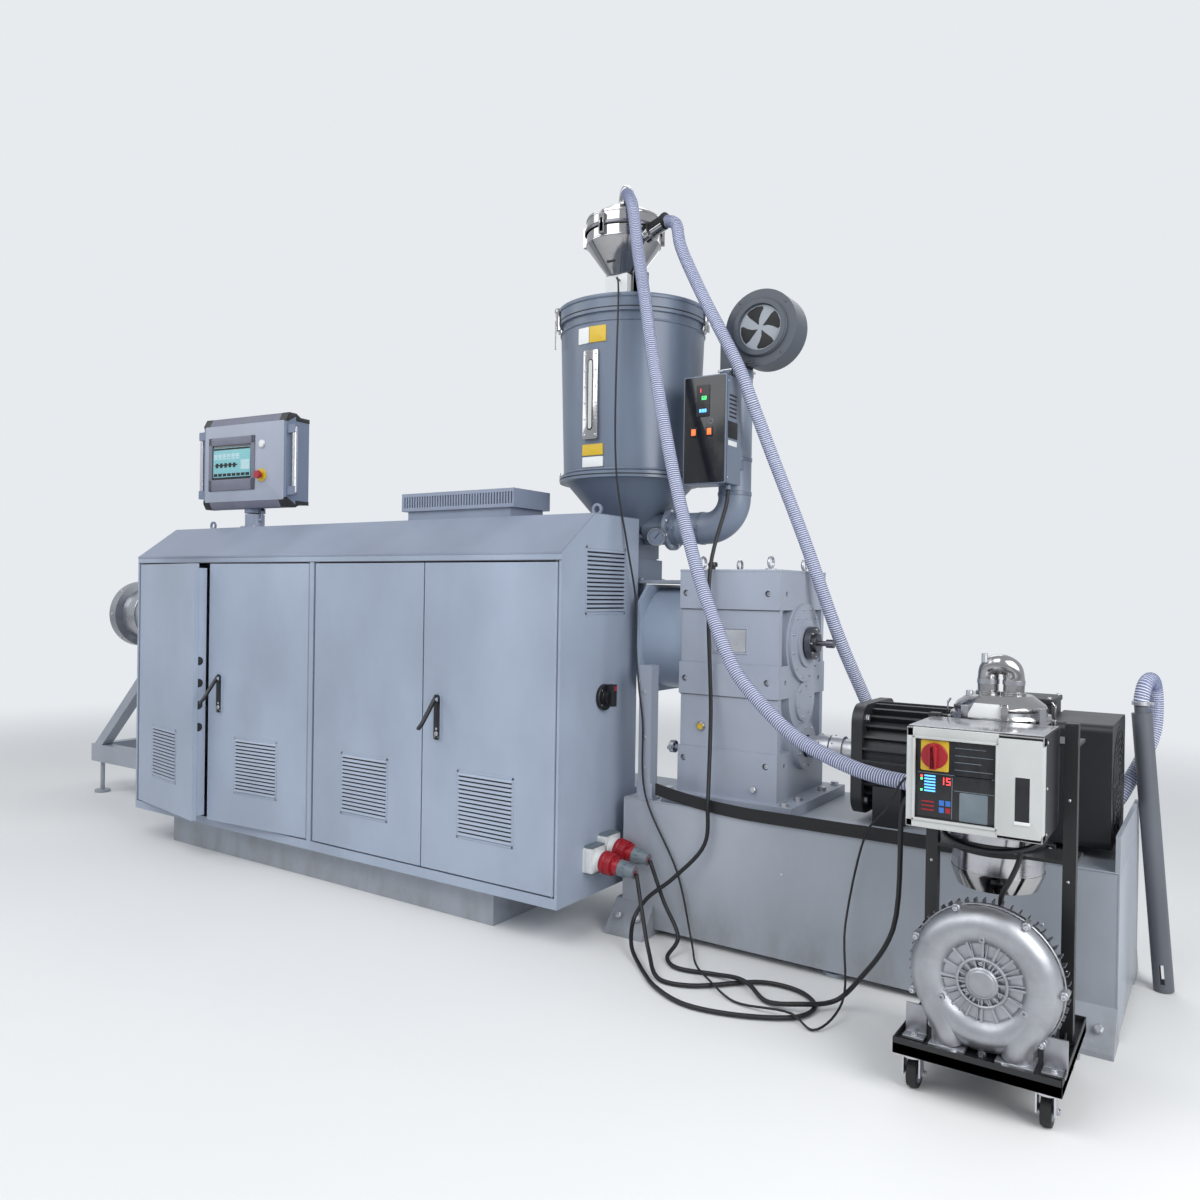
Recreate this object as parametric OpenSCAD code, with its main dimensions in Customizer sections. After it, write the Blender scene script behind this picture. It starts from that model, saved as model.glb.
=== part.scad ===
// Plastic extruder line head: a single-screw extruder with its electrical cabinet, gearbox and
// motor on a welded base, a hopper dryer with vacuum loader over the feed throat, a pipe die on
// its stand, and the loader's suction unit on a trolley. Millimetres, +Z up, +X from die to motor.

/* [Cabinet] */
// Length of the cabinet
cab_l = 2525; // [1800:5:2800]
// Depth of the cabinet
cab_d = 491; // [400:1:520]
// Left end of the cabinet
cab_x = -1489; // [-1600:1:-1400]
// Front plane of the cabinet
cab_front = -390; // [-440:1:-380]
// Underside of the cabinet
cab_z = 140; // [100:1:160]
// Height of the door openings
door_h = 1130; // [900:5:1300]
// Height of the bottom rail under the doors
rail_h = 36; // [30:1:60]
// Height of the fascia over the doors
fascia_h = 31; // [25:1:60]
// Rise of the sloping roof edge
roof_rise = 143; // [80:1:200]
// Depth of the sloping roof edge
roof_run = 195; // [120:1:220]
// Sheet thickness of the cabinet
sheet = 3; // [2:0.5:4]
// Width of the post between the door pairs
post_w = 24; // [20:1:60]
// Width of the frame returns beside the outer doors
end_return = 10; // [8:1:30]
// Depth of the rails and of the centre post
rail_d = 40; // [30:1:60]

/* [Doors] */
// Thickness of a door, front skin to back of its flange
door_t = 20; // [16:1:30]
// Gap all round a door
door_gap = 6; // [5:0.5:10]
// How far door 1 stands ajar
door_1_ajar = 10; // [0:1:30]
// How far door 2 stands ajar
door_2_ajar = 4; // [0:1:30]
// Radius of the door pivot pins
pivot_r = 4; // [3:0.5:6]
// Width of a louvre panel
louvre_w = 248; // [150:1:300]
// Height of a louvre panel
louvre_h = 232; // [150:1:300]
// Height of the louvre panels over the door's lower edge
louvre_up = 143; // [60:1:300]
// Number of slats in a louvre panel
slats = 15; // [8:1:20]
// How far a slat stands out
slat_out = 6; // [4:0.5:9]

/* [Handles] */
// Length of a swing handle's plate
handle_l = 165; // [130:1:200]
// Width of a swing handle's plate
handle_w = 28; // [24:1:40]
// Thickness of a swing handle's plate
handle_t = 8; // [6:0.5:12]
// Distance of a handle's middle from the door's free edge
handle_in = 76; // [40:1:120]
// Height of a handle's lower end over the door's lower edge
handle_up = 480; // [400:1:600]
// Angle at which the levers stand out
lever_out = 38; // [0:1:45]

/* [Roof fittings] */
// Length of the roof vent's hood
vent_l = 588; // [300:1:700]
// Depth of the roof vent's hood
vent_d = 228; // [150:1:260]
// Height of the roof vent over the roof
vent_h = 110; // [80:1:150]
// Height of the slotted hood
hood_h = 72; // [60:1:80]
// Left end of the vent over the cabinet's left end
vent_at = 1549; // [1200:1:1700]
// Spacing of the hood's slots
slot_pitch = 14; // [12:1:30]

/* [Operator panel] */
// Width of the panel housing
hmi_w = 560; // [450:5:600]
// Height of the panel housing
hmi_h = 435; // [380:5:480]
// Depth of the panel housing
hmi_d = 140; // [120:1:160]
// Turn of the panel on its pole
hmi_turn = 5; // [-20:1:20]
// Distance of the pole from the cabinet's left end
pole_at = 455; // [350:1:600]
// Distance of the pole from the cabinet's front
pole_in = 318; // [290:1:360]
// Radius of the pole
pole_r = 45; // [35:1:50]
// Height of the pole's tube
pole_h = 70; // [50:1:120]

/* [Base and drive] */
// Height of the screw axis over the floor
axis_z = 1045; // [1000:1:1100]
// Place of the screw axis across the machine
axis_y = 234; // [225:1:240]
// Gap between the cabinet and the wide base
base_off = 54; // [44:1:64]
// Length of the wide base
base_l = 1580; // [1570:1:1610]
// Width of the base
base_w = 588; // [560:2:620]
// Top of the base deck
deck_z = 475; // [460:1:490]
// Gap under the base
base_gap = 24; // [20:1:60]
// Distance of the gearbox from the base's left end
gear_in = 172; // [160:1:180]
// Length of the gearbox along the screw
gear_l = 381; // [370:1:400]
// Width of the gearbox across the machine
gear_w = 424; // [400:2:440]
// Top of the gearbox
gear_top = 1298; // [1280:1:1340]
// Depth of the shallow panels between the gearbox bands
band_step = 6; // [4:1:12]
// Height of the input shaft's axis over the floor
input_z = 681; // [660:1:700]
// Radius of the coupling
coupling_r = 47; // [40:1:60]
// Radius of the motor's finned body
motor_r = 178; // [160:1:185]
// Length of the motor
motor_l = 751; // [700:1:760]
// Gap between gearbox and motor
motor_gap = 241; // [227:1:257]

/* [Barrel and die] */
// Radius of the barrel
barrel_r = 54; // [45:1:60]
// Length of the barrel left of the feed throat
barrel_l = 2145; // [2000:5:2200]
// Radius of the heater clamps
heater_r = 95; // [85:1:105]
// Number of heated zones
zones = 5; // [3:1:6]
// Radius of the drum between barrel and gearbox
drum_r = 190; // [170:1:195]
// Length of that drum
drum_l = 172; // [150:1:175]
// Radius of the die's large ring
die_r = 190; // [170:1:200]
// Length of the die's body
die_l = 1287; // [1220:1:1330]
// How far the die stand reaches past the die
stand_past = 110; // [90:1:140]

/* [Dryer] */
// Distance of the feed throat from the gearbox
throat_back = 350; // [300:1:360]
// Height of the hopper table's top over the drum
table_up = 27; // [20:1:45]
// Height of the slide gate
gate_h = 80; // [60:1:100]
// Height of the magnet box over the gate
magnet_h = 92; // [80:1:110]
// Height of the dryer's cone
cone_h = 218; // [200:1:240]
// Radius of the dryer barrel at its lower end
dryer_r0 = 264; // [250:1:275]
// Radius of the dryer barrel at its upper end
dryer_r1 = 284; // [275:1:290]
// Height of the dryer barrel
dryer_h = 610; // [500:5:700]
// Wall of the dryer
dryer_wall = 4; // [3:0.5:6]
// Height of the dryer's lid rim
lid_h = 50; // [40:1:60]
// Distance of the hot air duct from the dryer's axis
duct_out = 455; // [440:1:480]
// Radius of the hot air duct
duct_r = 60; // [50:1:65]
// Height of the duct's inlet over the cone's lower end
inlet_up = 26; // [20:1:40]
// Radius of the blower housing
fan_r = 138; // [120:1:150]
// Width of the blower housing
fan_w = 100; // [80:1:120]
// Height of the blower's centre over the floor
fan_z = 2170; // [2150:1:2200]
// Radius of the vacuum loader's body
loader_r = 148; // [130:1:155]
// Distance of the vacuum loader from the dryer's axis
loader_off = 50; // [0:1:60]

/* [Trolley] */
// Distance of the trolley's middle from the base's right end
trolley_in = 245; // [230:1:270]
// Front edge of the trolley's tray
trolley_front = -632; // [-660:1:-625]
// Width of the trolley's tray
trolley_w = 378; // [360:1:400]
// Depth of the trolley's tray
trolley_d = 404; // [390:1:410]
// Top of the trolley's tray
tray_z = 122; // [118:1:140]
// Radius of the castor wheels
wheel_r = 37; // [30:1:40]
// Width of a castor wheel
wheel_w = 24; // [18:1:30]
// Radius of the ring blower
ring_r = 172; // [150:1:175]
// Radius of the dust canister
canister_r = 115; // [100:1:116]
// Height of the dust canister's body under its lid
canister_h = 470; // [440:1:480]
// Width of the loader's control box
lbox_w = 308; // [280:1:320]
// Depth of the loader's control box
lbox_d = 220; // [180:1:225]
// Height of the loader's control box
lbox_h = 242; // [220:1:260]
// Underside of the loader's control box
lbox_z = 655; // [640:1:680]

/* [Hidden] */
$fn = 48;

// Running clearance of a pin in its bore
run_clear = 0.1;
// Seat clearance between pieces that only rest on each other
seat = 0.3;

cab_end = cab_x + cab_l;
base_start = cab_end + base_off;
base_end = base_start + base_l;
gear_x = base_start + gear_in;
gear_end = gear_x + gear_l;
motor_x = gear_end + motor_gap;
trolley_x = base_end - trolley_in;
cab_rear = cab_front + cab_d;
rail_top = cab_z + rail_h;
door_z = rail_top + door_gap;
fascia_z = door_z + door_h + door_gap;
slope_z = fascia_z + fascia_h;
roof_z = slope_z + roof_rise;
slope_a = atan2(roof_rise, roof_run);
sheet_v = sheet / cos(slope_a);
bay_w = (cab_l - 2 * end_return - post_w) / 2;
door_w = (bay_w - 3 * door_gap) / 2;
door_mid = cab_front + door_t / 2;
pivot_in = door_t / 2;
pivot_h = door_gap + 12;
reach = door_w - pivot_in;
post_x = cab_x + cab_l / 2;
hinge_x = [
    cab_x + end_return + door_gap + pivot_in,
    post_x - post_w / 2 - door_gap - pivot_in,
    post_x + post_w / 2 + door_gap + pivot_in,
    cab_end - end_return - door_gap - pivot_in
];
door_side = [1, -1, 1, -1];
door_ajar = [door_1_ajar, door_2_ajar, 0, 0];
lever_l = handle_l - 32;
lever_rise = 18;
lever_pin_r = 3;

module block(x0, x1, y0, y1, z0, z1) {
    translate([x0, y0, z0]) cube([x1 - x0, y1 - y0, z1 - z0]);
}

module along_x(x, y, z) {
    translate([x, y, z]) rotate([0, 90, 0]) children();
}

module along_y(x, y, z) {
    translate([x, y, z]) rotate([-90, 0, 0]) children();
}

// A plate of an outline in Y and Z, thick along X from x
module yz_plate(x, thick, outline) {
    translate([x, 0, 0]) rotate([90, 0, 90]) linear_extrude(thick) polygon(outline);
}

// A plate of an outline in X and Z, thick along +Y from y
module xz_plate(y, thick, outline) {
    translate([0, y + thick, 0]) rotate([90, 0, 0]) linear_extrude(thick) polygon(outline);
}

// Rounded rectangle centred on the origin
module round_rect(w, h, r) {
    square([w - 2 * r, h], center = true);
    square([w, h - 2 * r], center = true);
    for (sx = [-1, 1], sy = [-1, 1])
        translate([sx * (w / 2 - r), sy * (h / 2 - r)]) circle(r);
}

// Louvre slats on a plane that faces -Y, lower left corner at the origin
module louvre(w, h, n) {
    pitch = h / n;
    for (i = [0:n - 1])
        translate([0, 0, i * pitch])
            rotate([90, 0, 90]) linear_extrude(w)
                polygon([[0, pitch * 0.1], [-slat_out, pitch * 0.2], [0, pitch * 0.95]]);
}

// Cabinet

module cabinet_plinth() {
    color("whitesmoke")
        block(cab_x + 209, cab_end - 333, cab_front + 70, cab_rear - 41, 0, cab_z);
}

// End wall outline in Y and Z
function end_wall() = [
    [cab_front, cab_z], [cab_rear, cab_z], [cab_rear, roof_z - sheet],
    [cab_front + (roof_z - sheet - slope_z + sheet_v) / tan(slope_a), roof_z - sheet],
    [cab_front, slope_z - sheet_v]
];

module cabinet_shell() {
    color("gainsboro") {
        yz_plate(cab_x, sheet, end_wall());
        yz_plate(cab_end - sheet, sheet, end_wall());
        block(cab_x, cab_end, cab_rear - sheet, cab_rear, cab_z, roof_z - sheet);
        block(cab_x, cab_end, cab_front, cab_rear, cab_z, cab_z + sheet);
        block(cab_x, cab_end, cab_front, cab_front + rail_d, cab_z, rail_top);
        block(cab_x, cab_end, cab_front, cab_front + rail_d, fascia_z, slope_z - sheet_v);
        block(cab_x, cab_x + end_return, cab_front, cab_front + rail_d, rail_top, fascia_z);
        block(cab_end - end_return, cab_end, cab_front, cab_front + rail_d, rail_top, fascia_z);
        block(post_x - post_w / 2, post_x + post_w / 2, cab_front, cab_front + rail_d,
            rail_top, fascia_z);
        for (x = hinge_x) {
            translate([x, door_mid, rail_top - 1]) cylinder(r = pivot_r, h = pivot_h + 1);
            translate([x, door_mid, fascia_z - pivot_h]) cylinder(r = pivot_r, h = pivot_h + 1);
        }
        translate([cab_end, cab_front + 148, cab_z + 1001]) rotate([0, 0, 90])
            louvre(louvre_w - 4, louvre_h - 5, slats);
    }
}

module cabinet_roof() {
    color("lightslategray") {
        yz_plate(cab_x, cab_l, [
            [cab_front, slope_z - sheet_v], [cab_front, slope_z],
            [cab_front + roof_run, roof_z], [cab_rear, roof_z], [cab_rear, roof_z - sheet],
            [cab_front + (roof_z - sheet - slope_z + sheet_v) / tan(slope_a), roof_z - sheet]
        ]);
        for (x = [cab_x + 90, cab_end - 90]) lifting_eye(x, cab_rear - 150);
    }
}

module lifting_eye(x, y) {
    translate([x, y, roof_z - 1]) {
        cylinder(r = 16, h = 9);
        translate([0, 4, 28]) rotate([90, 0, 0]) difference() {
            cylinder(r = 22, h = 8);
            translate([0, 0, -1]) cylinder(r = 13, h = 10);
        }
    }
}

vent_x = cab_x + vent_at;
vent_y = cab_front + 218;
vent_in = 25;

module roof_vent() {
    hood_z = roof_z + vent_h - hood_h;
    color("lightsteelblue") {
        block(vent_x + vent_in, vent_x + vent_l - vent_in, vent_y + vent_in / 2,
            vent_y + vent_d - vent_in / 2, roof_z, hood_z);
        difference() {
            block(vent_x, vent_x + vent_l, vent_y, vent_y + vent_d, hood_z, roof_z + vent_h);
            for (i = [1:floor(vent_l / slot_pitch) - 1])
                block(vent_x + i * slot_pitch, vent_x + (i + 0.5) * slot_pitch,
                    vent_y - 1, vent_y + vent_d + 1, hood_z + 14, roof_z + vent_h - 14);
        }
        block(vent_x + 8, vent_x + vent_l - 8, vent_y + 8, vent_y + vent_d - 8,
            hood_z, roof_z + vent_h - 2);
    }
}

// One door, hinged at the origin of its plan with its free edge at +X
module door_leaf() {
    difference() {
        linear_extrude(door_h) {
            circle(pivot_in);
            translate([0, -door_t / 2]) square([reach, door_t]);
        }
        translate([pivot_in + 12, -door_t / 2 + sheet, 24])
            cube([reach - pivot_in - 12 - sheet, door_t, door_h - 48]);
        translate([0, 0, -1]) cylinder(r = pivot_r + run_clear, h = pivot_h - door_gap + 2);
        translate([0, 0, door_h - pivot_h + door_gap - 1])
            cylinder(r = pivot_r + run_clear, h = pivot_h - door_gap + 2);
    }
}

// The two ears that hold a lever's pin, which is at the origin
module handle_ears() {
    for (s = [-1, 1])
        translate([s * (handle_w / 2 - 3), 0, 0]) rotate([0, 90, 0]) {
            cylinder(r = 7, h = 6, center = true);
            translate([-7, 0, -3]) cube([14, lever_rise, 6]);
        }
}

// Lever of a swing handle, its pin at the origin, hanging down along -Z
module handle_lever() {
    difference() {
        union() {
            rotate([0, 90, 0]) cylinder(r = 6.5, h = handle_w - 14, center = true);
            rotate([90, 0, 90]) linear_extrude(handle_w - 14, center = true)
                polygon([[-6.5, 0], [4, 0], [4, -lever_l + 24], [-2, -lever_l], [-9, -lever_l + 3],
                    [-5, -lever_l + 28]]);
        }
        rotate([0, 90, 0]) cylinder(r = lever_pin_r + run_clear, h = handle_w, center = true);
    }
}

// Places a door's own pieces at its hinge, turned ajar
module at_door(i) {
    translate([hinge_x[i], door_mid, door_z])
        rotate([0, 0, -door_side[i] * door_ajar[i]]) children();
}

// Place of a handle's pin on a door
handle_x = reach - handle_in;
handle_z = handle_up + handle_l - 16;

module door(i, with_handle) {
    color("gainsboro") at_door(i) {
        mirror([door_side[i] < 0 ? 1 : 0, 0, 0]) {
            door_leaf();
            translate([(reach - pivot_in - louvre_w) / 2, -door_t / 2, louvre_up])
                louvre(louvre_w, louvre_h, slats);
        }
    }
    if (with_handle) color("dimgray") at_door(i)
        translate([door_side[i] * handle_x, -door_t / 2 - lever_rise, handle_z]) {
            translate([0, lever_rise + 1, -handle_l / 2 + 16]) rotate([90, 0, 0])
                linear_extrude(handle_t + 1) round_rect(handle_w, handle_l, 10);
            handle_ears();
            rotate([0, 90, 0]) cylinder(r = lever_pin_r, h = handle_w - 6, center = true);
        }
}

module door_1() { door(0, false); }
module door_2() { door(1, true); }
module door_3() { door(2, false); }
module door_4() { door(3, true); }

module lever(i) {
    color("black") at_door(i)
        translate([door_side[i] * handle_x, -door_t / 2 - lever_rise, handle_z])
            rotate([-lever_out, 0, 0]) handle_lever();
}

module lever_2() { lever(1); }
module lever_4() { lever(3); }

// Isolator and power sockets on the cabinet's right end

iso_y = -127;
iso_z = 837;
iso_t = 14;

module end_fittings() {
    color("dimgray") {
        along_x(cab_end, iso_y, iso_z) linear_extrude(iso_t) round_rect(66, 66, 8);
        along_x(cab_end + iso_t - 1, iso_y, iso_z) cylinder(r = 8, h = 27);
    }
    color("lightgray") for (i = [0, 1]) {
        translate([cab_end, socket_y[i], socket_z[i]])
            rotate([0, 90, 0]) linear_extrude(34) round_rect(100, 84, 8);
        at_socket(i) cylinder(r = socket_r, h = socket_l);
    }
}

module isolator_handle() {
    color("black") difference() {
        union() {
            along_x(cab_end + iso_t + 5, iso_y, iso_z) cylinder(r = 25, h = 15);
            translate([cab_end + iso_t + 12, iso_y - 11, iso_z - 30]) cube([26, 22, 78]);
        }
        along_x(cab_end, iso_y, iso_z) cylinder(r = 8 + run_clear, h = iso_t + 26 + seat);
    }
}

socket_y = [-191, -101];
socket_z = [275, 300];
socket_r = 34;
socket_l = 30;
socket_droop = 8;

// Places a piece on the axis of a socket, which points out of the cabinet and droops
module at_socket(i) {
    translate([cab_end + 26, socket_y[i], socket_z[i]]) rotate([0, 90 + socket_droop, 0]) children();
}

module power_plug(i) {
    color("red") at_socket(i) {
        translate([0, 0, socket_l + seat]) cylinder(r = 38, h = 44);
        translate([-30, -22, socket_l + seat + 4]) cube([16, 44, 50]);
        translate([0, 0, socket_l + seat + 44]) cylinder(r = 28, h = 26);
        translate([0, 0, socket_l + seat + 70]) cylinder(r1 = 25, r2 = 19, h = 60);
    }
}

// Operator panel

pole_x = cab_x + pole_at;
pole_y = cab_front + pole_in;
pole_top = roof_z + pole_h;
hmi_z = pole_top + 28;
collar_z = pole_top + 6;
spindle_r = 20;

module hmi_pole() {
    color("lightslategray") {
        translate([pole_x, pole_y, roof_z]) {
            cylinder(r = pole_r + 22, h = 10);
            cylinder(r = pole_r, h = pole_h);
            cylinder(r = spindle_r, h = pole_h + 42);
            translate([pole_r + 6, -8, pole_h - 28]) rotate([0, 90, 0]) cylinder(r = 7, h = 14);
            translate([pole_r - 4, -8, pole_h - 28]) rotate([0, 90, 0]) cylinder(r = 7, h = 24);
            translate([pole_r + 14, -8, pole_h - 30]) rotate([0, 12, 0]) cylinder(r = 5, h = 50);
        }
    }
}

// Side outline of the panel housing in Y and Z, about its pole
function hmi_side() = let(f = -hmi_d / 2, r = hmi_d / 2) [
    [f, 26], [f + 14, 0], [f + 62, 0], [f + 86, 14], [r, 14],
    [r, hmi_h - 16], [f + 86, hmi_h - 16], [f + 58, hmi_h], [f + 16, hmi_h], [f, hmi_h - 30]
];

module at_hmi() {
    translate([pole_x, pole_y, hmi_z]) rotate([0, 0, hmi_turn]) children();
}

stop_x = 125;
stop_z = 150;
stop_r = 11;

module hmi_box() {
    face = -hmi_d / 2;
    color("lightsteelblue") at_hmi() difference() {
        union() {
            yz_plate(-hmi_w / 2, hmi_w, hmi_side());
            translate([0, 0, collar_z - hmi_z]) cylinder(r = pole_r + 3, h = hmi_z - collar_z + 1);
            block(-268, 268, face - 2.5, face + 1, 32, 398);
            block(-235, 75, face - 8, face + 1, 88, 338);
            along_y(stop_x, face - 9, stop_z) cylinder(r = 24, h = 10);
            along_y(stop_x, face - 6, 296) cylinder(r = 13, h = 7);
            for (s = [-1, 1]) hmi_grip(s);
        }
        translate([0, 0, collar_z - hmi_z - 1]) cylinder(r = spindle_r + run_clear, h = 38);
        block(-217, 57, face - 9, face - 4, 112, 310);
        along_y(stop_x, face - 10, stop_z) cylinder(r = stop_r + run_clear, h = 42);
    }
}

// A side grip: two brackets and a bar
module hmi_grip(s) {
    y0 = -hmi_d / 2 + 6;
    for (z = [52, hmi_h - 96])
        block(s > 0 ? hmi_w / 2 - 1 : -hmi_w / 2 - 46, s > 0 ? hmi_w / 2 + 46 : -hmi_w / 2 + 1,
            y0, y0 + 26, z, z + 40);
    translate([s * (hmi_w / 2 + 36), y0 + 13, 60]) cylinder(r = 11, h = hmi_h - 124);
}

module stop_button() {
    face = -hmi_d / 2;
    color("red") at_hmi() {
        along_y(stop_x, face - 36, stop_z) cylinder(r1 = 18, r2 = 20, h = 10);
        along_y(stop_x, face - 26, stop_z) cylinder(r1 = 20, r2 = 13, h = 8);
        along_y(stop_x, face - 20, stop_z) cylinder(r = stop_r, h = 34);
    }
}

// Base, gearbox and motor

base_front = axis_y - base_w / 2;
base_rear = axis_y + base_w / 2;
gear_front = axis_y - gear_w / 2;
gear_rear = axis_y + gear_w / 2;
foot_t = 35;
end_leg_top = 575;
foot_l = 156;
foot_out = 80;
foot_h = 110;

module drive_base() {
    color("whitesmoke") {
        block(base_start, base_end, base_front, base_rear, base_gap, deck_z);
        for (s = [-1, 1]) {
            splayed_foot(base_start - 24, s);
            splayed_foot(base_end - foot_l, s);
        }
        block(base_end - 12, base_end, base_front, base_rear, deck_z - 1, end_leg_top);
        for (x = [base_start + 780], y = [base_front + 60, base_rear - 60])
            translate([x, y, 0]) {
                cylinder(r = 45, h = 12);
                cylinder(r = 16, h = base_gap + 1);
            }
    }
}

// Foot that splays out from the base's side, on side s of the screw axis
module splayed_foot(x, s) {
    side = base_w / 2;
    translate([0, axis_y, 0]) mirror([0, s < 0 ? 1 : 0, 0])
        yz_plate(x, foot_l, [
            [side - 60, 0], [side + foot_out, 0], [side + foot_out, 14], [side + foot_out - 8, 22],
            [side, foot_h], [side - 60, foot_h]
        ]);
}

// Level of the raised bands of the gearbox, as lower and upper edge
bands = [[deck_z + foot_t - 1, 672], [858, 970], [1160, gear_top]];

module gearbox_housing() {
    pocket = 30;
    color("gainsboro") difference() {
        union() {
            block(gear_x - 40, gear_end + 72, gear_front - 44, gear_rear + 44,
                deck_z, deck_z + foot_t);
            for (b = bands) block(gear_x, gear_end, gear_front, gear_rear, b[0], b[1]);
            for (y = [gear_front + band_step, gear_rear - band_step - 26])
                block(gear_x + band_step, gear_end - band_step / 2, y, y + 26,
                    deck_z + foot_t - 1, gear_top - 1);
            block(gear_x + band_step, gear_end - pocket, gear_front + 20, gear_rear - 20,
                deck_z + foot_t - 1, gear_top - 1);
            along_x(gear_end - pocket - 1, axis_y, axis_z) cylinder(r = 150, h = pocket + 1);
            along_x(gear_end - pocket - 1, axis_y, 850) cylinder(r = 118, h = pocket + 1);
            along_x(gear_end - pocket - 1, axis_y, input_z) cylinder(r = 98, h = pocket + 1);
        }
        for (z = [628, 912, 1215], x = [gear_x + 22, gear_end - 44])
            along_y(x, gear_front - 1, z) cylinder(r = 11, h = 22);
        for (z = [628, 912, 1215], y = [gear_front + 60, gear_rear - 60])
            along_x(gear_end - 20, y, z) cylinder(r = 9, h = 22);
        along_x(gear_end - 26, axis_y, axis_z) cylinder(r = 46, h = 30);
        along_x(gear_end - 26, axis_y, input_z) cylinder(r = 32, h = 30);
    }
}

screw_cover_r = 138;
tail_r = 40;
input_r = 25;

module gearbox_covers() {
    color("gainsboro") {
        along_x(gear_end, axis_y, axis_z) difference() {
            union() {
                cylinder(r = screw_cover_r, h = 12);
                cylinder(r = 84, h = 20);
            }
            translate([0, 0, -1]) cylinder(r = tail_r + run_clear, h = 22);
        }
        along_x(gear_end, axis_y, 838) cylinder(r = 68, h = 8);
        along_x(gear_end, axis_y, input_z) difference() {
            cylinder(r = 82, h = 22);
            translate([0, 0, -1]) cylinder(r = input_r + run_clear, h = 24);
        }
        oil_valve();
    }
}

// Oil cock on the gearbox's left face
module oil_valve() {
    y = gear_front + 46;
    z = 655;
    along_x(gear_x - 34, y, z) cylinder(r = 9, h = 34);
    along_x(gear_x - 52, y, z) cylinder(r = 22, h = 18);
    along_y(gear_x - 43, y - 34, z) cylinder(r = 8, h = 34);
}

module screw_tail() {
    color("dimgray") {
        along_x(gear_end - 20, axis_y, axis_z) cylinder(r = tail_r, h = 46);
        along_x(gear_end + 26, axis_y, axis_z) cylinder(r = 58, h = 22);
        along_x(gear_end + 26, axis_y, axis_z) cylinder(r = 34, h = 32);
        along_x(gear_end + 58, axis_y, axis_z) cylinder(r = 9, h = 30);
        along_x(gear_end + 88, axis_y, axis_z) cylinder(r = 15, h = 26);
    }
}

module drive_coupling() {
    start = gear_end + 22;
    color("silver") {
        along_x(gear_end - 20, axis_y, input_z) cylinder(r = input_r, h = motor_x - gear_end + 34);
        along_x(start + 10, axis_y, input_z) cylinder(r = coupling_r - 8, h = 60);
        along_x(start + 46, axis_y, input_z) cylinder(r = coupling_r, h = 44);
        along_x(start + 94, axis_y, input_z) cylinder(r = coupling_r, h = 44);
        along_x(start + 86, axis_y, input_z) cylinder(r = coupling_r - 5, h = 12);
        along_x(start + 132, axis_y, input_z) cylinder(r = coupling_r - 8, h = 62);
    }
}

motor_end = motor_x + motor_l;
motor_fins = 28;

module main_motor() {
    color("dimgray") difference() {
        union() {
            along_x(motor_x + 30, axis_y, input_z) linear_extrude(motor_l - 190) {
                circle(motor_r - 22);
                for (i = [0:motor_fins - 1])
                    rotate(i * 360 / motor_fins) translate([motor_r - 30, -4]) square([30, 8]);
            }
            along_x(motor_x, axis_y, input_z) linear_extrude(36)
                round_rect(2 * motor_r, 2 * motor_r, 60);
            along_x(motor_end - 170, axis_y, input_z) linear_extrude(170)
                round_rect(2 * motor_r, 2 * motor_r, 24);
            block(motor_x + 440, motor_x + 580, axis_y - 90, axis_y + 90,
                input_z + motor_r - 24, input_z + motor_r + 52);
            for (x = [motor_x + 70, motor_end - 240], s = [-1, 1])
                block(x, x + 90, axis_y + s * 128 - 40, axis_y + s * 128 + 40,
                    deck_z, input_z - 80);
        }
        along_x(motor_x - 1, axis_y, input_z) cylinder(r = input_r + run_clear, h = 20);
    }
}

module riser_post() {
    x0 = base_start + 57;
    y0 = base_front;
    color("gainsboro") difference() {
        block(x0, x0 + 50, y0, y0 + 50, deck_z, 955);
        block(x0 - 1, x0 + 44, y0 + 4, y0 + 44, deck_z + 190, 944);
        block(x0 - 1, x0 + 44, y0 + 4, y0 + 44, deck_z + 12, deck_z + 180);
    }
}

strip_t = 8;
strip_h = 40;
strip_rise = 40;
strip_l = base_end - foot_l - gear_x;

// Black rubber strip along the front top edge of the base, rising in a bow at its left end
module edge_strip() {
    low = deck_z - 14;
    bow = 400;
    steps = 10;
    start = gear_x - 38;
    rising = [for (i = [0:steps]) [start + bow * i / steps, low + strip_rise * pow(1 - i / steps, 2)]];
    color("black") xz_plate(base_front - strip_t, strip_t, concat(
        rising,
        [[start + strip_l, low], [start + strip_l, low + strip_h]],
        [for (i = [steps:-1:0]) rising[i] + [0, strip_h]]
    ));
}

// Barrel, feed throat and die

throat_x = gear_x - throat_back;
barrel_end = throat_x - barrel_l;
drum_x = gear_x - drum_l;
feed_w = 170;
table_z = axis_z + drum_r + table_up;
die_start = barrel_end - 40;
die_end = die_start - die_l;
stand_end = die_end - stand_past;

module thrust_drum() {
    color("aliceblue") {
        along_x(drum_x, axis_y, axis_z) cylinder(r = drum_r, h = drum_l);
        yz_plate(drum_x - 14, 14, [
            [axis_y - 130, axis_z - 205], [axis_y + 130, axis_z - 205],
            [axis_y + 200, axis_z - 135], [axis_y + 200, axis_z + 135],
            [axis_y + 135, axis_z + 200], [axis_y - 135, axis_z + 200],
            [axis_y - 200, axis_z + 135], [axis_y - 200, axis_z - 135]
        ]);
    }
}

feed_end = drum_x - 14;
feed_start = throat_x - 120;

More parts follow.
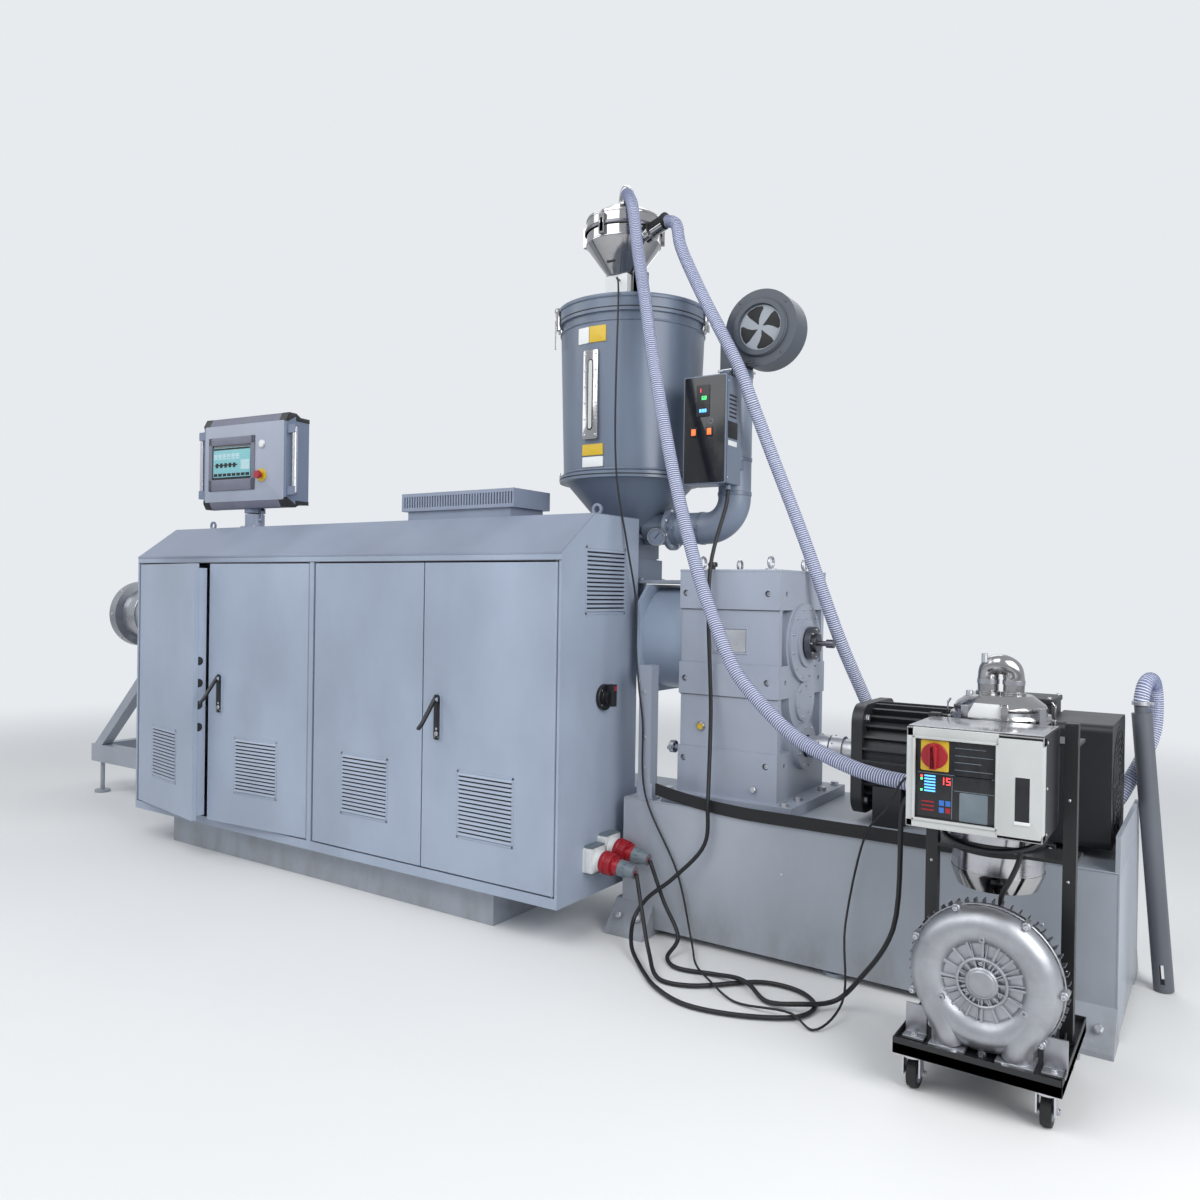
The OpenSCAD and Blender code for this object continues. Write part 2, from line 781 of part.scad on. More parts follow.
module feed_throat() {
    color("lightgray") {
        difference() {
            block(feed_start, feed_end, axis_y - feed_w / 2, axis_y + feed_w / 2,
                axis_z - feed_w / 2, axis_z + feed_w / 2);
            along_x(feed_start - 1, axis_y, axis_z) cylinder(r = barrel_r, h = feed_end - feed_start + 2);
        }
        translate([throat_x, axis_y, axis_z + feed_w / 2])
            cylinder(r = 70, h = table_z - 12 - axis_z - feed_w / 2);
        block(feed_start, gear_x, axis_y - 110, axis_y + 110, table_z - 12, table_z);
    }
}

module barrel() {
    color("silver") {
        along_x(barrel_end, axis_y, axis_z) cylinder(r = barrel_r, h = feed_end - barrel_end);
        along_x(barrel_end - 40, axis_y, axis_z) cylinder(r = 92, h = 40);
    }
}

zone_l = 300;
fan_case_r = 95;
fan_case_up = 110;
zone_gap = (feed_start - barrel_end - zones * zone_l) / (zones + 1);

module barrel_heaters() {
    color("silver") for (i = [0:zones - 1]) {
        x = barrel_end + zone_gap + i * (zone_l + zone_gap);
        along_x(x, axis_y, axis_z) difference() {
            cylinder(r = heater_r, h = zone_l);
            translate([0, 0, -1]) cylinder(r = barrel_r, h = zone_l + 2);
            for (k = [1:5])
                translate([0, 0, k * zone_l / 6 - 6]) difference() {
                    cylinder(r = heater_r + 1, h = 12);
                    cylinder(r = heater_r - 14, h = 12);
                }
        }
        block(x + 60, x + zone_l - 60, axis_y - 70, axis_y + 70, deck_z + 150, axis_z - heater_r + 21);
        along_y(x + zone_l / 2, axis_y - 60, deck_z + fan_case_up) cylinder(r = fan_case_r, h = 120);
    }
}

frame_w = 236;
frame_z = 300;

module barrel_frame() {
    y0 = axis_y - frame_w / 2;
    y1 = axis_y + frame_w / 2;
    color("whitesmoke") {
        block(barrel_end + 30, base_start, y0, y1, frame_z, deck_z);
        for (x = [barrel_end + 60, -60])
            block(x, x + 120, y0, y1, 0, frame_z);
        for (i = [0:zones - 1]) {
            x = barrel_end + zone_gap + i * (zone_l + zone_gap) + zone_l / 2;
            difference() {
                block(x - 60, x + 60, axis_y - 60, axis_y + 60, deck_z - 1, deck_z + 28);
                along_y(x, axis_y - 61, deck_z + fan_case_up) cylinder(r = fan_case_r + seat, h = 122);
            }
        }
        block(barrel_end + 10, barrel_end + 30, y0, y1, frame_z, axis_z - barrel_r - 22);
        difference() {
            block(barrel_end + 10, barrel_end + 30, y0 + 20, y1 - 20,
                axis_z - barrel_r - 30, axis_z + barrel_r + 22);
            along_x(barrel_end, axis_y, axis_z) cylinder(r = barrel_r, h = 60);
        }
    }
}

// The die as one turned body along X: adapter, body, large ring and nose
module die_head() {
    color("darkgray") along_x(die_start, axis_y, axis_z) mirror([0, 0, 1])
        rotate_extrude() polygon([
            [0, 0], [92, 0], [92, 40], [58, 60], [58, 240], [110, 330], [128, 360],
            [128, 900], [150, 920], [150, 1180], [die_r, 1190],
            [die_r, die_start - die_end - 36], [die_r - 24, die_start - die_end - 30],
            [die_r - 60, die_start - die_end], [48, die_start - die_end],
            [48, die_start - die_end - 60], [0, die_start - die_end - 60]
        ]);
}

stand_w = 412;
stand_len = 1070;

module die_stand() {
    y0 = axis_y - stand_w / 2;
    y1 = axis_y + stand_w / 2;
    tube = 60;
    low = 180;
    high = 280;
    mid_x = stand_end + 560;
    color("whitesmoke") {
        for (y = [y0, y1 - tube]) {
            block(stand_end, stand_end + stand_len, y, y + tube, low, high);
            xz_plate(y, tube, [
                [stand_end + 30, high - 1], [stand_end + 110, high - 1],
                [mid_x, 700], [mid_x, 780]
            ]);
            xz_plate(y, tube, [
                [stand_end + stand_len - 30, high - 1], [stand_end + stand_len - 110, high - 1],
                [mid_x + 160, 700], [mid_x + 160, 780]
            ]);
            block(mid_x - 10, mid_x + 170, y, y + tube, high - 1, 820);
            for (x = [stand_end + 70, stand_end + stand_len - 70]) translate([x, y + tube / 2, 0]) {
                cylinder(r = 42, h = 14);
                cylinder(r = 12, h = low + 1);
            }
        }
        for (x = [stand_end, stand_end + stand_len - tube])
            block(x, x + tube, y0, y1, low, high);
        difference() {
            block(mid_x - 10, mid_x + 170, y0, y1, 780, axis_z - 10);
            along_x(mid_x - 20, axis_y, axis_z) cylinder(r = 128, h = 200);
        }
    }
}

// Dryer

gate_top = table_z + gate_h + magnet_h;
cone_top = gate_top + cone_h;
dryer_top = cone_top + dryer_h;
cone_r0 = 75;
inlet_z = gate_top + inlet_up;
duct_x = throat_x + duct_out;
bend_r = 110;
lid_crown = 16;

module at_dryer(z) {
    translate([throat_x, axis_y, z]) children();
}

module dryer_cone() {
    color("slategray") {
        difference() {
            union() {
                at_dryer(table_z) linear_extrude(gate_h) square(190, center = true);
                at_dryer(table_z + gate_h - 1) linear_extrude(magnet_h - 9)
                    square([164, 180], center = true);
                at_dryer(gate_top - 10) cylinder(r = 104, h = 14);
                at_dryer(gate_top) cylinder(r1 = cone_r0, r2 = dryer_r0, h = cone_h);
                at_dryer(cone_top - 12) cylinder(r = dryer_r0 + 16, h = 12);
                along_x(throat_x + 90, axis_y, inlet_z) cylinder(r = duct_r, h = 100);
            }
            at_dryer(gate_top + 6) cylinder(r1 = cone_r0 - dryer_wall, r2 = dryer_r0 - dryer_wall,
                h = cone_h - 5.9);
        }
        block(throat_x - 150, throat_x - 94, axis_y - 70, axis_y + 70,
            table_z + 26, table_z + 40);
        along_y(throat_x, axis_y + 89, table_z + gate_h + magnet_h / 2) cylinder(r = 34, h = 26);
        translate([throat_x + 178, axis_y - 94, inlet_z - 36]) rotate([0, 90, -66]) {
            cylinder(r = 32, h = 16);
            translate([0, 0, -70]) cylinder(r = 7, h = 71);
        }
    }
}

module dryer_barrel() {
    color("slategray") {
        difference() {
            at_dryer(cone_top) cylinder(r1 = dryer_r0, r2 = dryer_r1, h = dryer_h);
            at_dryer(cone_top - 0.1)
                cylinder(r1 = dryer_r0 - dryer_wall, r2 = dryer_r1 - dryer_wall, h = dryer_h + 0.2);
        }
        difference() {
            at_dryer(cone_top) cylinder(r = dryer_r0 + 16, h = 12);
            at_dryer(cone_top - 1) cylinder(r = dryer_r0 - 2, h = 14);
        }
        difference() {
            at_dryer(dryer_top - 14) cylinder(r = dryer_r1 + 10, h = 14);
            at_dryer(dryer_top - 15) cylinder(r = dryer_r1 - 3, h = 16);
        }
    }
}

module dryer_lid() {
    color("slategray") {
        at_dryer(dryer_top) cylinder(r = dryer_r1 + 10, h = lid_h - 8);
        at_dryer(dryer_top + lid_h - 8) cylinder(r = dryer_r1 + 12, h = 8);
        at_dryer(dryer_top + lid_h) cylinder(r1 = dryer_r1 - 10, r2 = 130, h = lid_crown);
        for (a = latches_at) at_dryer(dryer_top - 34) rotate([0, 0, a])
            translate([dryer_r1 + 11, -15, 0]) cube([11, 30, 82]);
    }
}

glass_a = -91;
latches_at = [-134, 12, 85, 158];

module sight_glass() {
    z0 = cone_top + 130;
    mid_r = dryer_r0 + (dryer_r1 - dryer_r0) * 0.5;
    color("silver") at_dryer(0) rotate([0, 0, glass_a]) difference() {
        block(mid_r - 22, mid_r + 10, -32, 32, z0, z0 + 330);
        at_dryer_local(cone_top);
    }
}

// The dryer barrel's solid form, about its own axis, cut from what seats on it
module at_dryer_local(z) {
    translate([0, 0, z]) cylinder(r1 = dryer_r0 + seat, r2 = dryer_r1 + seat, h = dryer_h, $fn = 180);
}

module dryer_duct() {
    stub_end = throat_x + 190;
    color("lightgray") {
        along_x(stub_end, axis_y, inlet_z) cylinder(r = duct_r + 22, h = 14);
        along_x(stub_end, axis_y, inlet_z) cylinder(r = duct_r, h = duct_x - bend_r - stub_end);
        translate([duct_x - bend_r, axis_y, inlet_z + bend_r]) rotate([-90, 0, 0])
            rotate_extrude(angle = 90) translate([bend_r, 0]) circle(duct_r);
        translate([duct_x, axis_y, inlet_z + bend_r])
            cylinder(r = duct_r, h = fan_z - fan_r - inlet_z - bend_r);
    }
}

fan_x = duct_x + 115;

module dryer_blower() {
    y0 = axis_y - fan_w / 2;
    color("dimgray") {
        along_y(fan_x, y0, fan_z) difference() {
            cylinder(r = fan_r, h = fan_w);
            translate([0, 0, -1]) difference() {
                cylinder(r = 82, h = 7);
                cylinder(r = 14, h = 8);
            }
        }
        block(duct_x - 45, duct_x + 45, y0 + 4, y0 + fan_w - 4, fan_z - fan_r, fan_z);
        along_y(fan_x, y0 + fan_w, fan_z) cylinder(r = 72, h = 110);
        along_y(fan_x, y0 - 14, fan_z) difference() {
            cylinder(r = 100, h = 15);
            translate([0, 0, -1]) cylinder(r = 84, h = 17);
        }
    }
}

dbox_w = 166;
dbox_d = 110;
dbox_h = 380;
dbox_z = 1605;

module dryer_control_box() {
    x0 = duct_x - 30 - dbox_w / 2;
    y1 = axis_y - duct_r - 6;
    color("slategray") {
        block(x0, x0 + dbox_w, y1 - dbox_d, y1, dbox_z, dbox_z + dbox_h);
        difference() {
            block(duct_x - 50, duct_x + 50, y1, axis_y - 20, dbox_z + 60, dbox_z + 90);
            translate([duct_x, axis_y, dbox_z]) cylinder(r = duct_r + seat, h = 200);
        }
        block(x0 + 6, x0 + dbox_w - 6, y1 - dbox_d - 8, y1 - dbox_d + 1,
            dbox_z + 8, dbox_z + dbox_h - 8);
        translate([x0 + dbox_w - 15, y1 - 68, dbox_z - 20]) cylinder(r = 11, h = 21);
    }
}

loader_x = throat_x - loader_off;
loader_z = dryer_top + lid_h + lid_crown;
neck_h = 140;
loader_cone = 119;
loader_body = 104;
loader_cap = 44;
body_z = loader_z + neck_h + loader_cone;
cap_z = body_z + loader_body;
elbow_r = 22;
elbow_bend = 40;
elbow_a = -50;
inlet_a = -15;

module hopper_loader() {
    color("silver") translate([loader_x, axis_y, 0]) {
        translate([0, 0, loader_z]) linear_extrude(8) square(156, center = true);
        translate([0, 0, loader_z]) linear_extrude(neck_h) square(100, center = true);
        translate([62, -26, loader_z]) cube([42, 52, neck_h + 10]);
        for (a = [-160, -90, 30, 120]) rotate([0, 0, a])
            translate([loader_r - 4, -12, body_z + 8]) cube([19, 24, 76]);
        translate([0, 0, loader_z + neck_h]) cylinder(r1 = 60, r2 = loader_r, h = loader_cone);
        translate([0, 0, body_z]) cylinder(r = loader_r, h = loader_body);
        translate([0, 0, body_z + 44]) cylinder(r = loader_r + 6, h = 14);
        translate([0, 0, cap_z]) cylinder(r1 = loader_r, r2 = 70, h = loader_cap);
        rotate([0, 0, elbow_a]) {
            translate([0, 0, cap_z + loader_cap - 4]) cylinder(r = elbow_r, h = 21);
            translate([0, 0, cap_z + loader_cap + 9]) cylinder(r = elbow_r + 4, h = 16);
            translate([elbow_bend, 0, cap_z + loader_cap + 17]) rotate([90, 0, 0])
                rotate([0, 0, 180 - 130]) rotate_extrude(angle = 130)
                    translate([elbow_bend, 0]) circle(elbow_r);
            translate([elbow_bend, 0, cap_z + loader_cap + 17]) rotate([0, 130, 0])
                translate([-elbow_bend, 0, 0]) cylinder(r = elbow_r, h = 27);
        }
        rotate([0, 0, inlet_a]) translate([loader_r - 10, 0, body_z + 13]) rotate([0, 78, 0]) {
            cylinder(r = 24, h = 92);
            cylinder(r = 34, h = 26);
        }
    }
}

// Trolley with ring blower, canister and control box

trolley_left = trolley_x - trolley_w / 2;
trolley_right = trolley_x + trolley_w / 2;
trolley_rear = trolley_front + trolley_d;
upright_y = -382;
upright = 30;
uprights = [trolley_left + 10, trolley_right - 10 - upright];
castor_at = [
    [trolley_left + 38, trolley_front + 42], [trolley_right - 38, trolley_front + 42],
    [trolley_left + 38, trolley_rear - 42], [trolley_right - 38, trolley_rear - 42]
];
tray_t = 24;
canister_x = trolley_x - 25;
canister_y = -268;
canister_z = 452;
canister_top = canister_z + canister_h + 52;
lbox_rear = upright_y - upright / 2;

module trolley_frame() {
    color("black") {
        difference() {
            block(trolley_left, trolley_right, trolley_front, trolley_rear, tray_z - tray_t, tray_z);
            for (p = castor_at)
                translate([p[0], p[1], tray_z - tray_t - 1])
                    cylinder(r = 6 + run_clear, h = 17);
        }
        for (x = uprights)
            block(x, x + upright, upright_y - upright / 2, upright_y + upright / 2, tray_z, 905);
        for (z = [560, 850]) difference() {
            block(uprights[0], uprights[1] + upright, upright_y - upright / 2, canister_y,
                z, z + 8);
            translate([canister_x, canister_y, z - 1]) cylinder(r = canister_r + seat, h = 10);
        }
    }
}

module castor_fork(i) {
    top = tray_z - tray_t;
    color("silver") translate([castor_at[i][0], castor_at[i][1], 0]) {
        translate([0, 0, top - 12]) cylinder(r = 22, h = 7);
        translate([0, 0, top - 6]) cylinder(r = 6, h = 20);
        for (s = [-1, 1]) translate([s * (wheel_w / 2 + 8) - 2, 0, 0]) {
            translate([0, -14, wheel_r]) cube([4, 34, top - 9 - wheel_r]);
            translate([0, 20, wheel_r]) rotate([0, 90, 0]) cylinder(r = 9, h = 4);
        }
        translate([-wheel_w / 2 - 10, -14, top - 16]) cube([wheel_w + 20, 34, 6]);
        translate([-wheel_w / 2 - 8, 20, wheel_r]) rotate([0, 90, 0])
            cylinder(r = 5, h = wheel_w + 16);
    }
}

module castor_wheel(i) {
    color("dimgray") translate([castor_at[i][0], castor_at[i][1] + 20, wheel_r])
        rotate([0, 90, 0]) difference() {
            union() {
                cylinder(r = wheel_r, h = wheel_w, center = true);
                cylinder(r = 9, h = wheel_w + 10, center = true);
            }
            cylinder(r = 5 + run_clear, h = wheel_w + 20, center = true);
        }
}

module castor_fork_1() { castor_fork(0); }
module castor_fork_2() { castor_fork(1); }
module castor_fork_3() { castor_fork(2); }
module castor_fork_4() { castor_fork(3); }
module castor_wheel_1() { castor_wheel(0); }
module castor_wheel_2() { castor_wheel(1); }
module castor_wheel_3() { castor_wheel(2); }
module castor_wheel_4() { castor_wheel(3); }

ring_x = trolley_x + 7;
ring_z = tray_z + ring_r + 6;
ring_y = trolley_front + 72;
ribs = 16;

module ring_blower() {
    color("silver") {
        along_y(ring_x, ring_y, ring_z) {
            rotate_extrude() translate([ring_r - 44, 0]) circle(44);
            translate([0, 0, -22]) cylinder(r = ring_r - 50, h = 60);
            translate([0, 0, -34]) cylinder(r = 34, h = 40);
            for (i = [0:ribs - 1])
                rotate([0, 0, i * 360 / ribs]) translate([30, -3, -30]) cube([ring_r - 84, 6, 12]);
            translate([0, 0, 4]) cylinder(r = ring_r + 4, h = 10);
            translate([0, 0, 30]) cylinder(r = 78, h = 120);
            translate([0, 0, 149]) cylinder(r = 86, h = 62);
        }
        for (s = [-1, 1])
            block(ring_x + s * 90 - 24, ring_x + s * 90 + 24, ring_y - 30, ring_y + 30,
                tray_z, tray_z + 52);
        block(ring_x - 70, ring_x + 70, ring_y + 60, ring_y + 190, tray_z, tray_z + 106);
    }
}

module dust_canister() {
    color("silver") {
        translate([canister_x, canister_y, canister_z]) {
            cylinder(r1 = canister_r - 31, r2 = canister_r, h = 40);
            translate([0, 0, 40]) cylinder(r = canister_r, h = canister_h - 40);
            translate([0, 0, canister_h - 30]) cylinder(r = canister_r + 8, h = 14);
            translate([0, 0, canister_h]) cylinder(r1 = canister_r - 4, r2 = 78, h = 34);
        }
        for (s = [-1, 1]) translate([canister_x + s * 32, canister_y, canister_top - 34]) {
            cylinder(r = 24, h = 62);
            translate([0, 0, 44]) cylinder(r = 28, h = 12);
        }
        for (a = [60:90:330]) translate([canister_x, canister_y, canister_top - 102]) rotate([0, 0, a])
            translate([canister_r - 3, -12, 0]) cube([20, 24, 60]);
        along_x(canister_x - canister_r - 56, canister_y, 690) cylinder(r = 21, h = 60);
    }
}

lbox_x = trolley_x - lbox_w / 2 - 16;
switch_x = lbox_x + 66;
switch_z = lbox_z + 176;
knob_r = 30;

module loader_control_box() {
    front = lbox_rear - lbox_d;
    color("gainsboro") {
        difference() {
            block(lbox_x, lbox_x + lbox_w, front, lbox_rear, lbox_z, lbox_z + lbox_h);
            block(lbox_x + 14, lbox_x + lbox_w - 92, front - 1, front + 4,
                lbox_z + 18, lbox_z + lbox_h - 22);
        }
        along_y(switch_x, front - 14, switch_z) cylinder(r = 7, h = 20);
        along_x(lbox_x - 18, lbox_rear - 43, lbox_z + 35) cylinder(r = 11, h = 19);
        along_x(lbox_x - 16, lbox_rear - 18, lbox_z + 81) cylinder(r = 7, h = 17);
    }
}

module loader_switch() {
    front = lbox_rear - lbox_d;
    color("red") difference() {
        union() {
            along_y(switch_x, front - 12, switch_z) cylinder(r = knob_r, h = 11);
            translate([switch_x - 6, front - 24, switch_z - knob_r]) cube([12, 13, 2 * knob_r]);
        }
        along_y(switch_x, front - 14 - seat, switch_z) cylinder(r = 7 + run_clear, h = 20);
    }
}

// Hoses, cables and what hangs on them

hose_r = 23;
cable_r = 7;
signal_r = 3.5;

// Points of each cord, along X from the gearbox
vacuum_route = [
    [-343, 166, 2763], [-307, 125, 2728], [-264, 82, 2668], [-210, 36, 2480], [-170, 0, 2370],
    [-132, -36, 2266], [-57, -85, 1995], [43, -105, 1600], [158, -130, 1260], [228, -145, 1110],
    [308, -160, 965], [428, -180, 850], [548, -205, 770], [748, -250, 708], [888, -267, 692],
    [966, -268, 690]
];
material_route = [
    [-166, 171.5, 2625], [-116, 150, 2598], [-79, 124, 2500], [15, 105, 2316], [180, 100, 2012],
    [216, 112, 1915], [266, 180, 1730], [378, 235, 1412], [493, 300, 1055], [571, 425, 786],
    [622, 464, 630], [708, 476, 512], [1238, 478, 500], [1328, 480, 545], [1383, 505, 640],
    [1438, 580, 780], [1440, 568, 930], [1420, 510, 965], [1411, 474, 930], [1411, 470, 886]
];
dryer_cable_route = [
    [143, 100, 1584], [142, 96, 1540], [127, 4, 1300], [144, -6, 800], [166, -56, 580],
    [179, -86, 500], [172, -90, 365], [68, -118, 237], [-22, -142, 155], [-50, -175, 94],
    [-12, -255, 35], [78, -345, 9], [208, -460, 9], [338, -512, 9], [508, -478, 9], [638, -390, 9],
    [650, -300, 9], [578, -228, 9], [458, -226, 9], [279, -385, 9], [178, -396, 9], [83, -300, 45],
    [8, -225, 150], [-35, -191, 251]
];
loader_cable_route = [
    [975, -440, 690], [952, -440, 690], [930, -424, 660], [879, -320, 290], [768, -260, 105],
    [698, -266, 26], [618, -352, 26], [518, -350, 9], [438, -300, 24], [393, -283, 25],
    [298, -262, 9], [178, -285, 9], [110, -225, 9], [108, -150, 50], [28, -112, 150],
    [-35.5, -101, 276.6]
];
signal_cable_route = [
    [-383, 183, 2440], [-378, 158, 2438], [-236, -52, 2315], [-235, -50, 1660], [-210, -10, 1400],
    [-187, 25, 1180], [-142, -40, 1000], [-112, -69, 880], [-94, -69, 760], [-77, -72, 500],
    [59, -72, 241], [133, -100, 30], [238, -262, 23], [328, -345, 23], [438, -400, 5],
    [623, -415, 23], [698, -440, 5], [734, -310, 44], [674, -120, 200], [728, -115, 480],
    [828, -240, 600], [943, -415, 736], [977, -415, 736]
];

function unit(v) = v / norm(v);

// Direction of a route at its point i
function heading(p, i) =
    let(last = len(p) - 1)
    i == 0 ? unit(p[1] - p[0])
    : i == last ? unit(p[last] - p[last - 1])
    : unit(unit(p[i] - p[i - 1]) + unit(p[i + 1] - p[i]));

// Side vectors along a route, each carried over from the one before it
function side_vectors(p, u, i = 0) =
    i == len(p) ? []
    : let(t = heading(p, i), v = unit(u - (u * t) * t))
        concat([v], side_vectors(p, v, i + 1));

// A tube swept along a route's points
module tube(route, r, sides = 8) {
    p = [for (q = route) q + [gear_x, 0, 0]];
    n = len(p);
    u = side_vectors(p, [0.1, 1, 0.05]);
    ring = [for (i = [0:n - 1], k = [0:sides - 1])
        let(a = k * 360 / sides, t = heading(p, i))
        p[i] + r * (cos(a) * u[i] + sin(a) * cross(t, u[i]))];
    skin = [for (i = [0:n - 2], k = [0:sides - 1])
        let(a = i * sides + k, b = i * sides + (k + 1) % sides)
        each [[a, b + sides, b], [a, a + sides, b + sides]]];
    ends = [[for (k = [0:sides - 1]) k], [for (k = [sides - 1:-1:0]) (n - 1) * sides + k]];
    polyhedron(ring, concat(skin, ends));
}

module vacuum_hose() { color("lightblue") tube(vacuum_route, hose_r); }
module material_hose() { color("lightblue") tube(material_route, hose_r); }
module dryer_cable() { color("black") tube(dryer_cable_route, cable_r); }
module loader_cable() { color("black") tube(loader_cable_route, cable_r); }
module signal_cable() { color("black") tube(signal_cable_route, signal_r); }
module dryer_plug() { power_plug(0); }
module loader_plug() { power_plug(1); }

lance_r = 29;
lance_a = 5;
lance_x = base_end + 80;
lance_y = 470;
lance_l = 860;

// The steel suction lance, which leans on the base's right end
module suction_lance() {
    color("gray") translate([lance_x, lance_y, lance_r * sin(lance_a)]) rotate([0, -lance_a, 0]) {
        difference() {
            cylinder(r = lance_r, h = lance_l);
            translate([0, 0, -1]) cylinder(r = lance_r - 3, h = 120);
            for (a = [0:90:270]) rotate([0, 0, a]) translate([20, -6, 24]) cube([20, 12, 60]);
        }
        translate([0, 0, lance_l]) cylinder(r = 20, h = 24);
    }
}

cabinet_plinth();
cabinet_shell();
cabinet_roof();
roof_vent();
end_fittings();
hmi_pole();
drive_base();
barrel_frame();
gearbox_housing();
gearbox_covers();
main_motor();
thrust_drum();
riser_post();
barrel();
barrel_heaters();
feed_throat();
die_head();
die_stand();
dryer_cone();
dryer_barrel();
dryer_lid();
sight_glass();
dryer_duct();
dryer_blower();
dryer_control_box();
hopper_loader();
trolley_frame();
ring_blower();
dust_canister();
loader_control_box();
edge_strip();
door_1();
door_2();
door_3();
door_4();
lever_2();
lever_4();
isolator_handle();
hmi_box();
stop_button();
drive_coupling();
screw_tail();
loader_switch();
castor_fork_1();
castor_fork_2();
castor_fork_3();
castor_fork_4();
castor_wheel_1();
castor_wheel_2();
castor_wheel_3();
castor_wheel_4();
vacuum_hose();
material_hose();
dryer_cable();
loader_cable();
signal_cable();
dryer_plug();
loader_plug();
suction_lance();
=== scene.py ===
"""Looks of a plastic extruder line head: cabinet, drive, barrel, die, dryer, loader and trolley.

Every piece is made in mesh code in the machine's own frame. Sizes in the classes are in
millimetres; the meshes are in metres.
"""

import logging
import math
from dataclasses import dataclass, field
from enum import Enum
from typing import Callable, Iterable, Sequence

import bmesh
import bpy
from mathutils import Matrix, Vector


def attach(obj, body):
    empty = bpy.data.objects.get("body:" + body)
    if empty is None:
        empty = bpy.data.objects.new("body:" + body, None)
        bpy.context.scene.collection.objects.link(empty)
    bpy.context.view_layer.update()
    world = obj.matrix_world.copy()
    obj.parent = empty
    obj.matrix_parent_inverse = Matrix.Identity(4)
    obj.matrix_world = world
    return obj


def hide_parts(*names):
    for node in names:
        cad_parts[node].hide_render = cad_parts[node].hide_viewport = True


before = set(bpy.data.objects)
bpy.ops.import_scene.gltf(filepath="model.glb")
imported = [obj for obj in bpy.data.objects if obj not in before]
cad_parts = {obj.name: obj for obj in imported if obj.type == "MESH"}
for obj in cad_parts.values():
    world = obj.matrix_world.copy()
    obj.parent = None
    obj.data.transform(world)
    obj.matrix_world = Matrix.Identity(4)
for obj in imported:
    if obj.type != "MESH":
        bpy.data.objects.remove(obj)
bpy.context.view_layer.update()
MM = 0.001
TINY = 1e-6
FULL_TURN = 360.0
HOSE_PITCH = 0.0076
RING_STEP = HOSE_PITCH / 4
GAP_UNDER = 0.24
GAP_OVER = 0.19
SOCKETS = ((-191.0, 275.0), (-101.0, 300.0))
DROOP = 8.0
UPRIGHT = Matrix.Rotation(math.pi / 2, 4, "X")
log = logging.getLogger("extruder")

Point = tuple[float, float, float]
Colour = tuple[float, float, float]
Pair = tuple[float, float]
Socket = bpy.types.NodeSocket

BACKDROP: Colour = (0.80, 0.83, 0.86)


class Axis(Enum):
    """Directions along which pieces are turned or drilled."""

    X = (1.0, 0.0, 0.0)
    Y = (0.0, 1.0, 0.0)
    Z = (0.0, 0.0, 1.0)
    FRONT = (0.0, -1.0, 0.0)
    LEFT = (-1.0, 0.0, 0.0)
    DOWN = (0.0, 0.0, -1.0)


class Grain(Enum):
    """Scale of the noise along X, Y and Z for a finish that runs one way."""

    ALONG_X = (3.0, 90.0, 90.0)
    ALONG_Z = (90.0, 90.0, 3.0)
    AROUND_Z = (4.0, 4.0, 160.0)
    EVEN = (60.0, 60.0, 60.0)


def srgb(red: int, green: int, blue: int) -> Colour:
    """Linear colour of an 8-bit screen colour.

    Args:
        red: Red from 0 to 255.
        green: Green from 0 to 255.
        blue: Blue from 0 to 255.

    Returns:
        The three linear values.
    """
    return tuple(
        (v / 255 / 12.92) if v <= 10 else ((v / 255 + 0.055) / 1.055) ** 2.4
        for v in (red, green, blue)
    )


def placed(at: Point, axis: Axis | Point = Axis.Z, spin: float = 0.0) -> Matrix:
    """Frame whose origin is a point and whose own Z runs along an axis.

    Args:
        at: Origin in millimetres.
        axis: Direction of the frame's Z.
        spin: Turn about that axis, in degrees.

    Returns:
        The 4 by 4 matrix, in millimetres.
    """
    z = Vector(axis.value if isinstance(axis, Axis) else axis).normalized()
    turn = z.to_track_quat("Z", "Y").to_matrix().to_4x4()
    return Matrix.Translation(at) @ turn @ Matrix.Rotation(math.radians(spin), 4, "Z")


def spun(frame: Matrix, degrees: float) -> Matrix:
    """The frame turned about its own Z."""
    return frame @ Matrix.Rotation(math.radians(degrees), 4, "Z")


def moved(frame: Matrix, x: float, y: float, z: float) -> Matrix:
    """The frame moved along its own axes."""
    return frame @ Matrix.Translation((x, y, z))


def on_wall(centre: Point, angle: float, reach: float) -> Matrix:
    """Frame on an upright round wall: Z outward, Y up.

    Args:
        centre: Point on the wall's axis, at the frame's height.
        angle: Angle from X, in degrees.
        reach: Distance from the axis.

    Returns:
        The frame.
    """
    a = math.radians(angle)
    outward = Vector((math.cos(a), math.sin(a), 0.0))
    up = Vector((0.0, 0.0, 1.0))
    turn = Matrix((up.cross(outward), up, outward)).transposed().to_4x4()
    x, y, z = centre
    return Matrix.Translation((x + reach * outward.x, y + reach * outward.y, z)) @ turn


def corners(u: float, v: float) -> Iterable[Pair]:
    """The four corners of a rectangle round a point, from half its sides."""
    return ((a, b) for a in (-u, u) for b in (-v, v))


# Finishes


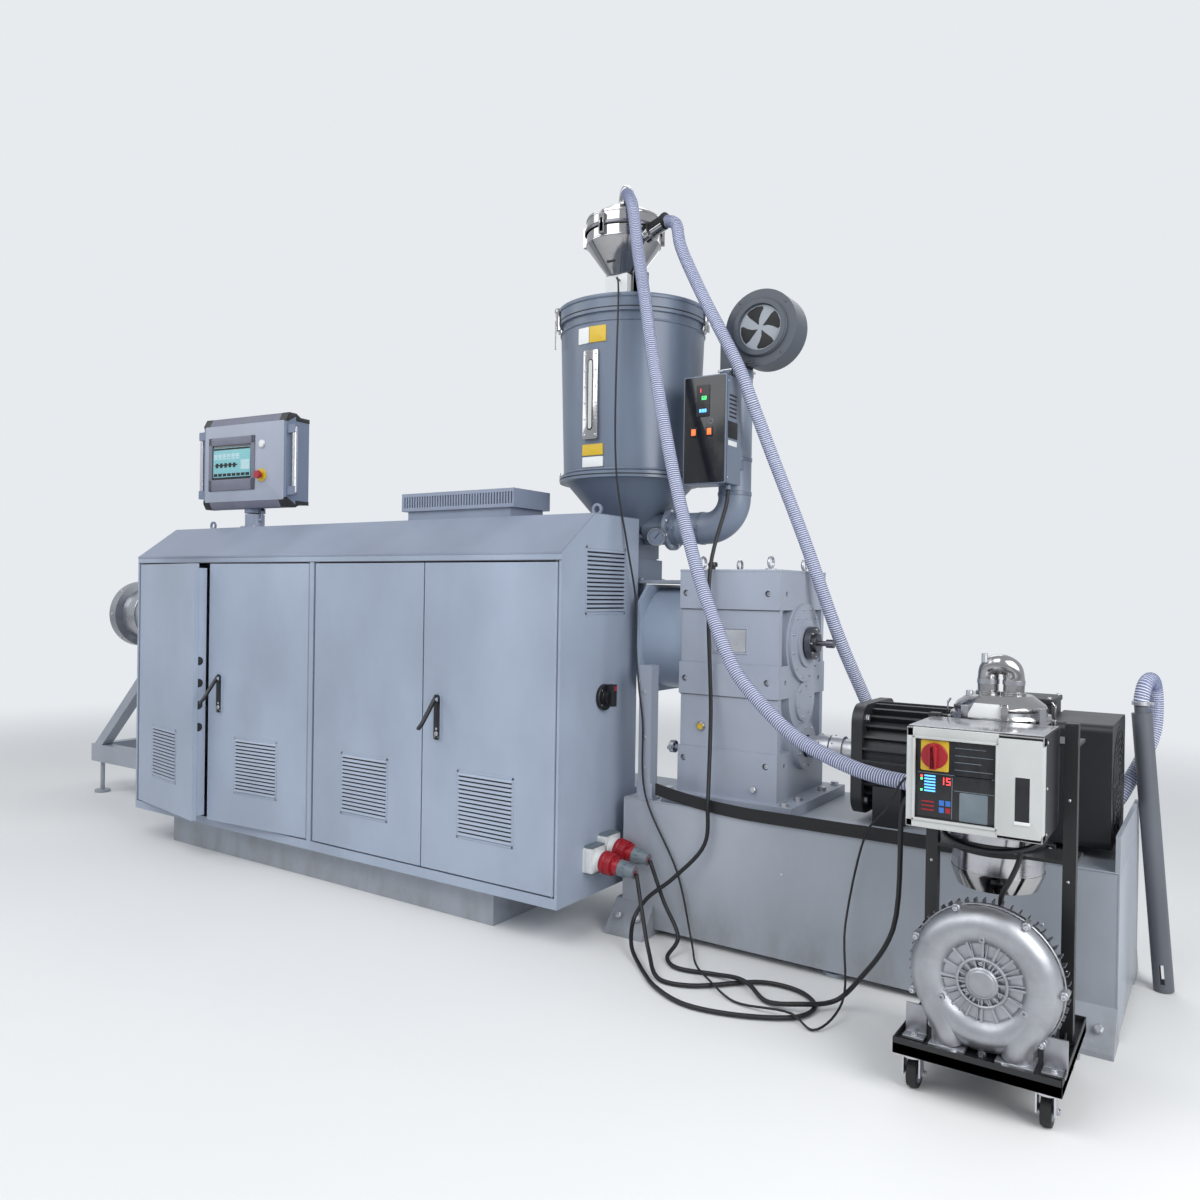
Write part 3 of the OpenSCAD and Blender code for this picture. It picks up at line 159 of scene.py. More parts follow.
class Bench:
    """One material's node tree, with short calls that add and join nodes."""

    def __init__(self, name: str) -> None:
        """Starts an empty tree with one shader.

        Args:
            name: Name of the material.
        """
        self.material = bpy.data.materials.new(name)
        self.material.use_nodes = True
        self.nodes = self.material.node_tree.nodes
        self.links = self.material.node_tree.links
        self.nodes.clear()
        self.output = self.nodes.new("ShaderNodeOutputMaterial")
        self.shader = self.nodes.new("ShaderNodeBsdfPrincipled")
        self.links.new(self.shader.outputs[0], self.output.inputs[0])

    def add(self, kind: str, **values: object) -> bpy.types.Node:
        """Adds a node and sets its inputs or properties by name.

        Args:
            kind: Node type, without its ShaderNode prefix.
            **values: Inputs by name with _ for a space, or node properties.

        Returns:
            The node.
        """
        node = self.nodes.new("ShaderNode" + kind)
        for key, value in values.items():
            label = key.replace("_", " ")
            if label in node.inputs:
                self.put(node.inputs[label], value)
            else:
                setattr(node, key, value)
        return node

    def put(self, socket: Socket, value: object) -> None:
        """Joins a socket to another, or sets its value.

        Args:
            socket: Input to fill.
            value: An output socket, a number or a colour.
        """
        if isinstance(value, Socket):
            self.links.new(value, socket)
        elif isinstance(value, tuple) and socket.type == "RGBA":
            socket.default_value = (*value[:3], 1.0)
        else:
            socket.default_value = value

    def place(self, scale: Point = (1.0, 1.0, 1.0)) -> Socket:
        """Coordinates in metres, stretched along X, Y and Z by the scale."""
        coordinates = self.add("TexCoord")
        return self.add("Mapping", Vector=coordinates.outputs["Object"], Scale=scale).outputs[0]

    def noise(self, scale: Point, detail: float = 4.0, rough: float = 0.55) -> Socket:
        """Noise from 0 to 1.

        Args:
            scale: Frequency along X, Y and Z, per metre.
            detail: Number of octaves.
            rough: Strength of the fine octaves.

        Returns:
            The value socket.
        """
        node = self.add("TexNoise", Vector=self.place(scale), Scale=1.0, Detail=detail,
                        Roughness=rough)
        return node.outputs["Fac"]

    def between(self, value: Socket, low: float, high: float, out: Pair = (0.0, 1.0)) -> Socket:
        """Maps a range onto another, clamped.

        Args:
            value: Socket to map.
            low: Value that gives the first output.
            high: Value that gives the second output.
            out: The two outputs.

        Returns:
            The mapped socket.
        """
        node = self.add("MapRange", interpolation_type="SMOOTHSTEP", Value=value)
        for label, number in zip(("From Min", "From Max", "To Min", "To Max"), (low, high, *out)):
            node.inputs[label].default_value = number
        return node.outputs[0]

    def mix(self, share: Socket | float, first: object, second: object) -> Socket:
        """Blends two colours.

        Args:
            share: Share of the second, 0 to 1.
            first: Colour or socket.
            second: Colour or socket.

        Returns:
            The colour socket.
        """
        node = self.add("Mix", data_type="RGBA")
        self.put(node.inputs[0], share)
        self.put(node.inputs[6], first)
        self.put(node.inputs[7], second)
        return node.outputs[2]

    def maths(self, operation: str, first: object, second: object) -> Socket:
        """One sum on two values.

        Args:
            operation: Name of the operation.
            first: Number or socket.
            second: Number or socket.

        Returns:
            The value socket.
        """
        node = self.add("Math", operation=operation)
        self.put(node.inputs[0], first)
        self.put(node.inputs[1], second)
        return node.outputs[0]

    def shade(self, colour: object, roughness: Socket) -> None:
        """Gives the shader its colour and its roughness."""
        self.put(self.shader.inputs["Base Color"], colour)
        self.put(self.shader.inputs["Roughness"], roughness)

    def relief(self, height: Socket, strength: float, depth: float, round_mm: float = 0.0) -> None:
        """Bump on the shader, over edges that are softened where asked.

        Args:
            height: Height socket.
            strength: Strength from 0 to 1.
            depth: Depth in metres.
            round_mm: Radius of the softened edges, in millimetres.
        """
        bump = self.add("Bump", Strength=strength, Distance=depth, Height=height)
        if round_mm:
            edge = self.add("Bevel", Radius=round_mm * MM, samples=4)
            self.put(bump.inputs["Normal"], edge.outputs[0])
        self.put(self.shader.inputs["Normal"], bump.outputs[0])

    def edges(self, round_mm: float) -> Socket:
        """Mask that is 1 along edges and 0 on open faces.

        Args:
            round_mm: Reach of the mask, in millimetres.

        Returns:
            The value socket.
        """
        soft = self.add("Bevel", Radius=round_mm * MM, samples=4)
        true = self.add("NewGeometry")
        dot = self.add("VectorMath", operation="DOT_PRODUCT")
        self.put(dot.inputs[0], soft.outputs[0])
        self.put(dot.inputs[1], true.outputs["Normal"])
        return self.between(dot.outputs["Value"], 0.985, 0.86)


@dataclass(frozen=True)
class Finish:
    """A named finish with one colour; each kind of finish lays it down its own way."""

    name: str
    colour: Colour
    roughness: float = 0.5

    def material(self) -> bpy.types.Material:
        """The finish's material, made once.

        Returns:
            The material, new or known.
        """
        label = f"{self.name}_finish"
        known = bpy.data.materials.get(label)
        if known:
            return known
        bench = Bench(label)
        bench.material.diffuse_color = (*self.colour, 1.0)
        self.lay(bench)
        return bench.material

    def lay(self, bench: Bench) -> None:
        """Builds the nodes in the tree of a bench."""
        raise NotImplementedError


@dataclass(frozen=True)
class Paint(Finish):
    """Sprayed paint: orange peel, slight clouding, rubbed edges and, where asked, a brownish
    darkening towards the floor.
    """

    roughness: float = 0.38
    clouding: float = 0.05
    peel: float = 0.12
    rub: float = 0.35
    # Share of a patchy brownish darkening towards the bottom, within 0.26 m of the floor.
    dust: float = 0.0
    round_mm: float = 1.2

    def lay(self, bench: Bench) -> None:
        """Builds the nodes.

        Args:
            bench: The tree to fill.
        """
        darker = tuple(c * (1 - 3 * self.clouding) for c in self.colour)
        lighter = tuple(min(1.0, c * (1 + self.clouding) + 0.004) for c in self.colour)
        clouds = bench.between(bench.noise((2.2, 2.2, 1.4), 5.0), 0.3, 0.72)
        tone = bench.mix(clouds, darker, lighter)
        specks = bench.between(bench.noise((38.0, 38.0, 30.0), 6.0, 0.7), 0.66, 0.8)
        tone = bench.mix(bench.maths("MULTIPLY", specks, 0.16), tone,
                         tuple(c * 0.72 for c in self.colour))
        wear = bench.edges(self.round_mm * 1.4)
        chips = bench.between(bench.noise((55.0, 55.0, 55.0), 5.0, 0.7), 0.42, 0.62)
        bare = tuple(0.55 * c + 0.22 for c in self.colour)
        tone = bench.mix(bench.maths("MULTIPLY", bench.maths("MULTIPLY", wear, chips), self.rub),
                         tone, bare)
        # Darker towards the bottom: a patchy brownish tone mixed in within 0.26 m of the floor.
        if self.dust:
            split = bench.add("SeparateXYZ", Vector=bench.place())
            low = bench.between(split.outputs[2], 0.26, 0.0)
            smear = bench.between(bench.noise((9.0, 9.0, 4.0), 6.0, 0.65), 0.3, 0.75)
            share = bench.maths("MULTIPLY", bench.maths("MULTIPLY", low, smear), self.dust)
            tone = bench.mix(share, tone, srgb(112, 108, 100))
        grain = bench.noise((420.0, 420.0, 420.0), 2.0)
        matt = bench.between(clouds, 0.0, 1.0, (self.roughness - 0.04, self.roughness + 0.05))
        bench.shade(tone, matt)
        bench.relief(grain, self.peel, 0.0006, self.round_mm)


@dataclass(frozen=True)
class Steel(Finish):
    """Bare, brushed or polished steel with a grain that runs one way and faint handling marks."""

    roughness: float = 0.3
    grain: Grain = Grain.EVEN
    marks: float = 0.12
    scratch: float = 0.1
    round_mm: float = 0.8

    def lay(self, bench: Bench) -> None:
        """Builds the nodes.

        Args:
            bench: The tree to fill.
        """
        streaks = bench.noise(tuple(4 * v for v in self.grain.value), 3.0, 0.6)
        stains = bench.between(bench.noise((7.0, 7.0, 7.0), 6.0, 0.6), 0.35, 0.75)
        dull = tuple(c * (1 - 2 * self.marks) for c in self.colour)
        tone = bench.mix(bench.maths("MULTIPLY", stains, 0.6), self.colour, dull)
        bench.shader.inputs["Metallic"].default_value = 1.0
        both = bench.maths("ADD", bench.maths("MULTIPLY", streaks, 0.5),
                           bench.maths("MULTIPLY", stains, 0.5))
        ends = (max(0.04, self.roughness - 0.08), self.roughness + 0.1)
        bench.shade(tone, bench.between(both, 0.2, 0.8, ends))
        bench.relief(streaks, self.scratch, 0.0003, self.round_mm)


@dataclass(frozen=True)
class Casting(Finish):
    """Sand or die cast metal: pebbled skin, darker hollows, dull sheen."""

    roughness: float = 0.46
    metal: float = 0.85
    pebbles: float = 0.35
    round_mm: float = 2.0

    def lay(self, bench: Bench) -> None:
        """Builds the nodes.

        Args:
            bench: The tree to fill.
        """
        pebble = bench.noise((330.0, 330.0, 330.0), 3.0, 0.6)
        clouds = bench.between(bench.noise((14.0, 14.0, 14.0), 5.0), 0.3, 0.75)
        tone = bench.mix(clouds, self.colour, tuple(c * 0.78 for c in self.colour))
        bench.shader.inputs["Metallic"].default_value = self.metal
        matt = bench.between(pebble, 0.2, 0.8, (self.roughness - 0.07, self.roughness + 0.1))
        bench.shade(tone, matt)
        bench.relief(pebble, self.pebbles, 0.0005, self.round_mm)


@dataclass(frozen=True)
class Moulded(Finish):
    """Moulded plastic or rubber with a fine stipple and a little bloom."""

    roughness: float = 0.5
    stipple: float = 0.2
    bloom: float = 0.08
    round_mm: float = 0.8

    def lay(self, bench: Bench) -> None:
        """Builds the nodes.

        Args:
            bench: The tree to fill.
        """
        dots = bench.noise((900.0, 900.0, 900.0), 2.0, 0.5)
        haze = bench.between(bench.noise((16.0, 16.0, 16.0), 6.0, 0.6), 0.35, 0.8)
        pale = tuple(min(1.0, c * (1 + self.bloom) + 0.35 * self.bloom) for c in self.colour)
        tone = bench.mix(haze, self.colour, pale)
        matt = bench.between(haze, 0.0, 1.0, (self.roughness - 0.06, self.roughness + 0.08))
        bench.shade(tone, matt)
        bench.relief(dots, self.stipple, 0.0002, self.round_mm)


@dataclass(frozen=True)
class Glass(Finish):
    """Dark glass or gloss panel with faint smears."""

    roughness: float = 0.06

    def lay(self, bench: Bench) -> None:
        """Builds the nodes.

        Args:
            bench: The tree to fill.
        """
        smears = bench.between(bench.noise((12.0, 12.0, 5.0), 6.0, 0.65), 0.45, 0.8)
        pale = tuple(min(1.0, c + 0.02) for c in self.colour)
        tone = bench.mix(smears, self.colour, pale)
        matt = bench.between(smears, 0.0, 1.0, (self.roughness, self.roughness + 0.12))
        bench.shade(tone, matt)


@dataclass(frozen=True)
class Lamp(Finish):
    """A lit mark or digit behind a clear face, a little uneven."""

    strength: float = 2.0

    def lay(self, bench: Bench) -> None:
        """Builds the nodes.

        Args:
            bench: The tree to fill.
        """
        uneven = bench.between(bench.noise((300.0, 300.0, 300.0), 2.0), 0.2, 0.8)
        tone = bench.mix(uneven, tuple(c * 0.75 for c in self.colour), self.colour)
        bench.put(bench.shader.inputs["Base Color"], tone)
        bench.put(bench.shader.inputs["Emission Color"], tone)
        bench.shader.inputs["Emission Strength"].default_value = self.strength


@dataclass(frozen=True)
class HoseWall(Finish):
    """Clear ribbed hose: bluish translucent wall, pale spiral of reinforcement, soft glints."""

    roughness: float = 0.12
    thread: float = 0.85

    def lay(self, bench: Bench) -> None:
        """Builds the nodes.

        Args:
            bench: The tree to fill.
        """
        uv = bench.add("UVMap", uv_map="along")
        split = bench.add("SeparateXYZ", Vector=uv.outputs[0])
        turns = bench.maths("MULTIPLY", split.outputs[0], 1 / HOSE_PITCH)
        phase = bench.maths("ADD", turns, split.outputs[1])
        wave = bench.maths("SINE", bench.maths("MULTIPLY", phase, 2 * math.pi), 0.0)
        thread = bench.between(wave, 0.0, 0.95, (0.0, self.thread))
        haze = bench.between(bench.noise((30.0, 30.0, 30.0), 4.0), 0.3, 0.75)
        wall = bench.mix(haze, self.colour, tuple(min(1.0, c * 1.15) for c in self.colour))
        tone = bench.mix(thread, wall, srgb(238, 241, 250))
        clear = bench.between(thread, 0.0, 1.0, (0.35, 0.05))
        bench.put(bench.shader.inputs["Transmission Weight"], clear)
        bench.shader.inputs["IOR"].default_value = 1.3
        matt = bench.between(thread, 0.0, 1.0, (self.roughness, self.roughness + 0.22))
        bench.shade(tone, matt)
        bench.relief(wave, 0.5, 0.0012)


@dataclass(frozen=True)
class Ground(Finish):
    """Pale studio floor that keeps the machine's shadow and fades into the backdrop."""

    fade: Pair = (3.2, 7.5)

    def lay(self, bench: Bench) -> None:
        """Builds the nodes.

        Args:
            bench: The tree to fill.
        """
        shade = bench.between(bench.noise((0.9, 0.9, 0.9), 4.0), 0.3, 0.7)
        tone = bench.mix(shade, tuple(c * 0.985 for c in self.colour), self.colour)
        matt = bench.between(shade, 0.0, 1.0, (self.roughness - 0.03, self.roughness))
        bench.shade(tone, matt)
        reach = bench.add("VectorMath", operation="LENGTH")
        bench.put(reach.inputs[0], bench.place())
        share = bench.between(reach.outputs["Value"], *self.fade)
        seen = bench.add("LightPath").outputs["Is Camera Ray"]
        glow = bench.add("Emission", Color=BACKDROP)
        blend = bench.add("MixShader")
        bench.put(blend.inputs[0], bench.maths("MULTIPLY", share, seen))
        bench.put(blend.inputs[1], bench.shader.outputs[0])
        bench.put(blend.inputs[2], glow.outputs[0])
        bench.put(bench.output.inputs[0], blend.outputs[0])


class Paints:
    """The finishes of this machine, each under the name that its pieces use."""

    CABINET = Paint("cabinet_white", srgb(160, 171, 189), 0.36, rub=0.25)
    ROOF = Paint("roof_grey_blue", srgb(140, 149, 168), 0.36, rub=0.3)
    # dust=0.5 gives this paint its patchy darkening towards the bottom.
    BASE = Paint("machine_white", srgb(164, 170, 180), 0.4, dust=0.5, rub=0.4)
    GEARBOX = Paint("gearbox_grey", srgb(160, 167, 181), 0.36, peel=0.18, rub=0.35, round_mm=2.0)
    DRUM = Paint("drum_blue_white", srgb(162, 176, 196), 0.34, rub=0.2)
    PANEL = Paint("panel_grey", srgb(112, 124, 147), 0.38, rub=0.3)
    BOX = Paint("box_grey", srgb(196, 198, 196), 0.42, rub=0.3)
    DRYER = Paint("dryer_paint", srgb(106, 118, 136), 0.34, rub=0.35)
    BLACK = Paint("black_paint", srgb(26, 27, 30), 0.42, rub=0.4, clouding=0.08)
    MOTOR = Paint("motor_black", srgb(30, 32, 36), 0.42, rub=0.35, clouding=0.08)
    BLACK_PLASTIC = Moulded("black_plastic", srgb(17, 18, 23), 0.44, bloom=0.02)
    GREY_PLASTIC = Moulded("grey_plastic", srgb(104, 116, 124), 0.5)
    WHITE_PLASTIC = Moulded("white_plastic", srgb(222, 224, 224), 0.42, bloom=0.02)
    RED = Moulded("signal_red", srgb(156, 20, 34), 0.36, bloom=0.03)
    BLUE_KEY = Moulded("blue_key", srgb(52, 110, 190), 0.4, bloom=0.03)
    YELLOW = Moulded("signal_yellow", srgb(206, 172, 40), 0.42, bloom=0.03)
    RUBBER = Moulded("black_rubber", srgb(16, 16, 20), 0.66, stipple=0.35, bloom=0.02)
    CORD = Moulded("cable_black", srgb(18, 18, 23), 0.5, stipple=0.25, bloom=0.02)
    STEEL = Steel("bare_steel", (0.56, 0.57, 0.6), 0.34)
    ZINC = Steel("zinc_steel", (0.62, 0.63, 0.66), 0.4, marks=0.18)
    DARK_STEEL = Steel("dark_steel", (0.16, 0.16, 0.18), 0.38)
    # Painted reflection: this stainless colour is set darker than the metal's own, standing in for
    # dark surroundings seen in it.
    CHROME = Steel("stainless", (0.44, 0.435, 0.44), 0.13, Grain.ALONG_Z, 0.16, 0.05)
    BRUSHED = Steel("brushed_stainless", (0.50, 0.505, 0.53), 0.26, Grain.AROUND_Z, 0.1, 0.16)
    DUCT = Paint("duct_grey", srgb(124, 135, 152), 0.4, rub=0.2)
    BLOWER = Paint("blower_grey", srgb(72, 78, 88), 0.4, rub=0.3)
    PALE_ARM = Paint("blower_arm", srgb(150, 156, 164), 0.42, rub=0.3)
    ALUMINIUM = Casting("cast_aluminium", (0.42, 0.43, 0.46), 0.4)
    BARREL = Steel("barrel_steel", (0.42, 0.43, 0.46), 0.34, Grain.ALONG_X)
    LANCE = Paint("lance_grey", srgb(96, 100, 108), 0.42, rub=0.4)
    SCREEN = Glass("screen_glass", srgb(18, 24, 34), 0.08)
    LIT_SCREEN = Lamp("lit_screen", srgb(120, 176, 182), 0.3, 0.3)
    SCREEN_FIELD = Lamp("screen_field", srgb(168, 196, 202), 0.3, 0.3)
    DARK_GLOSS = Glass("dark_gloss", srgb(22, 24, 28), 0.14)
    FACE = Paint("panel_face", srgb(154, 161, 176), 0.4, rub=0.2)
    TRIM = Moulded("trim_grey", srgb(104, 106, 122), 0.5)
    HOSE = HoseWall("clear_hose", srgb(134, 142, 176))
    GLOW_RED = Lamp("glow_red", (1.0, 0.05, 0.05), 0.3, 3.0)
    GLOW_GREEN = Lamp("glow_green", (0.08, 0.9, 0.25), 0.3, 2.5)
    GLOW_BLUE = Lamp("glow_blue", (0.1, 0.4, 1.0), 0.3, 2.0)
    GLOW_ORANGE = Lamp("glow_orange", (1.0, 0.14, 0.03), 0.3, 1.6)
    FLOOR = Ground("studio_floor", (0.84, 0.84, 0.83), 0.7)


# Making meshes


class Shape:
    """One mesh put together from blocks, turned forms, tubes and plates, sized in millimetres."""

    def __init__(self, name: str, place: Matrix | None = None) -> None:
        """Starts an empty mesh.

        Args:
            name: Name of the piece.
            place: Frame that its sizes are in; the machine's own frame if left out.
        """
        self.name = name
        self.place = place or Matrix.Identity(4)
        self.mesh = bmesh.new()
        self.finishes: list[Finish] = []
        self.current = 0

    def of(self, finish: Finish) -> "Shape":
        """What follows takes this finish.

        Args:
            finish: The finish.

        Returns:
            The shape itself.
        """
        if finish not in self.finishes:
            self.finishes.append(finish)
        self.current = self.finishes.index(finish)
        return self

    def join(self, part: bmesh.types.BMesh, at: Matrix | None = None) -> None:
        """Adds a finished part.

        Args:
            part: The part, which is freed.
            at: Its place in the shape's frame.
        """
        matrix = self.place @ (at or Matrix.Identity(4))
        bmesh.ops.transform(part, matrix=matrix, verts=part.verts)
        if matrix.determinant() < 0:
            bmesh.ops.reverse_faces(part, faces=part.faces)
        for face in part.faces:
            face.material_index = self.current
        spare = bpy.data.meshes.new("spare")
        part.to_mesh(spare)
        part.free()
        self.mesh.from_mesh(spare)
        bpy.data.meshes.remove(spare)

    def block(
        self, x: Pair, y: Pair, z: Pair, soft: float = 0.0, at: Matrix | None = None,
        steps: int = 2
    ) -> None:
        """A block with softened edges.

        Args:
            x: Its reach along X.
            y: Its reach along Y.
            z: Its reach along Z.
            soft: Width of the softened edges.
            at: Its place in the shape's frame.
            steps: Faces across each softened edge.
        """
        part = bmesh.new()
        bmesh.ops.create_cube(part, size=1.0)
        size = Matrix.Diagonal((x[1] - x[0], y[1] - y[0], z[1] - z[0], 1.0))
        middle = Matrix.Translation(((x[0] + x[1]) / 2, (y[0] + y[1]) / 2, (z[0] + z[1]) / 2))
        bmesh.ops.transform(part, matrix=middle @ size, verts=part.verts)
        if soft:
            bmesh.ops.bevel(part, geom=part.edges, offset=soft, segments=steps, profile=0.6,
                            affect="EDGES")
        self.join(part, at)

    def turned(self, outline: Sequence[Pair], at: Matrix, sides: int = 40) -> None:
        """A form turned about the Z of a frame.

        Args:
            outline: Radius and height of each corner, from one end to the other.
            at: The frame.
            sides: Faces round the form.
        """
        part = bmesh.new()
        rings = []
        for radius, height in outline:
            if radius < TINY:
                rings.append([part.verts.new((0.0, 0.0, height))])
                continue
            rings.append([
                part.verts.new((radius * math.cos(a), radius * math.sin(a), height))
                for a in (2 * math.pi * k / sides for k in range(sides))
            ])
        for low, high in zip(rings, rings[1:]):
            for k in range(sides):
                patch = [low[k % len(low)], low[(k + 1) % len(low)], high[(k + 1) % len(high)],
                         high[k % len(high)]]
                patch = list(dict.fromkeys(patch))
                if len(patch) > 2:
                    part.faces.new(patch)
        for ring, turn in ((rings[0], -1), (rings[-1], 1)):
            if len(ring) > 1:
                part.faces.new(ring[::turn])
        bmesh.ops.recalc_face_normals(part, faces=part.faces)
        self.join(part, at)

    def drum(
        self, at: Point, axis: Axis | Point, length: float, radius: float, soft: float = 0.0,
        sides: int = 32
    ) -> None:
        """A round bar or disc.

        Args:
            at: Middle of its first end.
            axis: Its direction.
            length: Its length.
            radius: Its radius.
            soft: Width of the softened rims.
            sides: Faces round it.
        """
        outline = [(radius - soft, 0.0), (radius, soft), (radius, length - soft),
                   (radius - soft, length)]
        if not soft:
            outline = [(radius, 0.0), (radius, length)]
        self.turned(outline, placed(at, axis), sides)

    def collar(
        self, at: Matrix, outer: float, inner: float, length: float, soft: float = 0.5,
        sides: int = 40
    ) -> None:
        """A ring with a round hole.

        Args:
            at: Frame whose Z is its axis.
            outer: Outer radius.
            inner: Radius of the hole.
            length: Length along the axis.
            soft: Width of the softened rims.
            sides: Faces round it.
        """
        loop = [(inner, 0.0), (outer - soft, 0.0), (outer, soft), (outer, length - soft),
                (outer - soft, length), (inner, length)]
        self.swept(loop, at, sides)

    def swept(self, loop: Sequence[Pair], at: Matrix, sides: int, angle: float = FULL_TURN) -> None:
        """A closed outline of radius and height, turned about Z by an angle from X.

        Args:
            loop: Corners of the closed outline.
            at: The frame.
            sides: Faces along the turn.
            angle: The turn, in degrees.
        """
        part = bmesh.new()
        whole = angle >= FULL_TURN
        turns = [math.radians(angle) * k / sides for k in range(sides if whole else sides + 1)]
        rings = [
            [part.verts.new((r * math.cos(a), r * math.sin(a), h)) for r, h in loop] for a in turns
        ]
        pairs = list(zip(rings, rings[1:])) + ([(rings[-1], rings[0])] if whole else [])
        for one, two in pairs:
            for k in range(len(loop)):
                n = (k + 1) % len(loop)
                part.faces.new((one[k], one[n], two[n], two[k]))
        if not whole:
            part.faces.new(rings[0])
            part.faces.new(rings[-1][::-1])
        bmesh.ops.recalc_face_normals(part, faces=part.faces)
        self.join(part, at)

    def slab(self, outline: Sequence[Pair], at: Matrix, thick: float, soft: float = 0.0) -> None:
        """A plate of an outline in a frame's X and Y, thick along its Z.

        Args:
            outline: Corners of the plate.
            at: The frame.
            thick: Thickness.
            soft: Width of the softened edges.
        """
        part = bmesh.new()
        low = [part.verts.new((u, v, 0.0)) for u, v in outline]
        high = [part.verts.new((u, v, thick)) for u, v in outline]
        part.faces.new(low[::-1])
        part.faces.new(high)
        for k in range(len(low)):
            n = (k + 1) % len(low)
            part.faces.new((low[k], low[n], high[n], high[k]))
        bmesh.ops.recalc_face_normals(part, faces=part.faces)
        if soft:
            rim = [e for e in part.edges if abs(e.verts[0].co.z - e.verts[1].co.z) < TINY]
            bmesh.ops.bevel(part, geom=rim, offset=soft, segments=2, profile=0.6, affect="EDGES")
        self.join(part, at)

    def pipe(
        self, points: Sequence[Point], radius: float, sides: int = 12, smooth: int = 0,
        at: Matrix | None = None
    ) -> None:
        """A round tube along points.

        Args:
            points: The points it follows.
            radius: Its radius.
            sides: Faces round it.
            smooth: Extra points put on a smooth curve between each pair.
            at: Its place in the shape's frame.
        """
        line = smooth_line(points, smooth) if smooth else [Vector(p) for p in points]
        part = bmesh.new()
        rings = []
        for middle, across, over in carried_frames(line):
            rings.append([
                part.verts.new(middle + radius * (math.cos(a) * across + math.sin(a) * over))
                for a in (2 * math.pi * k / sides for k in range(sides))
            ])
        for one, two in zip(rings, rings[1:]):
            for k in range(sides):
                n = (k + 1) % sides
                part.faces.new((one[k], one[n], two[n], two[k]))
        part.faces.new(rings[0][::-1])
        part.faces.new(rings[-1])
        bmesh.ops.recalc_face_normals(part, faces=part.faces)
        self.join(part, at)

    def slats(self, x: Pair, y: Pair, low: float, tall: float, count: int) -> None:
        """Dark strips of painted shade for the gaps between a louvre's slats.

        Args:
            x: Their reach along X.
            y: Their reach along Y.
            low: Height of the lowest gap.
            tall: Height of the whole louvre.
            count: Number of gaps.
        """
        pitch = tall / count
        # Painted shade: each gap is a flat black strip laid on the face, where the slit would fall
        # into shade.
        for k in range(count):
            z = low + k * pitch
            self.block(x, y, (z - pitch * GAP_UNDER, z + pitch * GAP_OVER))

    def border(
        self, u: Pair, v: Pair, widths: Sequence[float], add: Callable[[Pair, Pair], object]
    ) -> None:
        """Four strips inside a rectangle: first end, second end, foot and head.

        Args:
            u: Reach of the rectangle across.
            v: Reach of the rectangle up.
            widths: Width of each strip.
            add: What makes a strip from its two reaches.
        """
        first, second, foot, head = widths
        add((u[0], u[0] + first), v)
        add((u[1] - second, u[1]), v)
        add(u, (v[0], v[0] + foot))
        add(u, (v[1] - head, v[1]))

    def bolt(self, at: Point, axis: Axis | Point, size: float = 8.0, washer: bool = True) -> None:
        """A hexagon head with its washer, standing on a face.

        Args:
            at: Point on the face.
            axis: Direction out of the face.
            size: Thread size.
            washer: Whether it has a washer.
        """
        frame = placed(at, axis, 11.0 * (at[0] + at[2]) % 60)
        if washer:
            self.turned([(size * 1.05, 0.0), (size * 1.05, size * 0.16), (size * 0.6, size * 0.18)],
                        frame, 20)
        base = size * 0.16 if washer else 0.0
        head = [(size * 0.95, base), (size * 0.95, base + size * 0.52),
                (size * 0.78, base + size * 0.64)]
        self.turned(head, frame, 6)

    def cap_screw(self, at: Point, axis: Axis | Point, size: float = 8.0) -> None:
        """A socket head screw standing on a face.

        Args:
            at: Point on the face.
            axis: Direction out of the face.
            size: Thread size.
        """
        frame = placed(at, axis)
        self.turned(
            [(size * 0.75, 0.0), (size * 0.75, size * 0.82), (size * 0.66, size),
             (size * 0.42, size), (size * 0.4, size * 0.45), (0.0, size * 0.4)], frame, 18,
        )

    def pan_screw(self, at: Point, axis: Axis | Point, size: float = 5.0) -> None:
        """A low domed screw head.

        Args:
            at: Point on the face.
            axis: Direction out of the face.
            size: Thread size.
        """
        outline = [(size * 0.95, 0.0), (size * 0.9, size * 0.25), (size * 0.6, size * 0.48),
                   (size * 0.26, size * 0.55), (size * 0.2, size * 0.3), (0.0, size * 0.28)]
        self.turned(outline, placed(at, axis), 16)

    def done(self, body: str, slot: str, crease: float = 34.0) -> None:
        """Makes the object, dresses it and lets it ride on its body.

        Args:
            body: Body that the piece moves with.
            slot: Material slot of the record that its finish belongs to; it is not used.
            crease: Angle over which an edge stays sharp, in degrees.
        """
        bmesh.ops.scale(self.mesh, vec=(MM, MM, MM), verts=self.mesh.verts)
        limit = math.radians(crease)
        for face in self.mesh.faces:
            face.smooth = True
        for edge in self.mesh.edges:
            edge.smooth = len(edge.link_faces) == 2 and edge.calc_face_angle(4.0) < limit
        data = bpy.data.meshes.new(self.name)
        self.mesh.to_mesh(data)
        self.mesh.free()
        for finish in self.finishes:
            data.materials.append(finish.material())
        piece = bpy.data.objects.new(self.name, data)
        bpy.context.collection.objects.link(piece)
        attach(piece, body)
        log.info("%s: %d faces on %s", self.name, len(data.polygons), body)


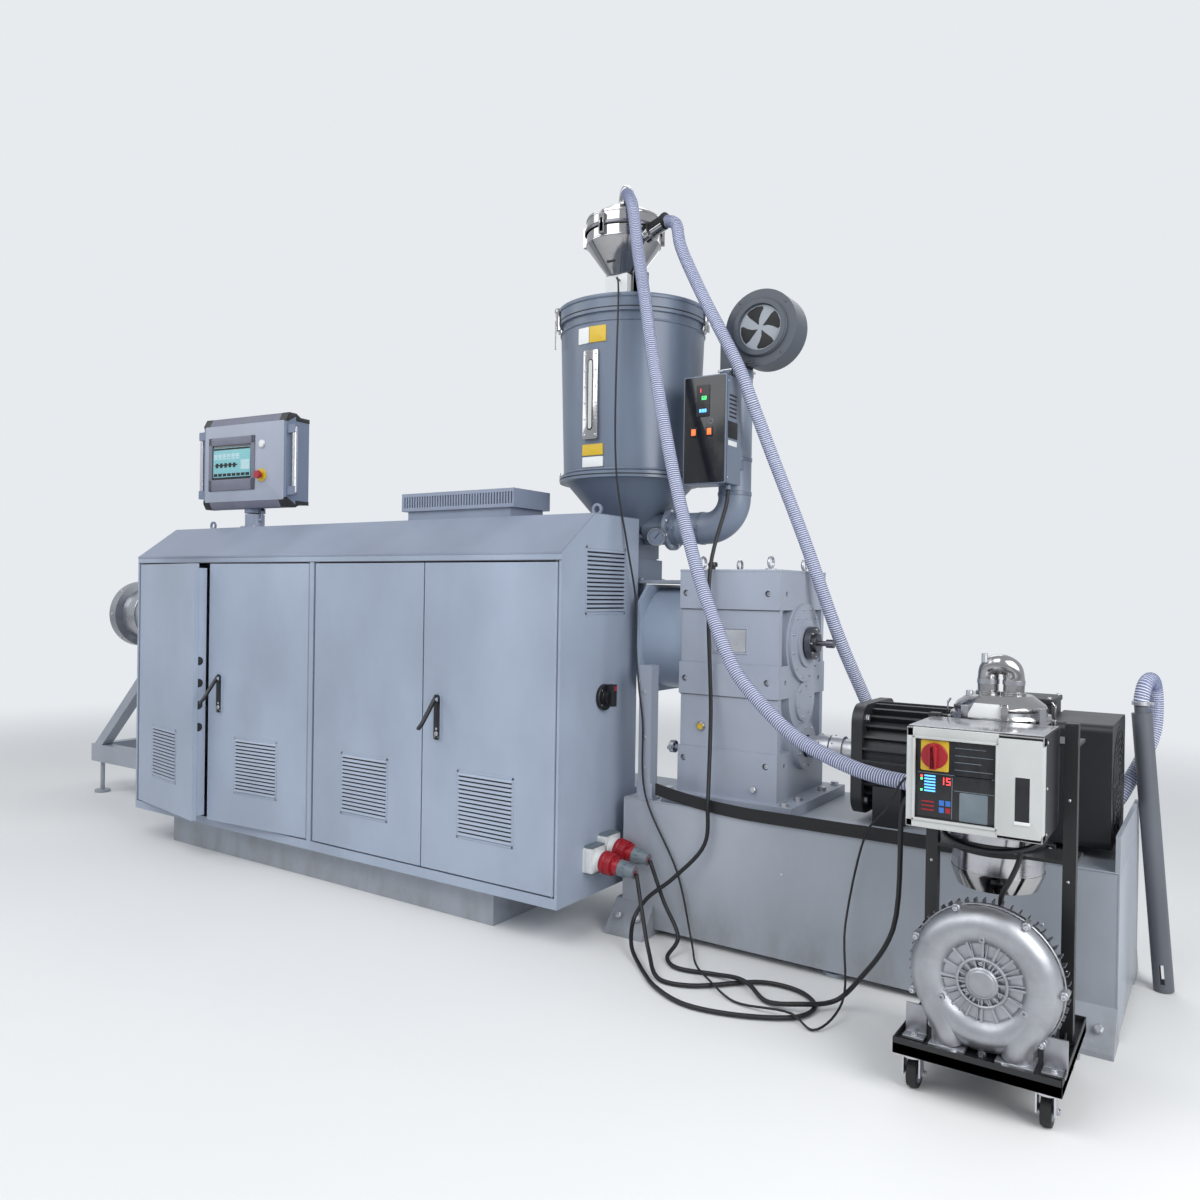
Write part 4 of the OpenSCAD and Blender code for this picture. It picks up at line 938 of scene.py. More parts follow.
def smooth_line(points: Sequence[Point], extra: int) -> list[Vector]:
    """Points on a smooth curve through the given ones.

    Args:
        points: Points to pass through.
        extra: Points added between each pair.

    Returns:
        All the points in order.
    """
    given = [Vector(p) for p in points]
    given = [2 * given[0] - given[1], *given, 2 * given[-1] - given[-2]]
    line: list[Vector] = []
    for before, one, two, after in zip(given, given[1:], given[2:], given[3:]):
        back, span, on = (
            math.sqrt((b - a).length) for a, b in ((before, one), (one, two), (two, after))
        )
        leave = (one - before) / back - (two - before) / (back + span) + (two - one) / span
        arrive = (two - one) / span - (after - one) / (span + on) + (after - two) / on
        for k in range(extra + 1):
            t = k / (extra + 1)
            line.append(
                (2 * t ** 3 - 3 * t * t + 1) * one + (t ** 3 - 2 * t * t + t) * span * leave
                + (3 * t * t - 2 * t ** 3) * two + (t ** 3 - t * t) * span * arrive
            )
    line.append(given[-2])
    return line


def carried_frames(line: Sequence[Vector]) -> list[tuple[Vector, Vector, Vector]]:
    """Each point of a line with two side vectors that turn as little as they can.

    Args:
        line: The points.

    Returns:
        Point, side vector and the vector across both, for each point.
    """
    frames = []
    side = Vector((0.13, 0.31, 1.0))
    for i, middle in enumerate(line):
        ahead = line[min(i + 1, len(line) - 1)] - line[max(i - 1, 0)]
        ahead.normalize()
        side = side - ahead * side.dot(ahead)
        if side.length < TINY:
            side = ahead.orthogonal()
        side.normalize()
        frames.append((middle, side.copy(), ahead.cross(side)))
    return frames


def dress(finish: Finish, *nodes: str) -> None:
    """Gives carried-over solids a finish.

    Args:
        finish: The finish.
        *nodes: Names of the solids.
    """
    for name in nodes:
        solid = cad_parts[name]
        solid.data.materials.clear()
        solid.data.materials.append(finish.material())
        log.info("%s dressed in %s", name, finish.name)


def ring_of(count: int, radius: float, start: float = 0.0) -> Iterable[Pair]:
    """Points round a circle.

    Args:
        count: Number of points.
        radius: Radius of the circle.
        start: Angle of the first, in degrees.

    Returns:
        Pairs of places across the circle's two axes.
    """
    for k in range(count):
        angle = math.radians(start + 360 * k / count)
        yield radius * math.cos(angle), radius * math.sin(angle)


# Camera and cords


@dataclass
class Viewpoint:
    """Camera that stands where the photograph was taken, in metres and degrees."""

    place: Point = (2.920, -2.972, 1.209)
    yaw: float = 33.7834
    pitch: float = -0.41
    roll: float = 0.898
    lens: float = 28.59

    def build(self) -> None:
        """Makes the camera and hands it to the scene."""
        yaw, pitch, roll = (math.radians(a) for a in (self.yaw, self.pitch, self.roll))
        ahead = Vector((-math.sin(yaw) * math.cos(pitch), math.cos(yaw) * math.cos(pitch),
                        math.sin(pitch)))
        right = Vector((math.cos(yaw), math.sin(yaw), 0.0))
        up = right.cross(ahead)
        right, up = (
            right * math.cos(roll) + up * math.sin(roll),
            up * math.cos(roll) - right * math.sin(roll),
        )
        data = bpy.data.cameras.new("viewpoint")
        data.lens = self.lens
        data.sensor_width = 36.0
        data.clip_end = 60.0
        camera = bpy.data.objects.new("viewpoint", data)
        turn = Matrix((right, up, -ahead)).transposed().to_4x4()
        camera.matrix_world = Matrix.Translation(self.place) @ turn
        bpy.context.collection.objects.link(camera)
        bpy.context.scene.camera = camera


@dataclass
class Cord:
    """A hose or cable: its node, its points, its radius and what holds its ends."""

    node: str
    points: list[Point]
    radius: float
    finish: Finish
    slot: str
    far_end: str
    stiffness: str = "medium"
    lay: str = "loose"
    with_nodes: tuple[str, ...] = ()
    ribbed: bool = False
    extra: int = 6
    rib_depth: float = 0.05
    gap: float = 0.6

    def length(self, line: Sequence[Vector]) -> float:
        """Length of a line of points, in the points' unit."""
        return sum((b - a).length for a, b in zip(line, line[1:]))

    def build(self) -> None:
        floor = self.radius + self.gap
        line = [
            Vector((p.x, p.y, max(p.z, floor))) * MM for p in smooth_line(self.points, self.extra)
        ]
        if self.ribbed:
            line = evenly(line, RING_STEP)
        piece = self.sweep(line)
        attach(piece, "machine")
        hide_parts(self.node)
        log.info("%s: %.2f m long", piece.name, self.length(line))

    def sweep(self, line: Sequence[Vector]) -> bpy.types.Object:
        """Makes the tube, with its length and turn kept as texture places.

        Args:
            line: Points in metres.

        Returns:
            The object.
        """
        sides = 18 if self.ribbed else 12
        mesh = bmesh.new()
        along = mesh.loops.layers.uv.new("along")
        rings, walked = [], 0.0
        last = line[0]
        for middle, side, over in carried_frames(line):
            walked += (middle - last).length
            last = middle
            ring = []
            for k in range(sides):
                angle = 2 * math.pi * k / sides
                swell = 1.0
                if self.ribbed:
                    wave = math.cos(2 * math.pi * walked / HOSE_PITCH + angle)
                    swell = 1.0 - self.rib_depth * (1 + wave) / 2
                reach = self.radius * MM * swell
                outward = math.cos(angle) * side + math.sin(angle) * over
                ring.append(mesh.verts.new(middle + reach * outward))
            rings.append((ring, walked))
        for (one, from_), (two, to) in zip(rings, rings[1:]):
            for k in range(sides):
                n = (k + 1) % sides
                face = mesh.faces.new((one[k], one[n], two[n], two[k]))
                face.smooth = True
                places = ((from_, k), (from_, k + 1), (to, k + 1), (to, k))
                for loop, (way, turn) in zip(face.loops, places):
                    loop[along].uv = (way, turn / sides)
        mesh.faces.new(rings[0][0][::-1])
        mesh.faces.new(rings[-1][0])
        bmesh.ops.recalc_face_normals(mesh, faces=mesh.faces)
        data = bpy.data.meshes.new(self.node + "_swept")
        mesh.to_mesh(data)
        mesh.free()
        data.materials.append(self.finish.material())
        piece = bpy.data.objects.new(self.node + "_swept", data)
        bpy.context.collection.objects.link(piece)
        return piece


def evenly(line: Sequence[Vector], step: float) -> list[Vector]:
    """A line's points at even steps.

    Args:
        line: Points of the line.
        step: Distance between the new points.

    Returns:
        The new points, first and last kept.
    """
    spaced, carry = [line[0]], 0.0
    for one, two in zip(line, line[1:]):
        span = (two - one).length
        while span - carry >= step and span > 0:
            carry += step
            spaced.append(one.lerp(two, carry / span))
        carry -= span
    if (spaced[-1] - line[-1]).length > step * 0.3:
        spaced.append(line[-1])
    else:
        spaced[-1] = line[-1]
    return spaced


@dataclass
class Cords:
    """The two clear hoses, the two power leads and the thin signal lead."""

    hose: float = 23.0
    cable: float = 7.0
    signal: float = 3.5

    def build(self) -> None:
        """Makes the five cords."""
        vacuum = [
            (919, 166, 2763), (955, 125, 2728), (998, 82, 2668), (1052, 36, 2480), (1092, 0, 2370),
            (1130, -36, 2266), (1205, -85, 1995), (1305, -105, 1600), (1420, -130, 1260),
            (1490, -145, 1110), (1570, -160, 965), (1690, -180, 850), (1810, -205, 770),
            (2010, -250, 708), (2150, -267, 692), (2228, -268, 690),
        ]
        material = [
            (1096, 171.5, 2625), (1146, 150, 2598), (1183, 124, 2500), (1277, 105, 2316),
            (1442, 100, 2012), (1478, 112, 1915), (1528, 180, 1730), (1640, 235, 1412),
            (1755, 300, 1055), (1833, 425, 786), (1884, 464, 630), (1970, 476, 512),
            (2500, 478, 500), (2590, 480, 545), (2645, 505, 640), (2700, 575, 780),
            (2706, 584, 885), (2701, 568, 944), (2693, 527, 962), (2681, 487, 945),
            (2674, 470.5, 905), (2673, 470, 886),
        ]
        dryer = [
            (1405, 100, 1584), (1404, 96, 1540), (1389, 4, 1300), (1406, -6, 800), (1428, -56, 580),
            (1441, -86, 500), (1434, -90, 365), (1330, -118, 237), (1240, -142, 155),
            (1212, -175, 94), (1250, -255, 35), (1340, -345, 9), (1470, -460, 9), (1600, -512, 9),
            (1770, -478, 9), (1900, -390, 9), (1912, -300, 9), (1840, -228, 9), (1720, -226, 9),
            (1541, -385, 9), (1440, -396, 9), (1345, -300, 45), (1270, -225, 150),
            (1227, -191, 251),
        ]
        loader = [
            (2237, -440, 690), (2224, -439.5, 689.5), (2208, -435.5, 683), (2196, -429, 667),
            (2188, -421, 640), (2141, -320, 290), (2030, -260, 105), (1960, -266, 26),
            (1880, -352, 26), (1780, -350, 9), (1700, -300, 24), (1655, -283, 25), (1560, -262, 9),
            (1440, -285, 9), (1372, -225, 9), (1370, -150, 50), (1290, -112, 150),
            (1226.5, -101, 276.6),
        ]
        signal = [
            (879, 183, 2440), (884, 158, 2438), (1026, -52, 2315), (1027, -50, 1660),
            (1052, -10, 1400), (1075, 25, 1180), (1120, -40, 1000), (1150, -69, 880),
            (1168, -69, 760), (1185, -72, 500), (1321, -72, 241), (1395, -100, 30),
            (1500, -262, 23), (1590, -345, 23), (1700, -400, 5), (1885, -415, 23), (1960, -440, 5),
            (1996, -310, 44), (1936, -120, 200), (1990, -115, 480), (2090, -240, 600),
            (2205, -415, 736), (2239, -415, 736),
        ]
        for cord in (
            Cord("vacuum_hose", vacuum, self.hose, Paints.HOSE, "clear_hose", "object",
                 ribbed=True),
            Cord("material_hose", material, self.hose, Paints.HOSE, "clear_hose", "tool",
                 with_nodes=("suction_lance",), ribbed=True),
            Cord("dryer_cable", dryer, self.cable, Paints.CORD, "black_rubber", "plug",
                 with_nodes=("dryer_plug",)),
            Cord("loader_cable", loader, self.cable, Paints.CORD, "black_rubber", "plug", "limp",
                 with_nodes=("loader_plug",)),
            Cord("signal_cable", signal, self.signal, Paints.CORD, "black_rubber", "object",
                 "limp"),
        ):
            cord.build()


# Cabinet


@dataclass
class Door:
    """One cabinet door: where its hinge is, which way it is handed and how far it stands ajar."""

    number: int
    hinge_x: float
    side: int
    ajar: float
    handled: bool
    hinge_y: float = -380.0
    foot_z: float = 182.0
    height: float = 1130.0
    thick: float = 20.0
    reach: float = 601.25
    louvre_w: float = 248.0
    louvre_h: float = 232.0
    louvre_up: float = 143.0
    slats: int = 15
    handle_in: float = 76.0
    handle_up: float = 480.0
    handle_l: float = 165.0

    def body(self) -> str:
        """Name of the door's body."""
        return f"door_{self.number}"

    def frame(self) -> Matrix:
        """Frame at the foot of the hinge.

        Returns:
            The frame, its X towards the free edge.
        """
        turn = Matrix.Rotation(math.radians(-self.side * self.ajar), 4, "Z")
        return (
            Matrix.Translation((self.hinge_x, self.hinge_y, self.foot_z)) @ turn
            @ Matrix.Diagonal((self.side, 1, 1, 1))
        )

    def build(self) -> None:
        """Dresses the door and makes its louvre frame, inner parts and handle fittings."""
        dress(Paints.CABINET, self.body())
        self.louvre_frame()
        self.inner_parts()
        if self.handled:
            self.handle()
        if self.number == 1:
            self.free_edge()

    def louvre_frame(self) -> None:
        """Dark strips of painted shade for the gaps between the slats, and the pressed border round
        them.
        """
        start = (self.reach - 10.0 - self.louvre_w) / 2
        front = -self.thick / 2
        shape = Shape(f"louvre_border_{self.number}", self.frame()).of(Paints.RUBBER)
        low, high = self.louvre_up, self.louvre_up + self.louvre_h
        # Painted shade: black strips stand for the shaded gaps between the slats.
        shape.slats((start + 3, start + self.louvre_w - 3), (front - 1.3, front - 0.1), low,
                    self.louvre_h, self.slats)
        shape.of(Paints.CABINET)
        shape.border((start - 7, start + self.louvre_w + 7), (low - 8, high + 6), (8, 8, 9, 9),
                     lambda x, z: shape.block(x, (front - 2.2, front + 0.4), z, 0.9))
        shape.done(self.body(), "cabinet_white")

    def inner_parts(self) -> None:
        """Foam seal, stiffening channels and document pocket on the inside of the door."""
        inside = -self.thick / 2 + 3.0
        shape = Shape(f"door_inside_{self.number}", self.frame()).of(Paints.RUBBER)
        left, right = 28.0, self.reach - 12.0
        shape.border((left, right), (34, self.height - 34), (9, 9, 9, 9),
                     lambda x, z: shape.block(x, (inside, inside + 9), z, 2.5))
        shape.of(Paints.ZINC)
        for z in (95.0, self.height - 120.0):
            shape.block((left + 20, right - 20), (inside, inside + 11), (z, z + 24), 1.5)
            for x in (left + 34, right - 34):
                shape.pan_screw((x, inside + 11, z + 12), Axis.Y, 4)
        shape.of(Paints.GREY_PLASTIC)
        shape.block((150, 430), (inside, inside + 14), (700, 880), 2.0)
        shape.done(self.body(), "black_plastic")

    def free_edge(self) -> None:
        """Folded flange behind the free edge, with black plugs in its holes."""
        shape = Shape(f"door_edge_{self.number}", self.frame()).of(Paints.CABINET)
        shape.block((self.reach - 4.0, self.reach - 1.6), (-7.0, 46.0), (20, self.height - 20), 0.6)
        shape.of(Paints.RUBBER)
        for z in (701, 604, 507, 410):
            shape.drum((self.reach - 1.8, 14, z), (1.0, 0.0, 0.0), 1.4, 19, 0.6, 32)
        shape.done(self.body(), "cabinet_white")

    def handle(self) -> None:
        """Lock with its dust flap, plate screws and the recess under the lever."""
        x = self.reach - self.handle_in
        face = -self.thick / 2 - 8.0
        low = self.handle_up
        shape = Shape(f"handle_fittings_{self.number}", self.frame()).of(Paints.BLACK_PLASTIC)
        shape.block((x - 8, x + 8), (face - 1.6, face + 0.5), (low + 34, low + 128), 1.2)
        shape.of(Paints.ZINC)
        shape.drum((x, face + 0.5, low + 22), Axis.FRONT, 4.5, 8.5, 1.0, 28)
        shape.of(Paints.DARK_STEEL)
        shape.block((x - 1.3, x + 1.3), (face - 4.4, face - 3.6), (low + 17, low + 27), 0.3)
        shape.of(Paints.ZINC)
        shape.drum((x, face + 0.5, low + 40), Axis.FRONT, 2.6, 5.0, 0.8, 20)
        for s in (-1, 1):
            shape.pan_screw((x + 9.5 * s, face, low + 10), Axis.FRONT, 2.5)
        shape.done(self.body(), "black_plastic")
        dress(Paints.BLACK_PLASTIC, f"lever_{self.number}")
        dark = Shape(f"handle_plate_{self.number}", self.frame()).of(Paints.BLACK_PLASTIC)
        outline = rounded(15.2, 83.4, 10.6)
        at = Matrix.Translation((x, face + 0.9, low + self.handle_l / 2)) @ UPRIGHT
        dark.slab(outline, at, 1.6, 0.8)
        for s in (-1, 1):
            dark.block((x + s * 11 - 3.6, x + s * 11 + 3.6), (face - 10.6, face + 1),
                       (low + self.handle_l - 23.6, low + self.handle_l - 8.4), 2.0)
        dark.done(self.body(), "black_plastic")


def rounded(half_w: float, half_h: float, radius: float, steps: int = 6) -> list[Pair]:
    """Corners of a rectangle with rounded corners.

    Args:
        half_w: Half its width.
        half_h: Half its height.
        radius: Radius of its corners.
        steps: Faces in each corner.

    Returns:
        The outline.
    """
    outline = []
    for cx, cy, start in ((1, 1, 0), (-1, 1, 90), (-1, -1, 180), (1, -1, 270)):
        for k in range(steps + 1):
            a = math.radians(start + 90 * k / steps)
            outline.append((cx * (half_w - radius) + radius * math.cos(a),
                            cy * (half_h - radius) + radius * math.sin(a)))
    return outline


@dataclass
class Cabinet:
    """Electrical cabinet: shell, sloping roof, vent, doors, end fittings and what is inside."""

    left: float = -1489.0
    right: float = 1036.0
    front: float = -390.0
    rear: float = 101.0
    roof: float = 1492.0
    isolator_at: Pair = (-127.0, 837.0)
    doors: list[Door] = field(default_factory=lambda: [
        Door(1, -1463.0, 1, 10.0, False), Door(2, -254.5, -1, 4.0, True),
        Door(3, -198.5, 1, 0.0, False), Door(4, 1010.0, -1, 0.0, True),
    ])

    def build(self) -> None:
        """Dresses the solids and makes every fitting."""
        dress(Paints.CABINET, "cabinet_shell")
        dress(Paints.BASE, "cabinet_plinth")
        dress(Paints.ROOF, "cabinet_roof", "roof_vent")
        for door in self.doors:
            door.build()
        self.end_louvre()
        self.sockets()
        self.isolator()
        self.roof_fittings()
        for bay in ((-1440.0, -260.0), (-190.0, 990.0)):
            self.bay(bay)

    def end_louvre(self) -> None:
        """Border, dark strips of painted shade for the gaps, and screws of the louvre in the right
        end wall.
        """
        shape = Shape("louvre_border_end").of(Paints.RUBBER)
        # Painted shade: black strips stand for the shaded gaps between the slats.
        shape.slats((self.right + 0.1, self.right + 1.3), (-239, -1), 1141.0, 227.0, 15)
        shape.of(Paints.CABINET)
        shape.border((-249, 9), (1133, 1374), (8, 8, 9, 9),
                     lambda y, z: shape.block((self.right - 0.4, self.right + 2.2), y, z, 0.9))
        for y, z in ((-245, 1128), (5, 1128), (-245, 1379), (5, 1379)):
            shape.pan_screw((self.right, y, z), Axis.X, 3)
        shape.done("machine", "cabinet_white")

    def sockets(self) -> None:
        """Socket housings with their collars and flange screws."""
        dress(Paints.GREY_PLASTIC, "end_fittings")
        for k, (y, z) in enumerate(SOCKETS):
            shape = Shape(f"socket_trim_{k + 1}").of(Paints.WHITE_PLASTIC)
            wall = placed((self.right, y, z), Axis.X)
            shape.slab(rounded(51.5, 43.5, 9), wall, 8, 1.5)
            shape.slab(rounded(50.8, 42.8, 9), placed((self.right + 8, y, z), Axis.X), 27.4, 3.0)
            for v, w in corners(33, 41):
                shape.of(Paints.ZINC).pan_screw((self.right + 35.2, y + v, z + w), Axis.X, 3.5)
            at = self.socket_frame(y, z)
            shape.of(Paints.WHITE_PLASTIC).turned(
                [(34.6, 0.0), (34.6, 24.0), (37.0, 25.0), (37.0, 29.0), (34.8, 29.6)], at, 48)
            shape.done("machine", "box_grey")

    def socket_frame(self, y: float, z: float) -> Matrix:
        """Frame on the axis of the socket at y and z, which droops out of the wall."""
        turn = Matrix.Rotation(math.radians(90 + DROOP), 4, "Y")
        return Matrix.Translation((self.right + 26, y, z)) @ turn

    def isolator(self) -> None:
        """Main isolator: base plate, black boss and handle, red grip end."""
        y, z = self.isolator_at
        shape = Shape("isolator_plate").of(Paints.BLACK_PLASTIC)
        shape.drum((self.right, y, z), Axis.X, 14.6, 47, 2.0, 56)
        shape.drum((self.right + 14.4, y, z), Axis.X, 4.2, 28, 1.2, 40)
        for v, w in corners(26, 26):
            shape.of(Paints.ZINC).pan_screw((self.right + 14.4, y + v, z + w), Axis.X, 2.5)
        shape.done("machine", "black_plastic")
        dress(Paints.BLACK_PLASTIC, "isolator_handle")
        grip = Shape("isolator_grip").of(Paints.BLACK_PLASTIC)
        grip.block((self.right + 34, self.right + 52.6), (y - 11.6, y + 11.6), (z - 30.6, z + 48.6),
                   3.0)
        grip.of(Paints.RED)
        grip.block((self.right + 49, self.right + 53.2), (y - 7.5, y + 7.5), (z + 25, z + 43), 1.6)
        grip.done("isolator_handle", "signal_red")

    def roof_fittings(self) -> None:
        """Folded seam of the roof, a dark strip of painted shade in the gap over the doors, vent
        screws and washers of the lifting eyes.
        """
        shape = Shape("roof_trim").of(Paints.ROOF)
        shape.block((self.left, self.right), (self.front - 1.4, self.front + 0.6), (1340, 1350.5),
                    0.8)
        # Painted shade: a thin dark strip for the shadow in the gap above the doors.
        shape.of(Paints.DARK_STEEL)
        shape.block((self.left + 1, self.right - 1), (self.front - 0.6, self.front + 0.4),
                    (1317, 1320))
        shape.of(Paints.ZINC)
        for x in (self.left + 90, self.right - 90):
            shape.turned([(24, 0.0), (24, 2.0), (17, 2.4)], placed((x, -49, self.roof)), 32)
        for x in (66, 642):
            for y in (-166, -62):
                shape.pan_screw((x, y, 1602), Axis.Z, 4)
        shape.done("machine", "roof_grey_blue")

    def bay(self, reach: Pair) -> None:
        """Mounting plate with rails, contactors, drives and slotted ducts in one bay.

        Args:
            reach: Left and right end of the plate.
        """
        left, right = reach
        mid = (left + right) / 2
        plate_y = self.rear - 22.0
        shape = Shape(f"mounting_plate_{'left' if mid < -300 else 'right'}").of(Paints.ZINC)
        shape.block((left, right), (plate_y, plate_y + 3), (210, 1290), 0.8)
        for x in (left + 25, right - 25):
            for z in (235, 1265):
                shape.bolt((x, plate_y, z), Axis.FRONT, 8)
        shape.of(Paints.GREY_PLASTIC)
        for z in (240, 520, 800, 1080):
            shape.block((left + 60, right - 60), (plate_y - 60, plate_y), (z, z + 42), 1.5)
        for x in (left + 60, right - 102):
            shape.block((x, x + 42), (plate_y - 60, plate_y), (282, 1080), 1.5)
        rail = Shape(f"switchgear_{'left' if mid < -300 else 'right'}")
        rows = ((585, 90, 74, 18), (865, 88, 84, 45), (310, 190, 150, 132))
        for row, (z, tall, deep, wide) in enumerate(rows):
            count = int((right - left - 240) / (wide * 1.14))
            rail.of(Paints.ZINC).block((left + 115, right - 115), (plate_y - 8, plate_y),
                                       (z + tall / 2 - 17, z + tall / 2 + 17), 1.0)
            for k in range(count):
                x = left + 122 + k * wide * 1.14
                rail.of(Paints.BOX if (k + row) % 4 else Paints.BLACK_PLASTIC)
                rail.block((x, x + wide), (plate_y - deep, plate_y - 8), (z, z + tall), 2.0)
                rail.of(Paints.BLACK_PLASTIC)
                rail.block((x + wide * 0.3, x + wide * 0.7),
                           (plate_y - deep - 6, plate_y - deep + 1),
                           (z + tall * 0.4, z + tall * 0.62), 1.0)
        rail.done("machine", "black_plastic")
        shape.done("machine", "bare_steel")


# Operator panel


@dataclass
class OperatorPanel:
    """Operator panel that swivels on its pole."""

    pole: Point = (-1034.0, -72.0, 1492.0)
    foot_z: float = 1590.0
    turn: float = 5.0
    wide: float = 560.0
    high: float = 435.0
    deep: float = 140.0
    keys_x: float = 125.0
    stop_z: float = 150.0
    push_z: float = 296.0

    def frame(self) -> Matrix:
        """Frame of the panel, its face towards -Y."""
        return spun(Matrix.Translation((*self.pole[:2], self.foot_z)), self.turn)

    def build(self) -> None:
        """Dresses the panel and makes its bezel, screen, buttons, corner trims and grips."""
        dress(Paints.ROOF, "hmi_pole")
        dress(Paints.PANEL, "hmi_box")
        dress(Paints.RED, "stop_button")
        face = -self.deep / 2
        frame = self.frame()
        front = Shape("panel_front", frame).of(Paints.FACE)
        front.slab(
            rounded(268.6, 184, 6), Matrix.Translation((0, face + 0.4, 215)) @ UPRIGHT, 3.4, 0.8)
        front.of(Paints.TRIM)
        front.border((-238, 78), (85, 341), (24, 24, 54, 38),
                     lambda x, z: front.block(x, (face - 8.6, face), z, 2.4))
        front.of(Paints.SCREEN)
        front.block((-216, 56), (face - 4.2, face - 2.6), (111, 311), 0.6)
        self.picture(front, face)
        front.done("hmi_box", "panel_grey")
        self.buttons(face, frame)
        self.trims(face, frame)
        self.pole_fittings()

    def buttons(self, face: float, frame: Matrix) -> None:
        """Yellow ring of the stop button, and the pale push button over it.

        Args:
            face: Place of the panel's face.
            frame: The panel's frame.
        """
        keys = Shape("panel_buttons", frame).of(Paints.YELLOW)
        stop = placed((self.keys_x, face + 0.2, self.stop_z), Axis.FRONT)
        keys.turned([(31, 0.0), (31, 8.2), (29, 9.6), (18, 9.8)], stop, 44)
        cap = placed((self.keys_x, face, self.push_z), Axis.FRONT)
        keys.of(Paints.ZINC)
        keys.turned([(20.5, 0.0), (20.5, 6.0), (18.5, 7.8), (15.5, 8.0)], cap, 40)
        keys.of(Paints.WHITE_PLASTIC)
        keys.turned([(15.5, 5.0), (15.5, 10.0), (13.5, 11.6), (0.0, 12.0)], cap, 36)
        keys.done("hmi_box", "signal_red")

    def trims(self, face: float, frame: Matrix) -> None:
        """Moulded corner trims, rear cover screws, and the grips with their capped ends.

        Args:
            face: Place of the panel's face.
            frame: The panel's frame.
        """
        trims = Shape("panel_trims", frame).of(Paints.TRIM)
        top = self.high
        over = [(face - 1.2, top - 40), (face - 1.2, top - 29.6), (face + 15.6, top + 1.2),
                (face + 60, top + 1.2), (face + 60, top - 10), (face + 10, top - 40)]
        under = [(face - 1.2, 42), (face + 10, 42), (face + 62, 10), (face + 62, -1.2),
                 (face + 13.6, -1.2), (face - 1.2, 25.6)]
        for outline in (over, under):
            self.along(trims, outline, -236.0, 472.0)
        behind = [(face + 58, top - 34), (face + 58, top + 1.6), (face + 86.4, top - 14.4),
                  (-face + 1.2, top - 14.4), (-face + 1.2, top - 34)]
        below = [(face + 60, -1.6), (face + 60, 30), (-face + 1.2, 30), (-face + 1.2, 12.6),
                 (face + 86.4, 12.6)]
        for s in (-1, 1):
            trims.of(Paints.BLACK_PLASTIC)
            for outline in (over, under):
                mid_y, mid_z = (sum(v) / len(outline) for v in zip(*outline))
                bigger = [
                    (mid_y + 1.02 * (u - mid_y), mid_z + 1.02 * (v - mid_z)) for u, v in outline
                ]
                self.along(trims, bigger, 236.0 if s > 0 else -281.6, 45.6)
            for outline in (behind, below):
                self.along(trims, outline, 277.0 if s > 0 else -281.4, 4.4)
            trims.of(Paints.STEEL)
            trims.drum((s * (self.wide / 2 + 36), face + 19, 60), Axis.Z, self.high - 124, 11.8,
                       0.8, 28)
            trims.of(Paints.BLACK_PLASTIC)
            for z in (61, self.high - 66):
                trims.drum((s * (self.wide / 2 + 36), face + 19, z - 1.5), Axis.Z, 3.0, 12.6, 0.8,
                           28)
        trims.of(Paints.ZINC)
        for x in (-250, 0, 250):
            for z in (40, self.high - 44):
                trims.pan_screw((x, self.deep / 2, z), Axis.Y, 4)
        trims.done("hmi_box", "panel_grey")

    def along(self, shape: Shape, outline: Sequence[Pair], start: float, run: float) -> None:
        """Runs an outline of depths and heights along the panel's width, from its left end."""
        turn = Matrix(((0, 0, 1, start), (1, 0, 0, 0), (0, 1, 0, 0), (0, 0, 0, 1)))
        shape.slab(outline, turn, run, 0.6)

    def picture(self, shape: Shape, face: float) -> None:
        """Lit screen behind the glass: header, plain fields, a row of blocks and keys.

        Args:
            shape: Shape that takes it.
            face: Place of the panel's face.
        """
        y = face - 4.9
        shape.of(Paints.LIT_SCREEN).block((-208, 48), (y, y + 1.0), (150, 292), 0.2)
        shape.of(Paints.SCREEN_FIELD)
        for k in range(6):
            shape.block((-202 + 30 * k, -178 + 30 * k), (y - 0.3, y + 0.2), (246, 262))
            shape.block((-202 + 30 * k, -178 + 30 * k), (y - 0.3, y + 0.2), (236, 243))
        shape.block((-16, 42), (y - 0.3, y + 0.2), (184, 230))
        shape.of(Paints.DARK_GLOSS)
        shape.block((-206, 46), (y - 0.3, y + 0.2), (281, 290))
        shape.block((-196, -40), (y - 0.3, y + 0.2), (205, 211))
        for k in range(5):
            shape.block((-190 + 30 * k, -172 + 30 * k), (y - 0.4, y + 0.2), (196, 218))
        for k in range(8):
            shape.block((-204 + 31.5 * k, -178 + 31.5 * k), (y - 0.3, y + 0.2), (154, 168))

    def pole_fittings(self) -> None:
        """Flange bolts and weld of the pole, and the ball of its clamp lever."""
        x, y, z = self.pole
        shape = Shape("pole_fittings").of(Paints.ZINC)
        for u, v in ring_of(6, 56.0, 20.0):
            shape.bolt((x + u, y + v, z + 10), Axis.Z, 6)
        shape.of(Paints.ROOF)
        shape.turned([(45.2, 0.0), (49.5, 0.4), (48.0, 3.4), (45.2, 5.0)], placed((x, y, z + 9.6)),
                     48)
        shape.of(Paints.BLACK_PLASTIC)
        top = (x + 45 + 14 + 50 * math.sin(math.radians(12)), y - 8,
               z + 40 + 50 * math.cos(math.radians(12)))
        shape.turned([(0.0, -7.0), (5.0, -5.5), (8.0, -1.5), (8.0, 2.5), (5.0, 6.5), (0.0, 8.0)],
                     placed(top, (0.2, 0.0, 1.0)), 24)
        shape.done("machine", "bare_steel")


# Base, gearbox, motor, barrel and die


